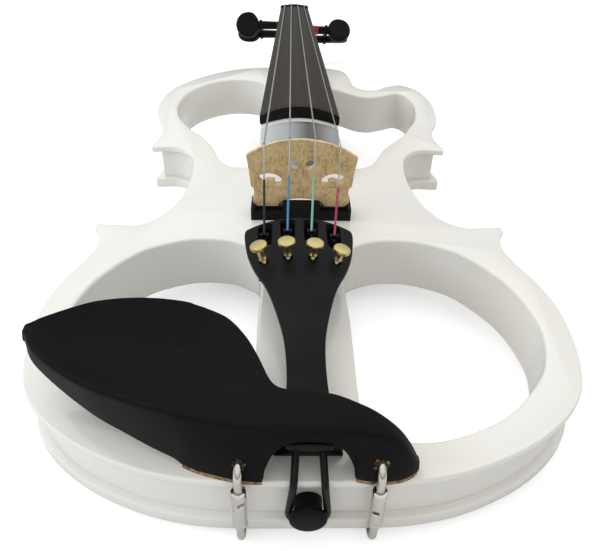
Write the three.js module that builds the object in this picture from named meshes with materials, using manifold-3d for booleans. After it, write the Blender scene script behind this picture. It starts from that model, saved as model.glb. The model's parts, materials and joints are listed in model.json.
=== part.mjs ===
import * as THREE from 'three';
import { mergeVertices } from 'three/addons/utils/BufferGeometryUtils.js';
import Module from 'manifold-3d';

// Electric violin, in millimetres. The body frame has +X to the treble side, +Y from the tail to the
// scroll and +Z out of the top. Its zero is the tail's edge on the centre line, in the plane of the back.
// At the end the whole instrument is laid on its clamp feet and its scroll.

const wasm = await Module();
wasm.setup();

// Fits
const SEAT_GAP = 0.3;
const TURN_GAP = 0.3;
const OVERRUN = 4;
const WELD = 0.0005;

// Body
const BODY_LENGTH = 338.8;
const LOWER_BOUT = 200;
const UPPER_BOUT = 173.6;
const WAIST = 111.6;
const LOWER_CORNERS = 186;
const UPPER_CORNERS = 163.2;
const BODY_THICKNESS = 25.5;
const TOP_FLANGE = 3.2;
const BACK_FLANGE = 5.5;
const FLANGE_OVERHANG = 2.8;
const FLANGE_ROUND = 1.2;
const TOP_ROUND_STEPS = 2;
const BACK_ROUND_STEPS = 1;
const LOWER_RING = 11;
const UPPER_RING = 12.3;
const LOWER_SPINE = 35;
const UPPER_SPINE = 41;
const LOWER_BOUT_SHARES = [
  [0, 0], [0.33, 0.0027], [0.522, 0.0153], [0.741, 0.0466], [0.902, 0.09], [0.97, 0.1352],
  [1, 0.2066], [0.988, 0.2479], [0.955, 0.2834], [0.912, 0.3158], [0.89, 0.3453], [0.9, 0.369],
];
const LOWER_CORNER_SHARES = [0.3852, 0.3955];
const UPPER_CORNER_SHARES = [0.6216, 0.6325];
const WAIST_BELOW_SHARES = [
  [0.758, 0.3946], [0.527, 0.3937], [0.3145, 0.4088], [0.161, 0.4354], [0.046, 0.4723], [0, 0.5165],
];
const WAIST_ABOVE_SHARES = [
  [0.004, 0.5549], [0.087, 0.5918], [0.283, 0.6145], [0.539, 0.6234], [0.795, 0.6225],
];
const BASS_BOUT_SHARES = [
  [0.908, 0.667], [0.917, 0.6995], [0.97, 0.7379], [1, 0.7851], [0.991, 0.8294], [0.945, 0.8737],
  [0.847, 0.9135], [0.677, 0.9563], [0.467, 0.9888], [0.248, 1], [0, 1],
];
const TREBLE_BOUT_SHARES = [
  [0.908, 0.667], [0.922, 0.6995], [0.977, 0.7379], [1, 0.7792], [0.991, 0.8383], [0.925, 0.8884],
  [0.8145, 0.9106], [0.703, 0.9014], [0.6175, 0.8837], [0.5184, 0.8843], [0.4528, 0.9032],
  [0.43, 0.9445], [0.392, 0.9814], [0.288, 0.9982], [0, 1],
];
const LOWER_OPENING_SHARES = [
  [0, 0.08], [0, 0.2], [0, 0.3188], [0.04, 0.3368], [0.158, 0.3542], [0.287, 0.3604], [0.432, 0.3595],
  [0.569, 0.3501], [0.717, 0.3321], [0.877, 0.289], [0.944, 0.26], [0.986, 0.224], [0.999, 0.1907],
  [0.973, 0.1597], [0.93, 0.1355], [0.864, 0.1148], [0.713, 0.0809], [0.618, 0.0667], [0.515, 0.0561],
  [0.403, 0.0475], [0.2965, 0.0431], [0.19, 0.0436], [0.07, 0.0505], [0.01, 0.064],
];
const BASS_OPENING_SHARES = [
  [0, 0.5844], [0, 0.74], [0, 0.9002], [0.05, 0.9145], [0.1685, 0.9242], [0.339, 0.9283],
  [0.5056, 0.9233], [0.7056, 0.9041], [0.887, 0.8681], [0.976, 0.8291], [1, 0.7866], [0.941, 0.7423],
  [0.794, 0.6972], [0.6685, 0.673], [0.52, 0.632], [0.43, 0.5909], [0.361, 0.5711], [0.2667, 0.5605],
  [0.1185, 0.5611], [0.028, 0.5697],
];
const TREBLE_OPENING_SHARES = [
  [0, 0.5785], [0, 0.74], [0, 0.8752], [0.0556, 0.8822], [0.194, 0.8707], [0.35, 0.8515], [0.507, 0.8445],
  [0.676, 0.8536], [0.8537, 0.8669], [0.928, 0.8586], [0.998, 0.8259], [1, 0.7869], [0.9426, 0.742],
  [0.8407, 0.7069], [0.7704, 0.6836], [0.628, 0.6532], [0.5, 0.6243], [0.4148, 0.5924],
  [0.324, 0.5694], [0.1926, 0.559], [0.065, 0.5623],
];
const OUTLINE_STEPS = 2;
const OPENING_STEPS = 2;

// Playing geometry
const BRIDGE_LINE = 143.3;
const STRING_LENGTH = 328;
const SPACING_AT_BRIDGE = 33.5;
const SPACING_AT_NUT = 16.4;
const HEIGHT_AT_BRIDGE = 60.7;
const ACTION_DROP = 0.6;
const BRIDGE_CURVE = 42;

// Fingerboard
const BOARD_LENGTH = 270;
const BOARD_WIDE = 42;
const BOARD_NARROW = 24;
const BOARD_TOP_AT_END = 54.2;
const BOARD_TOP_AT_NUT = 33.4;
const BOARD_CURVE = 42;
const BOARD_SIDE = 4.8;
const BOARD_HOLLOW = 4.2;
const BOARD_FACETS = 8;

// Nut
const NUT_LENGTH = 5.5;
const NUT_ABOVE_BOARD = 0.9;
const NUT_DEPTH = 6.4;

// Neck and tongue
const TONGUE_FRONT = 168;
const TONGUE_WIDTH = 41;
const TONGUE_CROWN = 4.2;
const NECK_THICK_AT_NUT = 13.4;
const NECK_THICK_AT_ROOT = 15.8;
const HEEL_LENGTH = 22;
const HEEL_FOOT = 2.5;
const NECK_EDGE = 1;
const NECK_FACETS = 10;
const NECK_POWER = 0.8;
const RAMP_POWER = 1.25;
const RAMP_STATION_SHARES = [0, 0.25, 0.5, 0.75, 1];
const HEEL_STATION_SHARES = [0, 0.1, 0.25, 0.5, 0.75, 1];

// Pegbox and scroll
const PEGBOX_SLOPE = 35 * Math.PI / 180;
const PEGBOX_LENGTH = 64;
const PEGBOX_WIDE = 25;
const PEGBOX_NARROW = 18.5;
const PEGBOX_DEEP = 24;
const PEGBOX_SHALLOW = 20;
const PEGBOX_SHOULDER = 1.6;
const CHEEK = 3.6;
const PEGBOX_FLOOR = 3.4;
const SCROLL_RADIUS = 13.5;
const SCROLL_EYE = 3.4;
const SCROLL_EYE_WIDTH = 38;
const SCROLL_TURNS = 2.25;
const SCROLL_STEPS = 16;
const SCROLL_START = 0.75 * Math.PI;
const SCROLL_CENTRE_SHARES = [1.05, -0.5];
const SCROLL_WINDING_POWER = 0.8;
const SCROLL_WIDENING_POWER = 1.3;

// Pegs
const PEG_STATION_SHARES = { g: 0.25, e: 0.42, d: 0.62, a: 0.82 };
const PEG_BELOW_CHEEK = 12.6;
const PEG_THICK = 3.3;
const PEG_THIN = 2.8;
const PEG_COLLAR = 4.8;
const PEG_COLLAR_AT = 29;
const PEG_COLLAR_LENGTH = 3;
const PEG_COLLAR_THROAT = 3.4;
const PEG_HEAD_LENGTH = 20.5;
const PEG_HEAD_HEIGHT = 23;
const PEG_HEAD_THICK = 8;
const PEG_HEAD_ROUND = 2.6;
const PEG_FACETS = 12;
const PEG_TURNS = { e: 0, g: 0, d: 50 * Math.PI / 180, a: 80 * Math.PI / 180 };
const PEG_HEAD_SHARES = [
  [0, 0.34], [0.04, 0.6], [0.16, 0.9], [0.36, 1], [0.6, 0.95], [0.82, 0.74], [0.96, 0.42], [1, 0.12],
];
const WINDING_TURNS = 4;
const WINDING_PITCH = 1.35;
const WINDING_WIRE = 0.42;
const WINDING_STEPS = 12;
const WINDING_SIDES = 5;
const WINDING_START = 0.3 * Math.PI;
const WINDING_PLACES = { g: -2.6, d: 2.4, a: -2.2, e: 2.6 };
const SILK_WRAP_LENGTH = 7.4;
const SILK_WRAP_THICK = 0.5;
const SILK_WRAP_OFF = 2.9;

// Bridge and pickup tray
const TRAY_WIDTH = 46;
const TRAY_DEPTH = 11;
const TRAY_HEIGHT = 4.2;
const TRAY_BLOCK_WIDTH = 17;
const TRAY_BLOCK_HEIGHT = 4.6;
const TRAY_WALL = 1.6;
const TRAY_WALL_HEIGHT = 1.8;
const PIEZO_WIDTH = 41;
const PIEZO_THICK = 0.8;
const PIEZO_DEPTH = 4.6;
const BRIDGE_TOP = 49.4;
const BRIDGE_FOOT_THICK = 4.4;
const BRIDGE_TOP_THICK = 1.6;
const BRIDGE_SIDE_SHARES = [
  [0.42, 0], [0.81, 0], [0.885, 0.07], [0.9, 0.14], [0.87, 0.25], [0.88, 0.38], [0.918, 0.41], [0.955, 0.72],
];
const BRIDGE_ARCH_SHARES = [0.42, 0.03, 0.14];
const BRIDGE_EYE_SHARES = [
  [0.251, 0.901], [0.196, 0.943], [0.128, 0.939], [0.053, 0.879], [0.062, 0.831], [0.092, 0.781],
  [0.16, 0.792], [0.228, 0.848],
];
const BRIDGE_KIDNEY_SHARES = [
  [0.784, 0.615], [0.711, 0.665], [0.6, 0.685], [0.475, 0.66], [0.375, 0.585], [0.36, 0.49],
  [0.42, 0.45], [0.487, 0.462], [0.49, 0.525], [0.6, 0.55], [0.711, 0.5], [0.765, 0.55],
];

// Strings
const STRING_RADII = { g: 0.4, d: 0.38, a: 0.34, e: 0.24 };
const SILK_RADIUS = 0.62;

// Tailpiece
const TAILPIECE_LENGTH = 104.5;
const TAILPIECE_TAIL = 3;
const TAILPIECE_HEAD_TOP = 46.8;
const TAILPIECE_TAIL_TOP = 39;
const TAILPIECE_WIDTH = 43.4;
const TAILPIECE_CURVE = 52;
const TAILPIECE_WALL = 3.2;
const TAILPIECE_SWING = -1.9;
const TAILPIECE_EDGE_SHARE = 0.45;
const TAILPIECE_FACETS = 8;
const TAILPIECE_STATIONS = 14;
const TAILPIECE_BOW = 3;
const TAILPIECE_WIDTH_SHARES = [
  [0, 0.32], [0.04, 0.345], [0.12, 0.315], [0.22, 0.288], [0.3, 0.29], [0.383, 0.318], [0.507, 0.43],
  [0.627, 0.585], [0.737, 0.797], [0.82, 0.91], [0.88, 0.96], [0.975, 1], [1, 0.97],
];
const SLOT_WIDTH = 5;
const SLOT_LENGTH = 14;
const SLOT_FROM_HEAD = 1.8;

// Fine tuners
const TUNER_SPACING_SHARES = { g: -0.636, d: -0.217, a: 0.217, e: 0.636 };
const TUNER_STANDS = { g: 7.8, d: 7.6, a: 6.9, e: 6.4 };
const TUNER_FROM_HEAD = 24;
const TUNER_SCREW = 0.9;
const TUNER_STEM = 1.5;
const TUNER_STEM_LIFT = 1;
const TUNER_HEAD = 3.3;
const TUNER_HEAD_THICK = 1.8;
const TUNER_HEAD_EDGE = 0.36;
const TUNER_TIP = 3.4;
const LEVER_THICK = 3.6;
const LEVER_BAR = 2.2;
const LEVER_PIVOT_FROM_HEAD = 11.5;
const LEVER_PIVOT_BELOW = 9;
const LEVER_PIN = 1.1;
const LEVER_HOOK_RISE = 1.4;
const LEVER_FORK_DEPTH = 3;
const LUG_THICK = 1.1;
const LUG_RADIUS = 2.3;

// Saddle, tail gut and end button
const SADDLE_WIDTH = 21;
const SADDLE_FRONT = 7.2;
const SADDLE_DEPTH = 6;
const SADDLE_HEIGHT = 6.1;
const SADDLE_SHARES = [[1, 0], [0.8, 0.45], [0.45, 1]];
const GUT_RADIUS = 1.15;
const GUT_SPACING = 7;
const GUT_END_DEPTH = 8.4;
const GUT_BELOW_TOP = 2.2;
const GUT_CORNER = [-1.8, 26.9];
const GUT_BEND = 2.4;
const BUTTON_HEIGHT = 12.7;
const BUTTON_HEAD = 6.2;
const BUTTON_NECK = 4.4;
const BUTTON_HEAD_THICK = 3;
const BUTTON_FACE = 5.3;
const BUTTON_ROUND = 1.1;
const BUTTON_SHANK = 3.6;
const BUTTON_SHANK_END = 3.1;
const BUTTON_SHANK_LENGTH = 16;

// Chinrest
const CHIN_REACH = 87.4;
const CHIN_FAR = 56.3;
const CHIN_TOP = 50.5;
const CHIN_DISH = 6.5;
const CHIN_WALL = 4;
const CHIN_LIP = 1.2;
const CHIN_FRONT = 2.7;
const CHIN_COLUMNS = 8;
const CHIN_FOOT_COLUMNS = 2;
const CORK_PAD = 1;
// From the tip to the treble end: across; near and far edges; heights of the rim and of the underside;
// the wall's foot; the back of the foot; how deep it is dished
const CHIN_STATION_SHARES = [
  [-1, 0.622, 0.686, 1, 0.876, 0.627, 0.648, 0],
  [-0.961, 0.544, 0.774, 1, 0.799, 0.558, 0.631, 0.15],
  [-0.892, 0.437, 0.867, 1, 0.662, 0.469, 0.568, 0.5],
  [-0.801, 0.33, 0.938, 1, 0.509, 0.384, 0.506, 0.85],
  [-0.709, 0.247, 0.982, 1, 0.359, 0.302, 0.444, 1],
  [-0.618, 0.188, 1, 1, 0.218, 0.224, 0.382, 1],
  [-0.526, 0.14, 0.98, 0.991, 0.111, 0.158, 0.329, 1],
  [-0.446, 0.115, 0.931, 0.949, 0.051, 0.092, 0.298, 0.85],
  [-0.423, 0.11, 0.911, 0.923, 0, 0.053, 0.29, 0.8],
  [-0.378, 0.103, 0.863, 0.876, 0, 0.048, 0.29, 0.7],
  [-0.297, 0.096, 0.76, 0.829, 0, 0.048, 0.29, 0.5],
  [-0.229, 0.091, 0.65, 0.803, 0, 0.048, 0.29, 0.3],
  [-0.183, 0.085, 0.54, 0.791, 0, 0.048, 0.281, 0.18],
  [-0.154, 0.082, 0.444, 0.786, 0, 0.048, 0.27, 0.1],
  [-0.143, 0.078, 0.391, 0.786, 0.402, 0.05, 0.258, 0.05],
  [-0.114, 0.073, 0.309, 0.786, 0.547, 0.053, 0.231, 0],
  [-0.069, 0.066, 0.29, 0.791, 0.62, 0.055, 0.224, -0.06],
  [0.069, 0.06, 0.277, 0.791, 0.62, 0.055, 0.22, -0.06],
  [0.114, 0.059, 0.266, 0.778, 0.547, 0.053, 0.217, -0.06],
  [0.143, 0.057, 0.256, 0.761, 0.402, 0.05, 0.213, -0.06],
  [0.154, 0.057, 0.25, 0.752, 0, 0.048, 0.213, -0.06],
  [0.217, 0.055, 0.217, 0.679, 0, 0.048, 0.192, -0.06],
  [0.275, 0.053, 0.174, 0.577, 0, 0.048, 0.153, -0.05],
  [0.315, 0.052, 0.146, 0.449, 0, 0.048, 0.131, -0.03],
  [0.346, 0.05, 0.121, 0.278, 0, 0.048, 0.107, 0],
  [0.364, 0.048, 0.096, 0.107, 0, 0.048, 0.087, 0],
];
const CORK_STATIONS = { bass: [8, 13], treble: [20, 25] };

// Chinrest clamps
const CLAMP_SPACING = 40.5;
const CLAMP_AXIS_Y = -2.7;
const BARREL_RADIUS = 2.3;
const BARREL_LENGTH = 19;
const BARREL_BOTTOM = 7;
const BARREL_HOLE = 0.85;
const BARREL_HOLE_SHARES = [0.38, 0.62];
const ROD_RADIUS = 1.3;
const HOOK_HEIGHT = 39.4;
const HOOK_BEND = 3.2;
const HOOK_DEPTH = 5.6;
const ROD_IN_BARREL = 6.5;
const FOOT_BEND = 2;
const FOOT_NEAR = 3.4;
const FOOT_REACH = 11;
const FOOT_LAP = 1.5;
const FOOT_CORK = 1;
const FOOT_PAD = 1.6;
const FOOT_PAD_WIDTH = 11;

// Control panel, battery and electronics
const PANEL_LENGTH = 70;
const PANEL_HEIGHT = 50;
const PANEL_THICK = 2;
const PANEL_CENTRE = 156;
const PANEL_LEDGE = 3;
const POCKET_DEPTH = 21;
const BATTERY_LENGTH = 48.5;
const BATTERY_WIDTH = 26.5;
const BATTERY_THICK = 16.5;
const DOOR_MARGIN = 1.4;
const DOOR_THICK = 1.5;
const HINGE_PIN = 0.75;
const KNOB_RADIUS = 6.5;
const KNOB_RISE = 4;
const KNOB_ROUND = 0.9;
const KNOB_GROOVE = 0.6;
const KNOB_SHAFT = 2.8;
const KNOB_SPACING = 26;
const PREAMP_THICK = 1.6;
const PREAMP_ABOVE_PANEL = 9;
const PREAMP_REACH = 17.6;
const JACK_HEIGHT = 13.2;
const JACK_BARREL = 4.6;
const JACK_BORE = 3.2;
const JACK_RING = 6.2;
const JACK_RING_THICK = 1.4;
const JACK_LENGTH = 24;
const JACK_ROUND = 0.6;
const JACK_LINE = 166;

// Colours
const PAINT = { color: 0xf1ede6, roughness: 0.12, metalness: 0 };
const EBONY = { color: 0x1d1c1d, roughness: 0.42, metalness: 0 };
const BOARD_WOOD = { color: 0x46423a, roughness: 0.5, metalness: 0 };
const MAPLE = { color: 0xa0875f, roughness: 0.6, metalness: 0 };
const PLASTIC = { color: 0x222224, roughness: 0.5, metalness: 0 };
const GOLD = { color: 0xc9a24a, roughness: 0.25, metalness: 1 };
const CHROME = { color: 0xc4c8cc, roughness: 0.15, metalness: 1 };
const STEEL = { color: 0xb9bcc0, roughness: 0.3, metalness: 1 };
const CORK = { color: 0x966e50, roughness: 0.9, metalness: 0 };
const BOARD_GREEN = { color: 0x2c5b3c, roughness: 0.6, metalness: 0 };
const SILK_COLOURS = { g: 0x1b1b1e, d: 0x3f86c4, a: 0x7fc4a8, e: 0xb0385c };
const GUT = { color: 0x18181a, roughness: 0.35, metalness: 0 };

// Solids

function toSolid(geometry) {
  const bare = geometry.index ? geometry.toNonIndexed() : geometry.clone();
  bare.deleteAttribute('normal');
  bare.deleteAttribute('uv');
  const welded = mergeVertices(bare, WELD);
  const solid = new wasm.Manifold(new wasm.Mesh({
    numProp: 3,
    vertProperties: new Float32Array(welded.attributes.position.array),
    triVerts: new Uint32Array(welded.index.array),
  }));
  return solid.volume() < 0 ? toSolid(turnedOut(welded)) : solid;
}

function turnedOut(geometry) {
  const flipped = geometry.clone();
  const index = Array.from(geometry.index.array);
  for (let i = 0; i < index.length; i += 3) {
    const swap = index[i];
    index[i] = index[i + 1];
    index[i + 1] = swap;
  }
  flipped.setIndex(index);
  return flipped;
}

function toGeometry(solid) {
  const mesh = solid.getMesh();
  const geometry = new THREE.BufferGeometry();
  geometry.setAttribute('position', new THREE.BufferAttribute(new Float32Array(mesh.vertProperties), 3));
  geometry.setIndex(Array.from(mesh.triVerts));
  geometry.computeVertexNormals();
  return geometry;
}

const joined = (...pieces) => pieces.reduce((whole, piece) => whole.add(piece));
const cutBy = (blank, ...tools) => tools.reduce((rest, tool) => rest.subtract(tool), blank);

function slab(across, along, topAt, bottomAt) {
  // A sheet of two point grids, top and bottom, closed by a wall all round
  const points = [];
  for (const surface of [topAt, bottomAt]) {
    for (let j = 0; j <= along; j++) {
      for (let i = 0; i <= across; i++) {
        points.push(...surface(i / across, j / along));
      }
    }
  }
  const row = across + 1;
  const layer = row * (along + 1);
  const index = [];
  const quad = (a, b, c, d) => index.push(a, b, c, a, c, d);
  for (let j = 0; j < along; j++) {
    for (let i = 0; i < across; i++) {
      const a = j * row + i;
      quad(a, a + 1, a + row + 1, a + row);
      quad(layer + a, layer + a + row, layer + a + row + 1, layer + a + 1);
    }
  }
  const rim = [];
  for (let i = 0; i < across; i++) rim.push(i);
  for (let j = 0; j < along; j++) rim.push(j * row + across);
  for (let i = across; i > 0; i--) rim.push(along * row + i);
  for (let j = along; j > 0; j--) rim.push(j * row);
  rim.forEach((here, k) => {
    const next = rim[(k + 1) % rim.length];
    quad(here, layer + here, layer + next, next);
  });
  return toSolid(indexed(points, index));
}

function indexed(points, index) {
  const geometry = new THREE.BufferGeometry();
  geometry.setAttribute('position', new THREE.Float32BufferAttribute(points, 3));
  geometry.setIndex(index);
  return geometry;
}

function prism(outline, low, high) {
  const shape = new THREE.Shape(outline);
  const geometry = new THREE.ExtrudeGeometry(shape, { depth: high - low, bevelEnabled: false });
  geometry.translate(0, 0, low);
  return toSolid(geometry);
}

function box(low, high) {
  const size = high.map((value, axis) => value - low[axis]);
  const geometry = new THREE.BoxGeometry(...size);
  geometry.translate(...high.map((value, axis) => (value + low[axis]) / 2));
  return toSolid(geometry);
}

function rod(from, to, radius, sides = 16, endRadius = radius) {
  const start = new THREE.Vector3(...from);
  const end = new THREE.Vector3(...to);
  const run = end.clone().sub(start);
  const geometry = new THREE.CylinderGeometry(endRadius, radius, run.length(), sides);
  const turn = new THREE.Quaternion().setFromUnitVectors(new THREE.Vector3(0, 1, 0), run.clone().normalize());
  geometry.applyQuaternion(turn);
  geometry.translate(...start.add(end).divideScalar(2));
  return toSolid(geometry);
}

class Route extends THREE.Curve {
  // A path whose steps fall on its own points
  constructor(points) {
    super();
    this.points = points.map((point) => (point.isVector3 ? point : new THREE.Vector3(...point)));
  }

  getPoint(share, target = new THREE.Vector3()) {
    const place = Math.min(Math.max(share, 0), 1) * (this.points.length - 1);
    const first = Math.min(Math.floor(place), this.points.length - 2);
    return target.lerpVectors(this.points[first], this.points[first + 1], place - first);
  }

  getPointAt(share, target) {
    return this.getPoint(share, target);
  }

  getTangentAt(share, target) {
    return this.getTangent(share, target);
  }
}

function tube(points, radius, sides) {
  const ring = Array.from({ length: sides }, (_, side) => {
    const angle = side / sides * 2 * Math.PI;
    return new THREE.Vector2(radius * Math.cos(angle), radius * Math.sin(angle));
  });
  const route = new Route(points);
  return toSolid(new THREE.ExtrudeGeometry(new THREE.Shape(ring), {
    steps: route.points.length - 1,
    bevelEnabled: false,
    extrudePath: route,
  }));
}

function corner(before, bend, after, radius, steps = 5) {
  // The points of a round bend between two straight runs that meet at the bend
  const at = new THREE.Vector3(...bend);
  const back = new THREE.Vector3(...before).sub(at).normalize();
  const on = new THREE.Vector3(...after).sub(at).normalize();
  const half = back.angleTo(on) / 2;
  const reach = radius / Math.tan(half);
  const centre = back.clone().add(on).normalize().multiplyScalar(radius / Math.sin(half)).add(at);
  const first = back.clone().multiplyScalar(reach).add(at).sub(centre);
  const last = on.clone().multiplyScalar(reach).add(at).sub(centre);
  const sweep = first.angleTo(last);
  return Array.from({ length: steps + 1 }, (_, step) => {
    const turn = sweep * step / steps;
    const a = Math.sin(sweep - turn) / Math.sin(sweep);
    const b = Math.sin(turn) / Math.sin(sweep);
    return first.clone().multiplyScalar(a).addScaledVector(last, b).add(centre);
  });
}

function revolved(profile, sides) {
  // A profile of [radius, height] points that starts and ends on the axis, which stays along +Y
  const points = profile.map(([radius, height]) => new THREE.Vector2(radius, height));
  return new THREE.LatheGeometry(points, sides);
}

function smooth(points, closed, steps) {
  const curve = new THREE.CatmullRomCurve3(
    points.map(([x, y]) => new THREE.Vector3(x, y, 0)), closed, 'centripetal');
  const spans = closed ? points.length : points.length - 1;
  const out = [];
  for (let step = 0; step < spans * steps + (closed ? 0 : 1); step++) {
    const point = curve.getPoint(step / (spans * steps));
    out.push(new THREE.Vector2(point.x, point.y));
  }
  return out;
}

const mirrored = (points) => points.map((point) => new THREE.Vector2(-point.x, point.y)).reverse();
const lerp = THREE.MathUtils.lerp;

// Body outline

function sideStretches(boutShares) {
  // The treble side's smooth stretches from the tail to the neck, which meet at the two corners
  const lowerCorner = LOWER_CORNERS / 2;
  const upperCorner = UPPER_CORNERS / 2;
  const waist = WAIST / 2;
  const lower = LOWER_BOUT_SHARES.map(([x, y]) => [x * LOWER_BOUT / 2, y * BODY_LENGTH]);
  lower.push([lowerCorner, LOWER_CORNER_SHARES[0] * BODY_LENGTH]);
  const middle = [[lowerCorner, LOWER_CORNER_SHARES[1] * BODY_LENGTH]];
  for (const [x, y] of WAIST_BELOW_SHARES) middle.push([lerp(waist, lowerCorner, x), y * BODY_LENGTH]);
  for (const [x, y] of WAIST_ABOVE_SHARES) middle.push([lerp(waist, upperCorner, x), y * BODY_LENGTH]);
  middle.push([upperCorner, UPPER_CORNER_SHARES[0] * BODY_LENGTH]);
  const upper = [[upperCorner, UPPER_CORNER_SHARES[1] * BODY_LENGTH]];
  for (const [x, y] of boutShares) upper.push([x * UPPER_BOUT / 2, y * BODY_LENGTH]);
  return [lower, middle, upper].map((stretch) => smooth(stretch, false, OUTLINE_STEPS));
}

function drawnIn(line, distance) {
  // A line moved to its left by a distance, point by point
  return line.map((point, k) => {
    const before = line[Math.max(k - 1, 0)];
    const after = line[Math.min(k + 1, line.length - 1)];
    const run = after.clone().sub(before).normalize();
    return new THREE.Vector2(point.x - run.y * distance, point.y + run.x * distance);
  });
}

function crossing(a, b, c, d) {
  const first = b.clone().sub(a);
  const second = d.clone().sub(c);
  const turn = first.cross(second);
  if (turn === 0) return null;
  const gap = c.clone().sub(a);
  const along = gap.cross(second) / turn;
  const beside = gap.cross(first) / turn;
  const meets = along >= 0 && along <= 1 && beside >= 0 && beside <= 1;
  return meets ? a.clone().addScaledVector(first, along) : null;
}

function trimmed(first, second) {
  // Two stretches cut back to the point where they cross
  for (let i = first.length - 2; i >= 0; i--) {
    for (let j = 0; j < second.length - 1; j++) {
      const meet = crossing(first[i], first[i + 1], second[j], second[j + 1]);
      if (meet) return [[...first.slice(0, i + 1), meet], [meet, ...second.slice(j + 1)]];
    }
  }
  return [first, second];
}

function halfOutline(boutShares, inset) {
  let stretches = sideStretches(boutShares);
  if (inset > 0) {
    const moved = stretches.map((stretch) => drawnIn(stretch, inset));
    const [lower, rest] = trimmed(moved[0], moved[1]);
    const [middle, upper] = trimmed(rest, moved[2]);
    stretches = [lower, middle, upper];
    for (const point of [lower[0], upper[upper.length - 1]]) point.x = 0;
  }
  return stretches.flat();
}

function bodyOutline(inset) {
  const treble = halfOutline(TREBLE_BOUT_SHARES, inset);
  const bass = halfOutline(BASS_BOUT_SHARES, inset);
  const whole = [...treble, ...mirrored(bass)];
  return whole.filter((point, k) => point.distanceTo(whole[(k + 1) % whole.length]) > SEAT_GAP);
}

function opening(shares, spine, inner) {
  return smooth(shares.map(([x, y]) => [lerp(spine, inner, x), y * BODY_LENGTH]), true, OPENING_STEPS);
}

function plate(outline, low, high, roundSteps) {
  // A flange with its edges rounded above and below
  const geometry = new THREE.ExtrudeGeometry(new THREE.Shape(outline), {
    depth: high - low - 2 * FLANGE_ROUND,
    bevelEnabled: true,
    bevelThickness: FLANGE_ROUND,
    bevelSize: FLANGE_ROUND,
    bevelOffset: -FLANGE_ROUND,
    bevelSegments: roundSteps,
  });
  geometry.translate(0, 0, low + FLANGE_ROUND);
  return toSolid(geometry);
}

const waistHalf = WAIST / 2;
const ribAtWaist = waistHalf - FLANGE_OVERHANG;

function pocketTools() {
  const half = PANEL_LENGTH / 2 + SEAT_GAP;
  const low = PANEL_CENTRE - PANEL_HEIGHT / 2 - SEAT_GAP;
  const high = PANEL_CENTRE + PANEL_HEIGHT / 2 + SEAT_GAP;
  const recess = box([-half, low, -OVERRUN], [half, high, PANEL_THICK + SEAT_GAP]);
  const pocket = box(
    [-half + PANEL_LEDGE, low + PANEL_LEDGE, -OVERRUN],
    [half - PANEL_LEDGE, high - PANEL_LEDGE, POCKET_DEPTH]);
  const outside = [waistHalf + OVERRUN, JACK_LINE, JACK_HEIGHT];
  const jackWay = rod([0, JACK_LINE, JACK_HEIGHT], outside, JACK_BARREL + SEAT_GAP, 20);
  const jackSeat = rod([ribAtWaist, JACK_LINE, JACK_HEIGHT], outside, JACK_RING + SEAT_GAP, 20);
  return [recess, pocket, jackWay, jackSeat];
}

function bodyFrame() {
  const rim = bodyOutline(0);
  const rib = bodyOutline(FLANGE_OVERHANG);
  const blank = joined(
    prism(rib, FLANGE_ROUND, BODY_THICKNESS - FLANGE_ROUND),
    plate(rim, BODY_THICKNESS - TOP_FLANGE, BODY_THICKNESS, TOP_ROUND_STEPS),
    plate(rim, 0, BACK_FLANGE, BACK_ROUND_STEPS));
  const lower = opening(LOWER_OPENING_SHARES, LOWER_SPINE / 2, LOWER_BOUT / 2 - LOWER_RING);
  const treble = opening(TREBLE_OPENING_SHARES, UPPER_SPINE / 2, UPPER_BOUT / 2 - UPPER_RING);
  const bass = opening(BASS_OPENING_SHARES, UPPER_SPINE / 2, UPPER_BOUT / 2 - UPPER_RING);
  const through = [lower, mirrored(lower), treble, mirrored(bass)]
    .map((outline) => prism(outline, -OVERRUN, BODY_THICKNESS + OVERRUN));
  const buttonHole = rod(
    [0, -OVERRUN, BUTTON_HEIGHT],
    [0, FLANGE_OVERHANG + BUTTON_SHANK_LENGTH + OVERRUN, BUTTON_HEIGHT],
    BUTTON_SHANK + SEAT_GAP);
  return cutBy(blank, ...through, ...pocketTools(), buttonHole);
}

// Neck, fingerboard and nut

const NUT_LINE = BRIDGE_LINE + STRING_LENGTH;
const BOARD_END = NUT_LINE - BOARD_LENGTH;
const boardShare = (y) => (y - BOARD_END) / BOARD_LENGTH;
const boardTop = (y) => lerp(BOARD_TOP_AT_END, BOARD_TOP_AT_NUT, boardShare(y));
const boardHalf = (y) => lerp(BOARD_WIDE, BOARD_NARROW, boardShare(y)) / 2;
const crownDrop = (x, radius) => radius - Math.sqrt(radius * radius - x * x);
const boardSeat = (y) => boardTop(y) - crownDrop(boardHalf(y), BOARD_CURVE) - BOARD_SIDE;
const hollowAt = (y) => BOARD_HOLLOW * Math.max(0, 1 - (y - BOARD_END) / (BODY_LENGTH - BOARD_END));
const humpAt = (x, half, height) => height * (1 - (x / half) ** 2);

function fingerboard() {
  return slab(BOARD_FACETS, 4,
    (u, v) => {
      const y = lerp(BOARD_END, NUT_LINE - SEAT_GAP, v);
      const x = lerp(-boardHalf(y), boardHalf(y), u);
      return [x, y, boardTop(y) - crownDrop(x, BOARD_CURVE)];
    },
    (u, v) => {
      const y = lerp(BOARD_END, NUT_LINE - SEAT_GAP, v);
      const x = lerp(-boardHalf(y), boardHalf(y), u);
      return [x, y, boardSeat(y) + humpAt(x, boardHalf(y), hollowAt(y))];
    });
}

const nutTop = boardTop(NUT_LINE) + NUT_ABOVE_BOARD;
const nutSeat = boardSeat(NUT_LINE) - SEAT_GAP;

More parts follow.
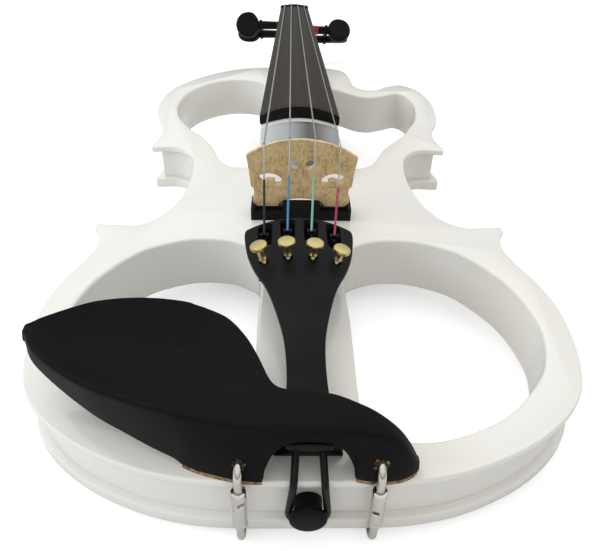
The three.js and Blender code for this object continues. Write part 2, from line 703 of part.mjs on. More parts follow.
function nut() {
  const half = BOARD_NARROW / 2;
  return slab(8, 3,
    (u, v) => {
      const x = lerp(-half, half, u);
      const fall = NUT_ABOVE_BOARD * v;
      return [x, lerp(NUT_LINE, NUT_LINE + NUT_LENGTH, v), nutTop - crownDrop(x, BOARD_CURVE) - fall];
    },
    (u, v) => [lerp(-half, half, u), lerp(NUT_LINE, NUT_LINE + NUT_LENGTH, v), nutTop - NUT_DEPTH]);
}

function tongue() {
  // The ramp in front of the fingerboard and the wedge under it, as far as the body's upper edge
  const foot = BODY_THICKNESS + SEAT_GAP;
  const rampTop = (y) => {
    const share = (y - TONGUE_FRONT) / (BOARD_END - TONGUE_FRONT);
    return lerp(foot + SEAT_GAP, boardSeat(BOARD_END), Math.sin(share * Math.PI / 2) ** RAMP_POWER);
  };
  const top = (y) => (y < BOARD_END ? rampTop(y) : boardSeat(y) - 2 * SEAT_GAP);
  const half = (y) => (y < BOARD_END ? TONGUE_WIDTH / 2 : Math.min(TONGUE_WIDTH / 2, boardHalf(y)));
  const crown = (y) => {
    if (y >= BOARD_END) return hollowAt(y);
    return TONGUE_CROWN * Math.min(1, 2 * (y - TONGUE_FRONT) / (BOARD_END - TONGUE_FRONT));
  };
  const end = BODY_LENGTH + 3 * SEAT_GAP;
  const stations = RAMP_STATION_SHARES.map((share) => lerp(TONGUE_FRONT, BOARD_END - SEAT_GAP, share));
  for (let step = 0; step <= 3; step++) stations.push(lerp(BOARD_END + SEAT_GAP, end, step / 3));
  const count = stations.length - 1;
  return slab(BOARD_FACETS, count,
    (u, v) => {
      const y = stations[Math.round(v * count)];
      const x = lerp(-half(y), half(y), u);
      return [x, y, top(y) + humpAt(x, half(y), crown(y))];
    },
    (u, v) => {
      const y = stations[Math.round(v * count)];
      return [lerp(-half(y), half(y), u), y, foot];
    });
}

function neckShaft() {
  // The handle from the body's upper edge to the nut, round below, with the heel's sweep at its root
  const start = BODY_LENGTH + 2 * SEAT_GAP;
  const end = NUT_LINE;
  const depth = (y) => {
    const plain = lerp(NECK_THICK_AT_ROOT, NECK_THICK_AT_NUT, (y - start) / (end - start));
    const share = Math.max(0, 1 - (y - start) / HEEL_LENGTH);
    const full = boardSeat(y) - HEEL_FOOT;
    return lerp(plain, full, 1 - Math.sqrt(1 - share * share));
  };
  const stations = HEEL_STATION_SHARES.map((share) => start + share * HEEL_LENGTH);
  for (let step = 1; step <= 3; step++) stations.push(lerp(start + HEEL_LENGTH, end, step / 3));
  const count = stations.length - 1;
  return slab(NECK_FACETS, count,
    (u, v) => {
      const y = stations[Math.round(v * count)];
      const half = boardHalf(y);
      return [-half * Math.cos(u * Math.PI), y, boardSeat(y) - SEAT_GAP];
    },
    (u, v) => {
      const y = stations[Math.round(v * count)];
      const half = boardHalf(y);
      const bow = Math.sin(u * Math.PI) ** NECK_POWER;
      const drop = SEAT_GAP + lerp(NECK_EDGE, depth(y), bow);
      return [-half * Math.cos(u * Math.PI), y, boardSeat(y) - drop];
    });
}

const alongBox = new THREE.Vector3(0, Math.cos(PEGBOX_SLOPE), -Math.sin(PEGBOX_SLOPE));
const outOfBox = new THREE.Vector3(0, Math.sin(PEGBOX_SLOPE), Math.cos(PEGBOX_SLOPE));
const pegboxStart = new THREE.Vector3(0, NUT_LINE + NUT_LENGTH, nutTop - PEGBOX_SHOULDER);
const inBox = (x, along, out) => pegboxStart.clone()
  .addScaledVector(alongBox, along).addScaledVector(outOfBox, out).setX(x).toArray();

function pegbox() {
  const bottom = (share) => -lerp(PEGBOX_DEEP, PEGBOX_SHALLOW, share);
  const half = (share) => lerp(PEGBOX_WIDE, PEGBOX_NARROW, share) / 2;
  const end = PEGBOX_LENGTH + SCROLL_RADIUS;
  const blank = slab(6, 4,
    (u, v) => inBox(lerp(-half(v), half(v), u), v * end, 0),
    (u, v) => {
      const x = lerp(-half(v), half(v), u);
      return inBox(x, v * end, bottom(v) + crownDrop(x, PEGBOX_WIDE));
    });
  const inner = (share) => half(share) - CHEEK;
  const last = PEGBOX_LENGTH / end;
  const hollow = slab(2, 4,
    (u, v) => {
      const share = v * last;
      return inBox(lerp(-inner(share), inner(share), u), share * end, PEGBOX_DEEP);
    },
    (u, v) => {
      const share = v * last;
      return inBox(lerp(-inner(share), inner(share), u), share * end, bottom(share) + PEGBOX_FLOOR);
    });
  const wide = BOARD_WIDE;
  const nutBack = NUT_LINE + NUT_LENGTH + SEAT_GAP;
  const underNut = box([-wide, NUT_LINE - wide, -wide], [wide, nutBack, nutTop + OVERRUN]);
  return { blank, cavity: hollow.subtract(underNut) };
}

const SCROLL_CENTRE = [
  PEGBOX_LENGTH + SCROLL_RADIUS * SCROLL_CENTRE_SHARES[0],
  SCROLL_RADIUS * SCROLL_CENTRE_SHARES[1],
];

function scroll() {
  // Each quarter turn is a snail-shaped disc, smaller and wider than the one before it
  const centre = SCROLL_CENTRE;
  const quarter = Math.PI / 2;
  const last = SCROLL_TURNS * 2 * Math.PI;
  const reach = (angle) => {
    return lerp(SCROLL_RADIUS, SCROLL_EYE, Math.min(1, angle / last) ** SCROLL_WINDING_POWER);
  };
  const halfWidth = (angle) => {
    return lerp(PEGBOX_NARROW, SCROLL_EYE_WIDTH, (angle / last) ** SCROLL_WIDENING_POWER) / 2;
  };
  const discs = [];
  for (let start = 0; start <= last - 2 * Math.PI + quarter / 2; start += quarter) {
    const outline = [];
    for (let step = 0; step <= SCROLL_STEPS; step++) {
      const angle = start + step / SCROLL_STEPS * 2 * Math.PI;
      const radius = reach(angle);
      const turned = angle + SCROLL_START;
      outline.push([centre[0] + radius * Math.cos(turned), centre[1] + radius * Math.sin(turned)]);
    }
    const half = halfWidth(start + Math.PI / 2);
    discs.push(sideways(outline, half));
  }
  const eye = Array.from({ length: SCROLL_STEPS }, (_, step) => {
    const angle = step / SCROLL_STEPS * 2 * Math.PI;
    return [centre[0] + SCROLL_EYE * Math.cos(angle), centre[1] + SCROLL_EYE * Math.sin(angle)];
  });
  discs.push(sideways(eye, SCROLL_EYE_WIDTH / 2));
  return joined(...discs);
}

function sideways(outline, half) {
  // A flat outline in the pegbox's side plane, as [along, out], pulled to both sides
  const shape = new THREE.Shape(outline.map(([along, out]) => new THREE.Vector2(along, out)));
  const geometry = new THREE.ExtrudeGeometry(shape, { depth: 2 * half, bevelEnabled: false });
  const place = new THREE.Matrix4().makeBasis(alongBox, outOfBox, new THREE.Vector3(1, 0, 0));
  geometry.translate(0, 0, -half);
  geometry.applyMatrix4(place);
  geometry.translate(...pegboxStart);
  return toSolid(geometry);
}

const pegAt = (name) => {
  return inBox(0, PEG_STATION_SHARES[name] * PEGBOX_LENGTH, -PEG_BELOW_CHEEK);
};

const pegSide = (name) => (name === 'e' || name === 'a' ? 1 : -1);
const pegRadius = (reach) => lerp(PEG_THICK, PEG_THIN, (PEGBOX_WIDE / 2 - reach) / PEGBOX_WIDE);

function neck() {
  const { blank, cavity } = pegbox();
  const pegHoles = Object.keys(PEG_STATION_SHARES).map((name) => {
    const [, y, z] = pegAt(name);
    const side = pegSide(name);
    const reach = PEGBOX_WIDE / 2 + OVERRUN;
    return rod([side * reach, y, z], [-side * reach, y, z],
      pegRadius(reach) + TURN_GAP, PEG_FACETS, pegRadius(-reach) + TURN_GAP);
  });
  const half = BOARD_WIDE / 2;
  const nutSeatCut = box(
    [-half, NUT_LINE - SEAT_GAP, nutTop - NUT_DEPTH - SEAT_GAP],
    [half, NUT_LINE + NUT_LENGTH + SEAT_GAP, nutTop + OVERRUN]);
  const boardCut = slab(2, 2,
    (u, v) => [lerp(-half, half, u), lerp(BOARD_END, NUT_LINE, v), boardTop(lerp(BOARD_END, NUT_LINE, v))],
    (u, v) => {
      const y = lerp(BODY_LENGTH, NUT_LINE, v);
      return [lerp(-half, half, u), y, boardSeat(y) - SEAT_GAP];
    });
  const head = cutBy(joined(blank, scroll()), cavity, nutSeatCut, boardCut, ...pegHoles);
  return joined(tongue(), neckShaft(), head);
}

// Pegs and their strings' windings

function pegHead(start) {
  // The thumb piece: an outline with rounded edges, as long as it is along the peg, set past its collar
  const long = PEG_HEAD_LENGTH - 2 * PEG_HEAD_ROUND;
  const tall = PEG_HEAD_HEIGHT / 2 - PEG_HEAD_ROUND;
  const upper = PEG_HEAD_SHARES.map(([x, y]) => new THREE.Vector2(y * tall, x * long));
  const lower = upper.map((point) => new THREE.Vector2(-point.x, point.y)).reverse();
  const geometry = new THREE.ExtrudeGeometry(new THREE.Shape([...upper, ...lower]), {
    depth: PEG_HEAD_THICK - 2 * PEG_HEAD_ROUND,
    bevelEnabled: true,
    bevelThickness: PEG_HEAD_ROUND,
    bevelSize: PEG_HEAD_ROUND,
    bevelSegments: 2,
  });
  geometry.translate(0, start + PEG_HEAD_ROUND, PEG_HEAD_ROUND - PEG_HEAD_THICK / 2);
  return geometry;
}

function peg(name) {
  const [, y, z] = pegAt(name);
  const side = pegSide(name);
  const tip = -PEGBOX_WIDE / 2;
  const collarEnd = PEG_COLLAR_AT + PEG_COLLAR_LENGTH;
  const headStart = collarEnd + SEAT_GAP;
  const shaft = revolved([
    [0, tip], [pegRadius(tip), tip], [pegRadius(PEG_COLLAR_AT), PEG_COLLAR_AT],
    [PEG_COLLAR, PEG_COLLAR_AT], [PEG_COLLAR, collarEnd],
    [PEG_COLLAR_THROAT, collarEnd + PEG_COLLAR_LENGTH], [0, collarEnd + PEG_COLLAR_LENGTH * 2],
  ], PEG_FACETS);
  const solids = [shaft, pegHead(headStart).rotateY(Math.PI / 2)].map((geometry) => {
    geometry.rotateY(-side * (PEGBOX_SLOPE + PEG_TURNS[name]));
    geometry.rotateZ(-side * Math.PI / 2);
    geometry.translate(0, y, z);
    return toSolid(geometry);
  });
  return joined(...solids);
}

function windingPoints(name) {
  const [, y, z] = pegAt(name);
  const middle = WINDING_PLACES[name];
  const length = WINDING_TURNS * WINDING_PITCH;
  const radius = pegRadius(pegSide(name) * middle) + SEAT_GAP + WINDING_WIRE;
  const steps = WINDING_TURNS * WINDING_STEPS;
  return Array.from({ length: steps + 1 }, (_, step) => {
    const angle = step / WINDING_STEPS * 2 * Math.PI + WINDING_START;
    const x = middle + (step / steps - 0.5) * length;
    return new THREE.Vector3(x, y + radius * Math.cos(angle), z + radius * Math.sin(angle));
  });
}

function leastGap(points, radius, apart) {
  // Between the surfaces of a tube's own turns, over all pairs of its points that are far enough along it
  let least = Infinity;
  for (let i = 0; i < points.length; i++) {
    for (let j = i + apart; j < points.length; j++) {
      least = Math.min(least, points[i].distanceTo(points[j]) - 2 * radius);
    }
  }
  return least;
}

// Strings

const STRING_NAMES = ['g', 'd', 'a', 'e'];
const spread = (name) => STRING_NAMES.indexOf(name) / 3 - 0.5;
const bridgeCrest = (x) => HEIGHT_AT_BRIDGE + crownDrop(SPACING_AT_BRIDGE / 2, BRIDGE_CURVE)
  - crownDrop(x, BRIDGE_CURVE) - ACTION_DROP * x / SPACING_AT_BRIDGE;

function stringPlaces(name) {
  const radius = STRING_RADII[name];
  const bridgeX = spread(name) * SPACING_AT_BRIDGE;
  const nutX = spread(name) * SPACING_AT_NUT;
  const onBridge = [bridgeX, BRIDGE_LINE, bridgeCrest(bridgeX) + radius];
  const onNut = [nutX, NUT_LINE + SEAT_GAP, nutTop - crownDrop(nutX, BOARD_CURVE) + radius + SEAT_GAP];
  return { onBridge, onNut, radius };
}

function stringLine(name) {
  const { onBridge, onNut, radius } = stringPlaces(name);
  const [, y, z] = pegAt(name);
  const behindNut = [onNut[0], NUT_LINE + NUT_LENGTH + 2 * SEAT_GAP + radius, onNut[2] - NUT_ABOVE_BOARD];
  const wound = pegRadius(WINDING_PLACES[name]) + SEAT_GAP + WINDING_WIRE;
  const meet = [WINDING_PLACES[name], y, z + wound + SEAT_GAP + radius + WINDING_WIRE];
  return tube([onBridge, onNut, behindNut, meet], radius, 8);
}

function silkLine(name) {
  const { onBridge, radius } = stringPlaces(name);
  const start = new THREE.Vector3(...hookTop(name)).add(new THREE.Vector3(0, 0, -LEVER_HOOK_RISE / 2));
  const end = new THREE.Vector3(...onBridge);
  const run = end.clone().sub(start).normalize();
  end.addScaledVector(run, -(radius + 2 * SEAT_GAP + BRIDGE_TOP_THICK / 2));
  return rod(start.toArray(), end.toArray(), SILK_RADIUS, 8);
}

// Bridge and pickup

const trayTop = BODY_THICKNESS + SEAT_GAP + TRAY_HEIGHT;
const feetLevel = trayTop + PIEZO_THICK + SEAT_GAP;

function bridge() {
  const crest = (x) => bridgeCrest(x) - SEAT_GAP;
  const half = BRIDGE_TOP / 2;
  const rise = crest(half) - feetLevel;
  const at = (across, up) => new THREE.Vector2(across * half, feetLevel + up * rise);
  const side = BRIDGE_SIDE_SHARES.map(([across, up]) => at(across, up));
  const top = Array.from({ length: 9 }, (_, step) => {
    const x = lerp(half, -half, step / 8);
    return new THREE.Vector2(x, crest(x));
  });
  const [span, low, height] = BRIDGE_ARCH_SHARES;
  const arch = Array.from({ length: 5 }, (_, step) => {
    const angle = Math.PI * (1 - step / 4);
    return at(span * Math.cos(angle), low + height * Math.sin(angle));
  });
  const outline = [...side, ...top, ...mirrored(side), ...arch];
  const blank = upright(outline, BRIDGE_FOOT_THICK);
  const lean = (BRIDGE_FOOT_THICK - BRIDGE_TOP_THICK) / 2;
  const planes = [1, -1].map((way) => upright([
    new THREE.Vector2(-BRIDGE_TOP, feetLevel), new THREE.Vector2(BRIDGE_TOP, feetLevel),
    new THREE.Vector2(BRIDGE_TOP, crest(0) + OVERRUN), new THREE.Vector2(-BRIDGE_TOP, crest(0) + OVERRUN),
  ], BRIDGE_FOOT_THICK, (z) => way * (BRIDGE_FOOT_THICK - lean * (z - feetLevel) / (crest(0) - feetLevel))));
  const holes = [BRIDGE_EYE_SHARES, BRIDGE_KIDNEY_SHARES].flatMap((shares) => {
    const edge = shares.map(([across, up]) => at(across, up));
    return [edge, mirrored(edge)].map((line) => upright(line, BRIDGE_FOOT_THICK + OVERRUN));
  });
  return cutBy(blank, ...planes, ...holes);
}

function upright(outline, thickness, shift = () => 0) {
  // An outline in the bridge's plane, as (x, z), pulled to both sides along Y
  const shape = new THREE.Shape(outline);
  const geometry = new THREE.ExtrudeGeometry(shape, { depth: thickness, bevelEnabled: false });
  geometry.translate(0, 0, -thickness / 2);
  geometry.rotateX(Math.PI / 2);
  const place = geometry.attributes.position;
  for (let k = 0; k < place.count; k++) place.setY(k, place.getY(k) + BRIDGE_LINE + shift(place.getZ(k)));
  return toSolid(geometry);
}

function pickupTray() {
  const low = BODY_THICKNESS + SEAT_GAP;
  const half = TRAY_WIDTH / 2;
  const front = BRIDGE_LINE - TRAY_DEPTH / 2;
  const back = BRIDGE_LINE + TRAY_DEPTH / 2;
  const base = box([-half, front, low], [half, back, trayTop]);
  const blockBack = BRIDGE_LINE - BRIDGE_FOOT_THICK / 2 - SEAT_GAP;
  const block = box(
    [-TRAY_BLOCK_WIDTH / 2, front, low],
    [TRAY_BLOCK_WIDTH / 2, blockBack, trayTop + TRAY_BLOCK_HEIGHT]);
  const walls = [-1, 1].map((way) => box(
    [Math.min(way * half, way * (half - TRAY_WALL)), front, low],
    [Math.max(way * half, way * (half - TRAY_WALL)), back, trayTop + TRAY_WALL_HEIGHT]));
  return joined(base, block, ...walls);
}

function piezoStrip() {
  const half = PIEZO_WIDTH / 2;
  return box(
    [-half, BRIDGE_LINE - PIEZO_DEPTH / 2, trayTop + SEAT_GAP / 2],
    [half, BRIDGE_LINE + PIEZO_DEPTH / 2, feetLevel - SEAT_GAP / 2]);
}

// Tailpiece and fine tuners

const tailpieceY = (share) => TAILPIECE_TAIL + share * TAILPIECE_LENGTH;
const tailpieceTop = (share) => lerp(TAILPIECE_TAIL_TOP, TAILPIECE_HEAD_TOP, share);
const tailpieceMiddle = (share) => TAILPIECE_SWING * share;

function tailpieceHalf(share) {
  const next = Math.max(1, TAILPIECE_WIDTH_SHARES.findIndex(([place]) => place >= share));
  const [before, narrow] = TAILPIECE_WIDTH_SHARES[next - 1];
  const [after, wide] = TAILPIECE_WIDTH_SHARES[next];
  const rest = (share - before) / (after - before);
  const eased = rest * rest * (3 - 2 * rest);
  return lerp(narrow, wide, eased) * TAILPIECE_WIDTH / 2;
}

const tunerShare = (TAILPIECE_LENGTH - TUNER_FROM_HEAD) / TAILPIECE_LENGTH;
const pivotShare = (TAILPIECE_LENGTH - LEVER_PIVOT_FROM_HEAD) / TAILPIECE_LENGTH;
const tunerOffset = (name) => TUNER_SPACING_SHARES[name] * TAILPIECE_WIDTH / 2;
const tailpieceBow = (share, offset) => TAILPIECE_BOW * share ** 3 * (2 * offset / TAILPIECE_WIDTH) ** 2;
const tailpieceSurface = (share, offset) => [
  tailpieceMiddle(share) + offset,
  tailpieceY(share) - tailpieceBow(share, offset),
  tailpieceTop(share) - crownDrop(offset, TAILPIECE_CURVE),
];

function tunerPlaces(name) {
  // The screw stands square to the tailpiece's crown; the lever turns on a pin below the head end
  const offset = tunerOffset(name);
  const seat = tailpieceSurface(tunerShare, offset);
  const lean = Math.asin(offset / TAILPIECE_CURVE);
  const up = [Math.sin(lean), 0, Math.cos(lean)];
  const pivotTop = tailpieceSurface(pivotShare, offset);
  const pivot = [pivotTop[0], pivotTop[1], pivotTop[2] - LEVER_PIVOT_BELOW];
  return { seat, up, pivot, pivotTop };
}

const alongUp = ({ seat, up }, distance) => seat.map((value, axis) => value + up[axis] * distance);

function hookTop(name) {
  const { pivotTop } = tunerPlaces(name);
  return [pivotTop[0], pivotTop[1] + LEVER_BAR, pivotTop[2] + LEVER_HOOK_RISE];
}

function tailpiece() {
  const shell = slab(TAILPIECE_FACETS, TAILPIECE_STATIONS,
    (u, v) => {
      const half = tailpieceHalf(v);
      const offset = -half * Math.cos(u * Math.PI);
      return tailpieceSurface(v, offset);
    },
    (u, v) => {
      const half = tailpieceHalf(v);
      const offset = -half * Math.cos(u * Math.PI);
      const [x, y, z] = tailpieceSurface(v, offset);
      return [x, y, z - TAILPIECE_WALL * lerp(TAILPIECE_EDGE_SHARE, 1, Math.sin(u * Math.PI))];
    });
  const cuts = [];
  const lugs = [];
  for (const name of STRING_NAMES) {
    const places = tunerPlaces(name);
    const [x, y, z] = places.pivotTop;
    const slotEnd = TAILPIECE_TAIL + TAILPIECE_LENGTH - SLOT_FROM_HEAD;
    const bow = tailpieceBow(1, tunerOffset(name));
    cuts.push(box(
      [x - SLOT_WIDTH / 2, slotEnd - SLOT_LENGTH - bow, z - LEVER_PIVOT_BELOW / 2],
      [x + SLOT_WIDTH / 2, slotEnd - bow, z + OVERRUN]));
    cuts.push(rod(alongUp(places, -OVERRUN * 2), alongUp(places, OVERRUN), TUNER_STEM + SEAT_GAP, 10));
    const gap = LEVER_THICK / 2 + SEAT_GAP;
    for (const way of [-1, 1]) {
      const near = x + way * gap;
      const far = x + way * (gap + LUG_THICK);
      const low = [Math.min(near, far), y - LUG_RADIUS, z - LEVER_PIVOT_BELOW];
      const high = [Math.max(near, far), y + LUG_RADIUS, z - TAILPIECE_WALL / 2];
      const round = rod([near, y, places.pivot[2]], [far, y, places.pivot[2]], LUG_RADIUS, 8);
      lugs.push(joined(box(low, high), round));
    }
    cuts.push(rod(
      [x - gap - LUG_THICK - SEAT_GAP, y, places.pivot[2]],
      [x + gap + LUG_THICK + SEAT_GAP, y, places.pivot[2]], LEVER_PIN + TURN_GAP, 8));
  }
  const gutHoles = [-1, 1].map((way) => {
    const inner = new THREE.Vector3(...gutEnd(way));
    const outer = new THREE.Vector3(...gutCorner(way));
    inner.addScaledVector(inner.clone().sub(outer).normalize(), SEAT_GAP);
    return rod(outer.toArray(), inner.toArray(), GUT_RADIUS + SEAT_GAP, 8);
  });
  return cutBy(joined(shell, ...lugs), ...cuts, ...gutHoles);
}

function tunerShank(name) {
  const places = tunerPlaces(name);
  const top = TUNER_STANDS[name] - TUNER_HEAD_THICK - SEAT_GAP;
  return rod(alongUp(places, -TAILPIECE_WALL - TUNER_TIP), alongUp(places, top), TUNER_SCREW, 10);
}

function tunerHead(name) {
  const { seat, up } = tunerPlaces(name);
  const top = TUNER_STANDS[name];
  const under = top - TUNER_HEAD_THICK;
  const edge = TUNER_HEAD_EDGE;
  const bore = TUNER_SCREW + TURN_GAP;
  const turned = revolved([
    [bore, TUNER_STEM_LIFT], [TUNER_STEM, TUNER_STEM_LIFT], [TUNER_STEM, under], [TUNER_HEAD - edge, under],
    [TUNER_HEAD, under + edge], [TUNER_HEAD, top - edge], [TUNER_HEAD - edge, top], [0, top], [0, under],
    [bore, under], [bore, TUNER_STEM_LIFT],
  ], 14);
  const upright = new THREE.Vector3(0, 1, 0);
  const turn = new THREE.Quaternion().setFromUnitVectors(upright, new THREE.Vector3(...up));
  turned.applyQuaternion(turn);
  turned.translate(...seat);
  return toSolid(turned);
}

function tunerLever(name) {
  const places = tunerPlaces(name);
  const { pivot, pivotTop } = places;
  const half = LEVER_THICK / 2;
  const tip = alongUp(places, -TAILPIECE_WALL - TUNER_TIP - 2 * SEAT_GAP);
  const drop = tip[2] - pivot[2];
  const backY = tip[1] - pivot[1] - TUNER_SCREW;
  const rise = pivotTop[2] - pivot[2] + LEVER_HOOK_RISE;
  const profile = [
    [backY, drop - LEVER_BAR], [0, -LEVER_BAR / 2], [LEVER_BAR * 3 / 2, 0], [LEVER_BAR * 3 / 2, rise],
    [LEVER_BAR / 2, rise], [LEVER_BAR / 2, LEVER_BAR], [-LEVER_BAR, LEVER_BAR / 2], [backY, drop],
  ];
  const shape = new THREE.Shape(profile.map(([y, z]) => new THREE.Vector2(y, z)));
  const geometry = new THREE.ExtrudeGeometry(shape, { depth: LEVER_THICK, bevelEnabled: false });
  geometry.translate(0, 0, -half);
  geometry.applyMatrix4(new THREE.Matrix4().makeBasis(
    new THREE.Vector3(0, 1, 0), new THREE.Vector3(0, 0, 1), new THREE.Vector3(1, 0, 0)));
  geometry.translate(...pivot);
  const reach = half + SEAT_GAP + LUG_THICK;
  const [pinX, pinY, pinZ] = pivot;
  const pin = rod([pinX - reach, pinY, pinZ], [pinX + reach, pinY, pinZ], LEVER_PIN, 10);
  const [x, y, z] = hookTop(name);
  const fork = box(
    [x - SILK_RADIUS - SEAT_GAP, y - LEVER_BAR * 2, z - LEVER_FORK_DEPTH],
    [x + SILK_RADIUS + SEAT_GAP, y + LEVER_BAR * 2, z + OVERRUN]);
  return cutBy(joined(toSolid(geometry), pin), fork);
}

// Saddle, gut and end button

function saddle() {
  const half = SADDLE_WIDTH / 2;
  const low = BODY_THICKNESS + SEAT_GAP;
  const right = SADDLE_SHARES.map(([x, z]) => new THREE.Vector2(x * half, z * SADDLE_HEIGHT));
  const shape = new THREE.Shape([...right, ...mirrored(right)]);
  const geometry = new THREE.ExtrudeGeometry(shape, { depth: SADDLE_DEPTH, bevelEnabled: false });
  geometry.rotateX(Math.PI / 2);
  geometry.translate(0, SADDLE_FRONT + SADDLE_DEPTH, low);
  return toSolid(geometry);
}

const gutEdge = -GUT_RADIUS - SEAT_GAP;
const gutTop = tailpieceTop(GUT_END_DEPTH / TAILPIECE_LENGTH) - GUT_BELOW_TOP;
const gutEnd = (way) => [way * GUT_SPACING / 2, TAILPIECE_TAIL + GUT_END_DEPTH, gutTop];
const gutCorner = (way) => [way * GUT_SPACING / 2, ...GUT_CORNER];

function tailGut() {
  // Two strands over the saddle and one loop under the button's neck
  const loop = BUTTON_NECK + SEAT_GAP + GUT_RADIUS;
  const y = gutEdge;
  const strand = (way) => [
    gutEnd(way),
    ...corner(gutEnd(way), gutCorner(way), [way * loop, y, BUTTON_HEIGHT], GUT_BEND, 4),
  ];
  const bend = Array.from({ length: 9 }, (_, step) => {
    const angle = -step / 8 * Math.PI;
    return [loop * Math.cos(angle), y, BUTTON_HEIGHT + loop * Math.sin(angle)];
  });
  return tube([...strand(1), ...bend, ...strand(-1).reverse()], GUT_RADIUS, 8);
}

function endButton() {
  const inner = FLANGE_OVERHANG + BUTTON_SHANK_LENGTH;
  const headBack = -BUTTON_FACE + BUTTON_HEAD_THICK;
  const seat = FLANGE_OVERHANG - SEAT_GAP;
  const profile = revolved([
    [0, -BUTTON_FACE], [BUTTON_HEAD - BUTTON_ROUND, -BUTTON_FACE], [BUTTON_HEAD, -BUTTON_FACE + BUTTON_ROUND],
    [BUTTON_HEAD, headBack - BUTTON_ROUND], [BUTTON_NECK, headBack],
    [BUTTON_NECK, seat], [BUTTON_SHANK, seat], [BUTTON_SHANK_END, inner], [0, inner],
  ], 20);
  profile.translate(0, 0, BUTTON_HEIGHT);
  return toSolid(profile);
}

// Chinrest

const padTop = BODY_THICKNESS + CORK_PAD + 2 * SEAT_GAP;

function chinStation([across, near, far, rim, under, foot, back, dish]) {
  return {
    x: across * CHIN_REACH,
    near: near * CHIN_FAR,
    far: far * CHIN_FAR,
    rim: lerp(padTop, CHIN_TOP, rim),
    under: lerp(padTop, CHIN_TOP, under),
    foot: foot * CHIN_FAR,
    back: back * CHIN_FAR,
    dish: dish * CHIN_DISH,
  };
}

const chinStations = CHIN_STATION_SHARES.map(chinStation);

function chinBody() {
  // One form from the cup's tip over the tailpiece to the treble foot
  const count = chinStations.length - 1;
  const top = (station, u) => station.rim - station.dish * Math.sin(u * Math.PI);
  return slab(CHIN_COLUMNS, count,
    (u, v) => {
      const station = chinStations[Math.round(v * count)];
      return [station.x, lerp(station.near, station.far, u), top(station, u)];
    },
    (u, v) => {
      const station = chinStations[Math.round(v * count)];
      const column = Math.round(u * CHIN_COLUMNS);
      if (column <= CHIN_FOOT_COLUMNS) {
        const y = lerp(station.foot, station.back, column / CHIN_FOOT_COLUMNS);
        return [station.x, y, station.under];
      }
      const share = (column - CHIN_FOOT_COLUMNS) / (CHIN_COLUMNS - CHIN_FOOT_COLUMNS);
      const wall = column === CHIN_COLUMNS ? CHIN_WALL / 2 : CHIN_WALL;
      const lip = (station.far - station.back) / (station.far + station.back) * CHIN_LIP;
      return [
        station.x,
        lerp(station.back, station.far - lip, share),
        Math.max(station.under, top(station, share) - wall),
      ];
    });
}

function chinrest() {
  const holes = [-1, 1].map((way) => {
    const x = way * CLAMP_SPACING / 2;
    return rod([x, CHIN_FRONT - OVERRUN, HOOK_HEIGHT], [x, CHIN_FRONT + HOOK_DEPTH, HOOK_HEIGHT],
      ROD_RADIUS + SEAT_GAP, 12);
  });
  return cutBy(chinBody(), ...holes);
}

function chinCork(side) {
  // The pad has the outline of the foot above it
  const [first, last] = CORK_STATIONS[side];
  const feet = chinStations.slice(first, last + 1);
  const front = feet.map(({ x, foot }) => new THREE.Vector2(x, foot));
  const back = feet.map((station) => new THREE.Vector2(station.x, station.back)).reverse();
  const low = BODY_THICKNESS + SEAT_GAP;
  return prism([...front, ...back], low, low + CORK_PAD);
}

// Chinrest clamps

const clampX = (way) => way * CLAMP_SPACING / 2;
const barrelTop = BARREL_BOTTOM + BARREL_LENGTH;

function upperHook(way) {
  const x = clampX(way);
  const start = [x, CHIN_FRONT + HOOK_DEPTH - SEAT_GAP, HOOK_HEIGHT];
  const bend = [x, CLAMP_AXIS_Y, HOOK_HEIGHT];
  const end = [x, CLAMP_AXIS_Y, barrelTop - ROD_IN_BARREL];
  return tube([start, ...corner(start, bend, end, HOOK_BEND), end], ROD_RADIUS, 10);
}

function barrel(way) {
  const x = clampX(way);
  const bore = ROD_RADIUS + SEAT_GAP;
  const edge = (BARREL_RADIUS - bore) / 2;
  const sleeve = revolved([
    [bore, BARREL_BOTTOM], [BARREL_RADIUS - edge, BARREL_BOTTOM], [BARREL_RADIUS, BARREL_BOTTOM + edge],
    [BARREL_RADIUS, barrelTop - edge], [BARREL_RADIUS - edge, barrelTop], [bore, barrelTop],
    [bore, BARREL_BOTTOM],
  ], 16);
  sleeve.rotateX(Math.PI / 2);
  sleeve.translate(x, CLAMP_AXIS_Y, 0);
  const holeHeight = BARREL_HOLE_SHARES.map((share) => BARREL_BOTTOM + share * BARREL_LENGTH);
  const holes = holeHeight.map((z) => rod(
    [x, CLAMP_AXIS_Y - OVERRUN, z], [x, CLAMP_AXIS_Y + OVERRUN, z], BARREL_HOLE, 8));
  return cutBy(toSolid(sleeve), ...holes);
}

const corkLow = -SEAT_GAP - FOOT_CORK;
const footTop = corkLow - SEAT_GAP;
const footLow = footTop - FOOT_PAD;

function lowerFoot(way) {
  const x = clampX(way);
  const start = [x, CLAMP_AXIS_Y, BARREL_BOTTOM + ROD_IN_BARREL];
  const level = -SEAT_GAP - ROD_RADIUS;
  const bend = [x, CLAMP_AXIS_Y, level];
  const end = [x, FOOT_NEAR + FOOT_LAP, level];
  const leg = tube([start, ...corner(start, bend, end, FOOT_BEND), end], ROD_RADIUS, 10);
  const half = FOOT_PAD_WIDTH / 2;
  return joined(leg, box([x - half, FOOT_NEAR, footLow], [x + half, FOOT_REACH, footTop]));
}

function footCork(way) {
  const x = clampX(way);
  const half = FOOT_PAD_WIDTH / 2;
  const near = FOOT_NEAR + FOOT_LAP + SEAT_GAP;
  return box([x - half, near, corkLow], [x + half, FOOT_REACH, corkLow + FOOT_CORK]);
}

// Control panel and electronics

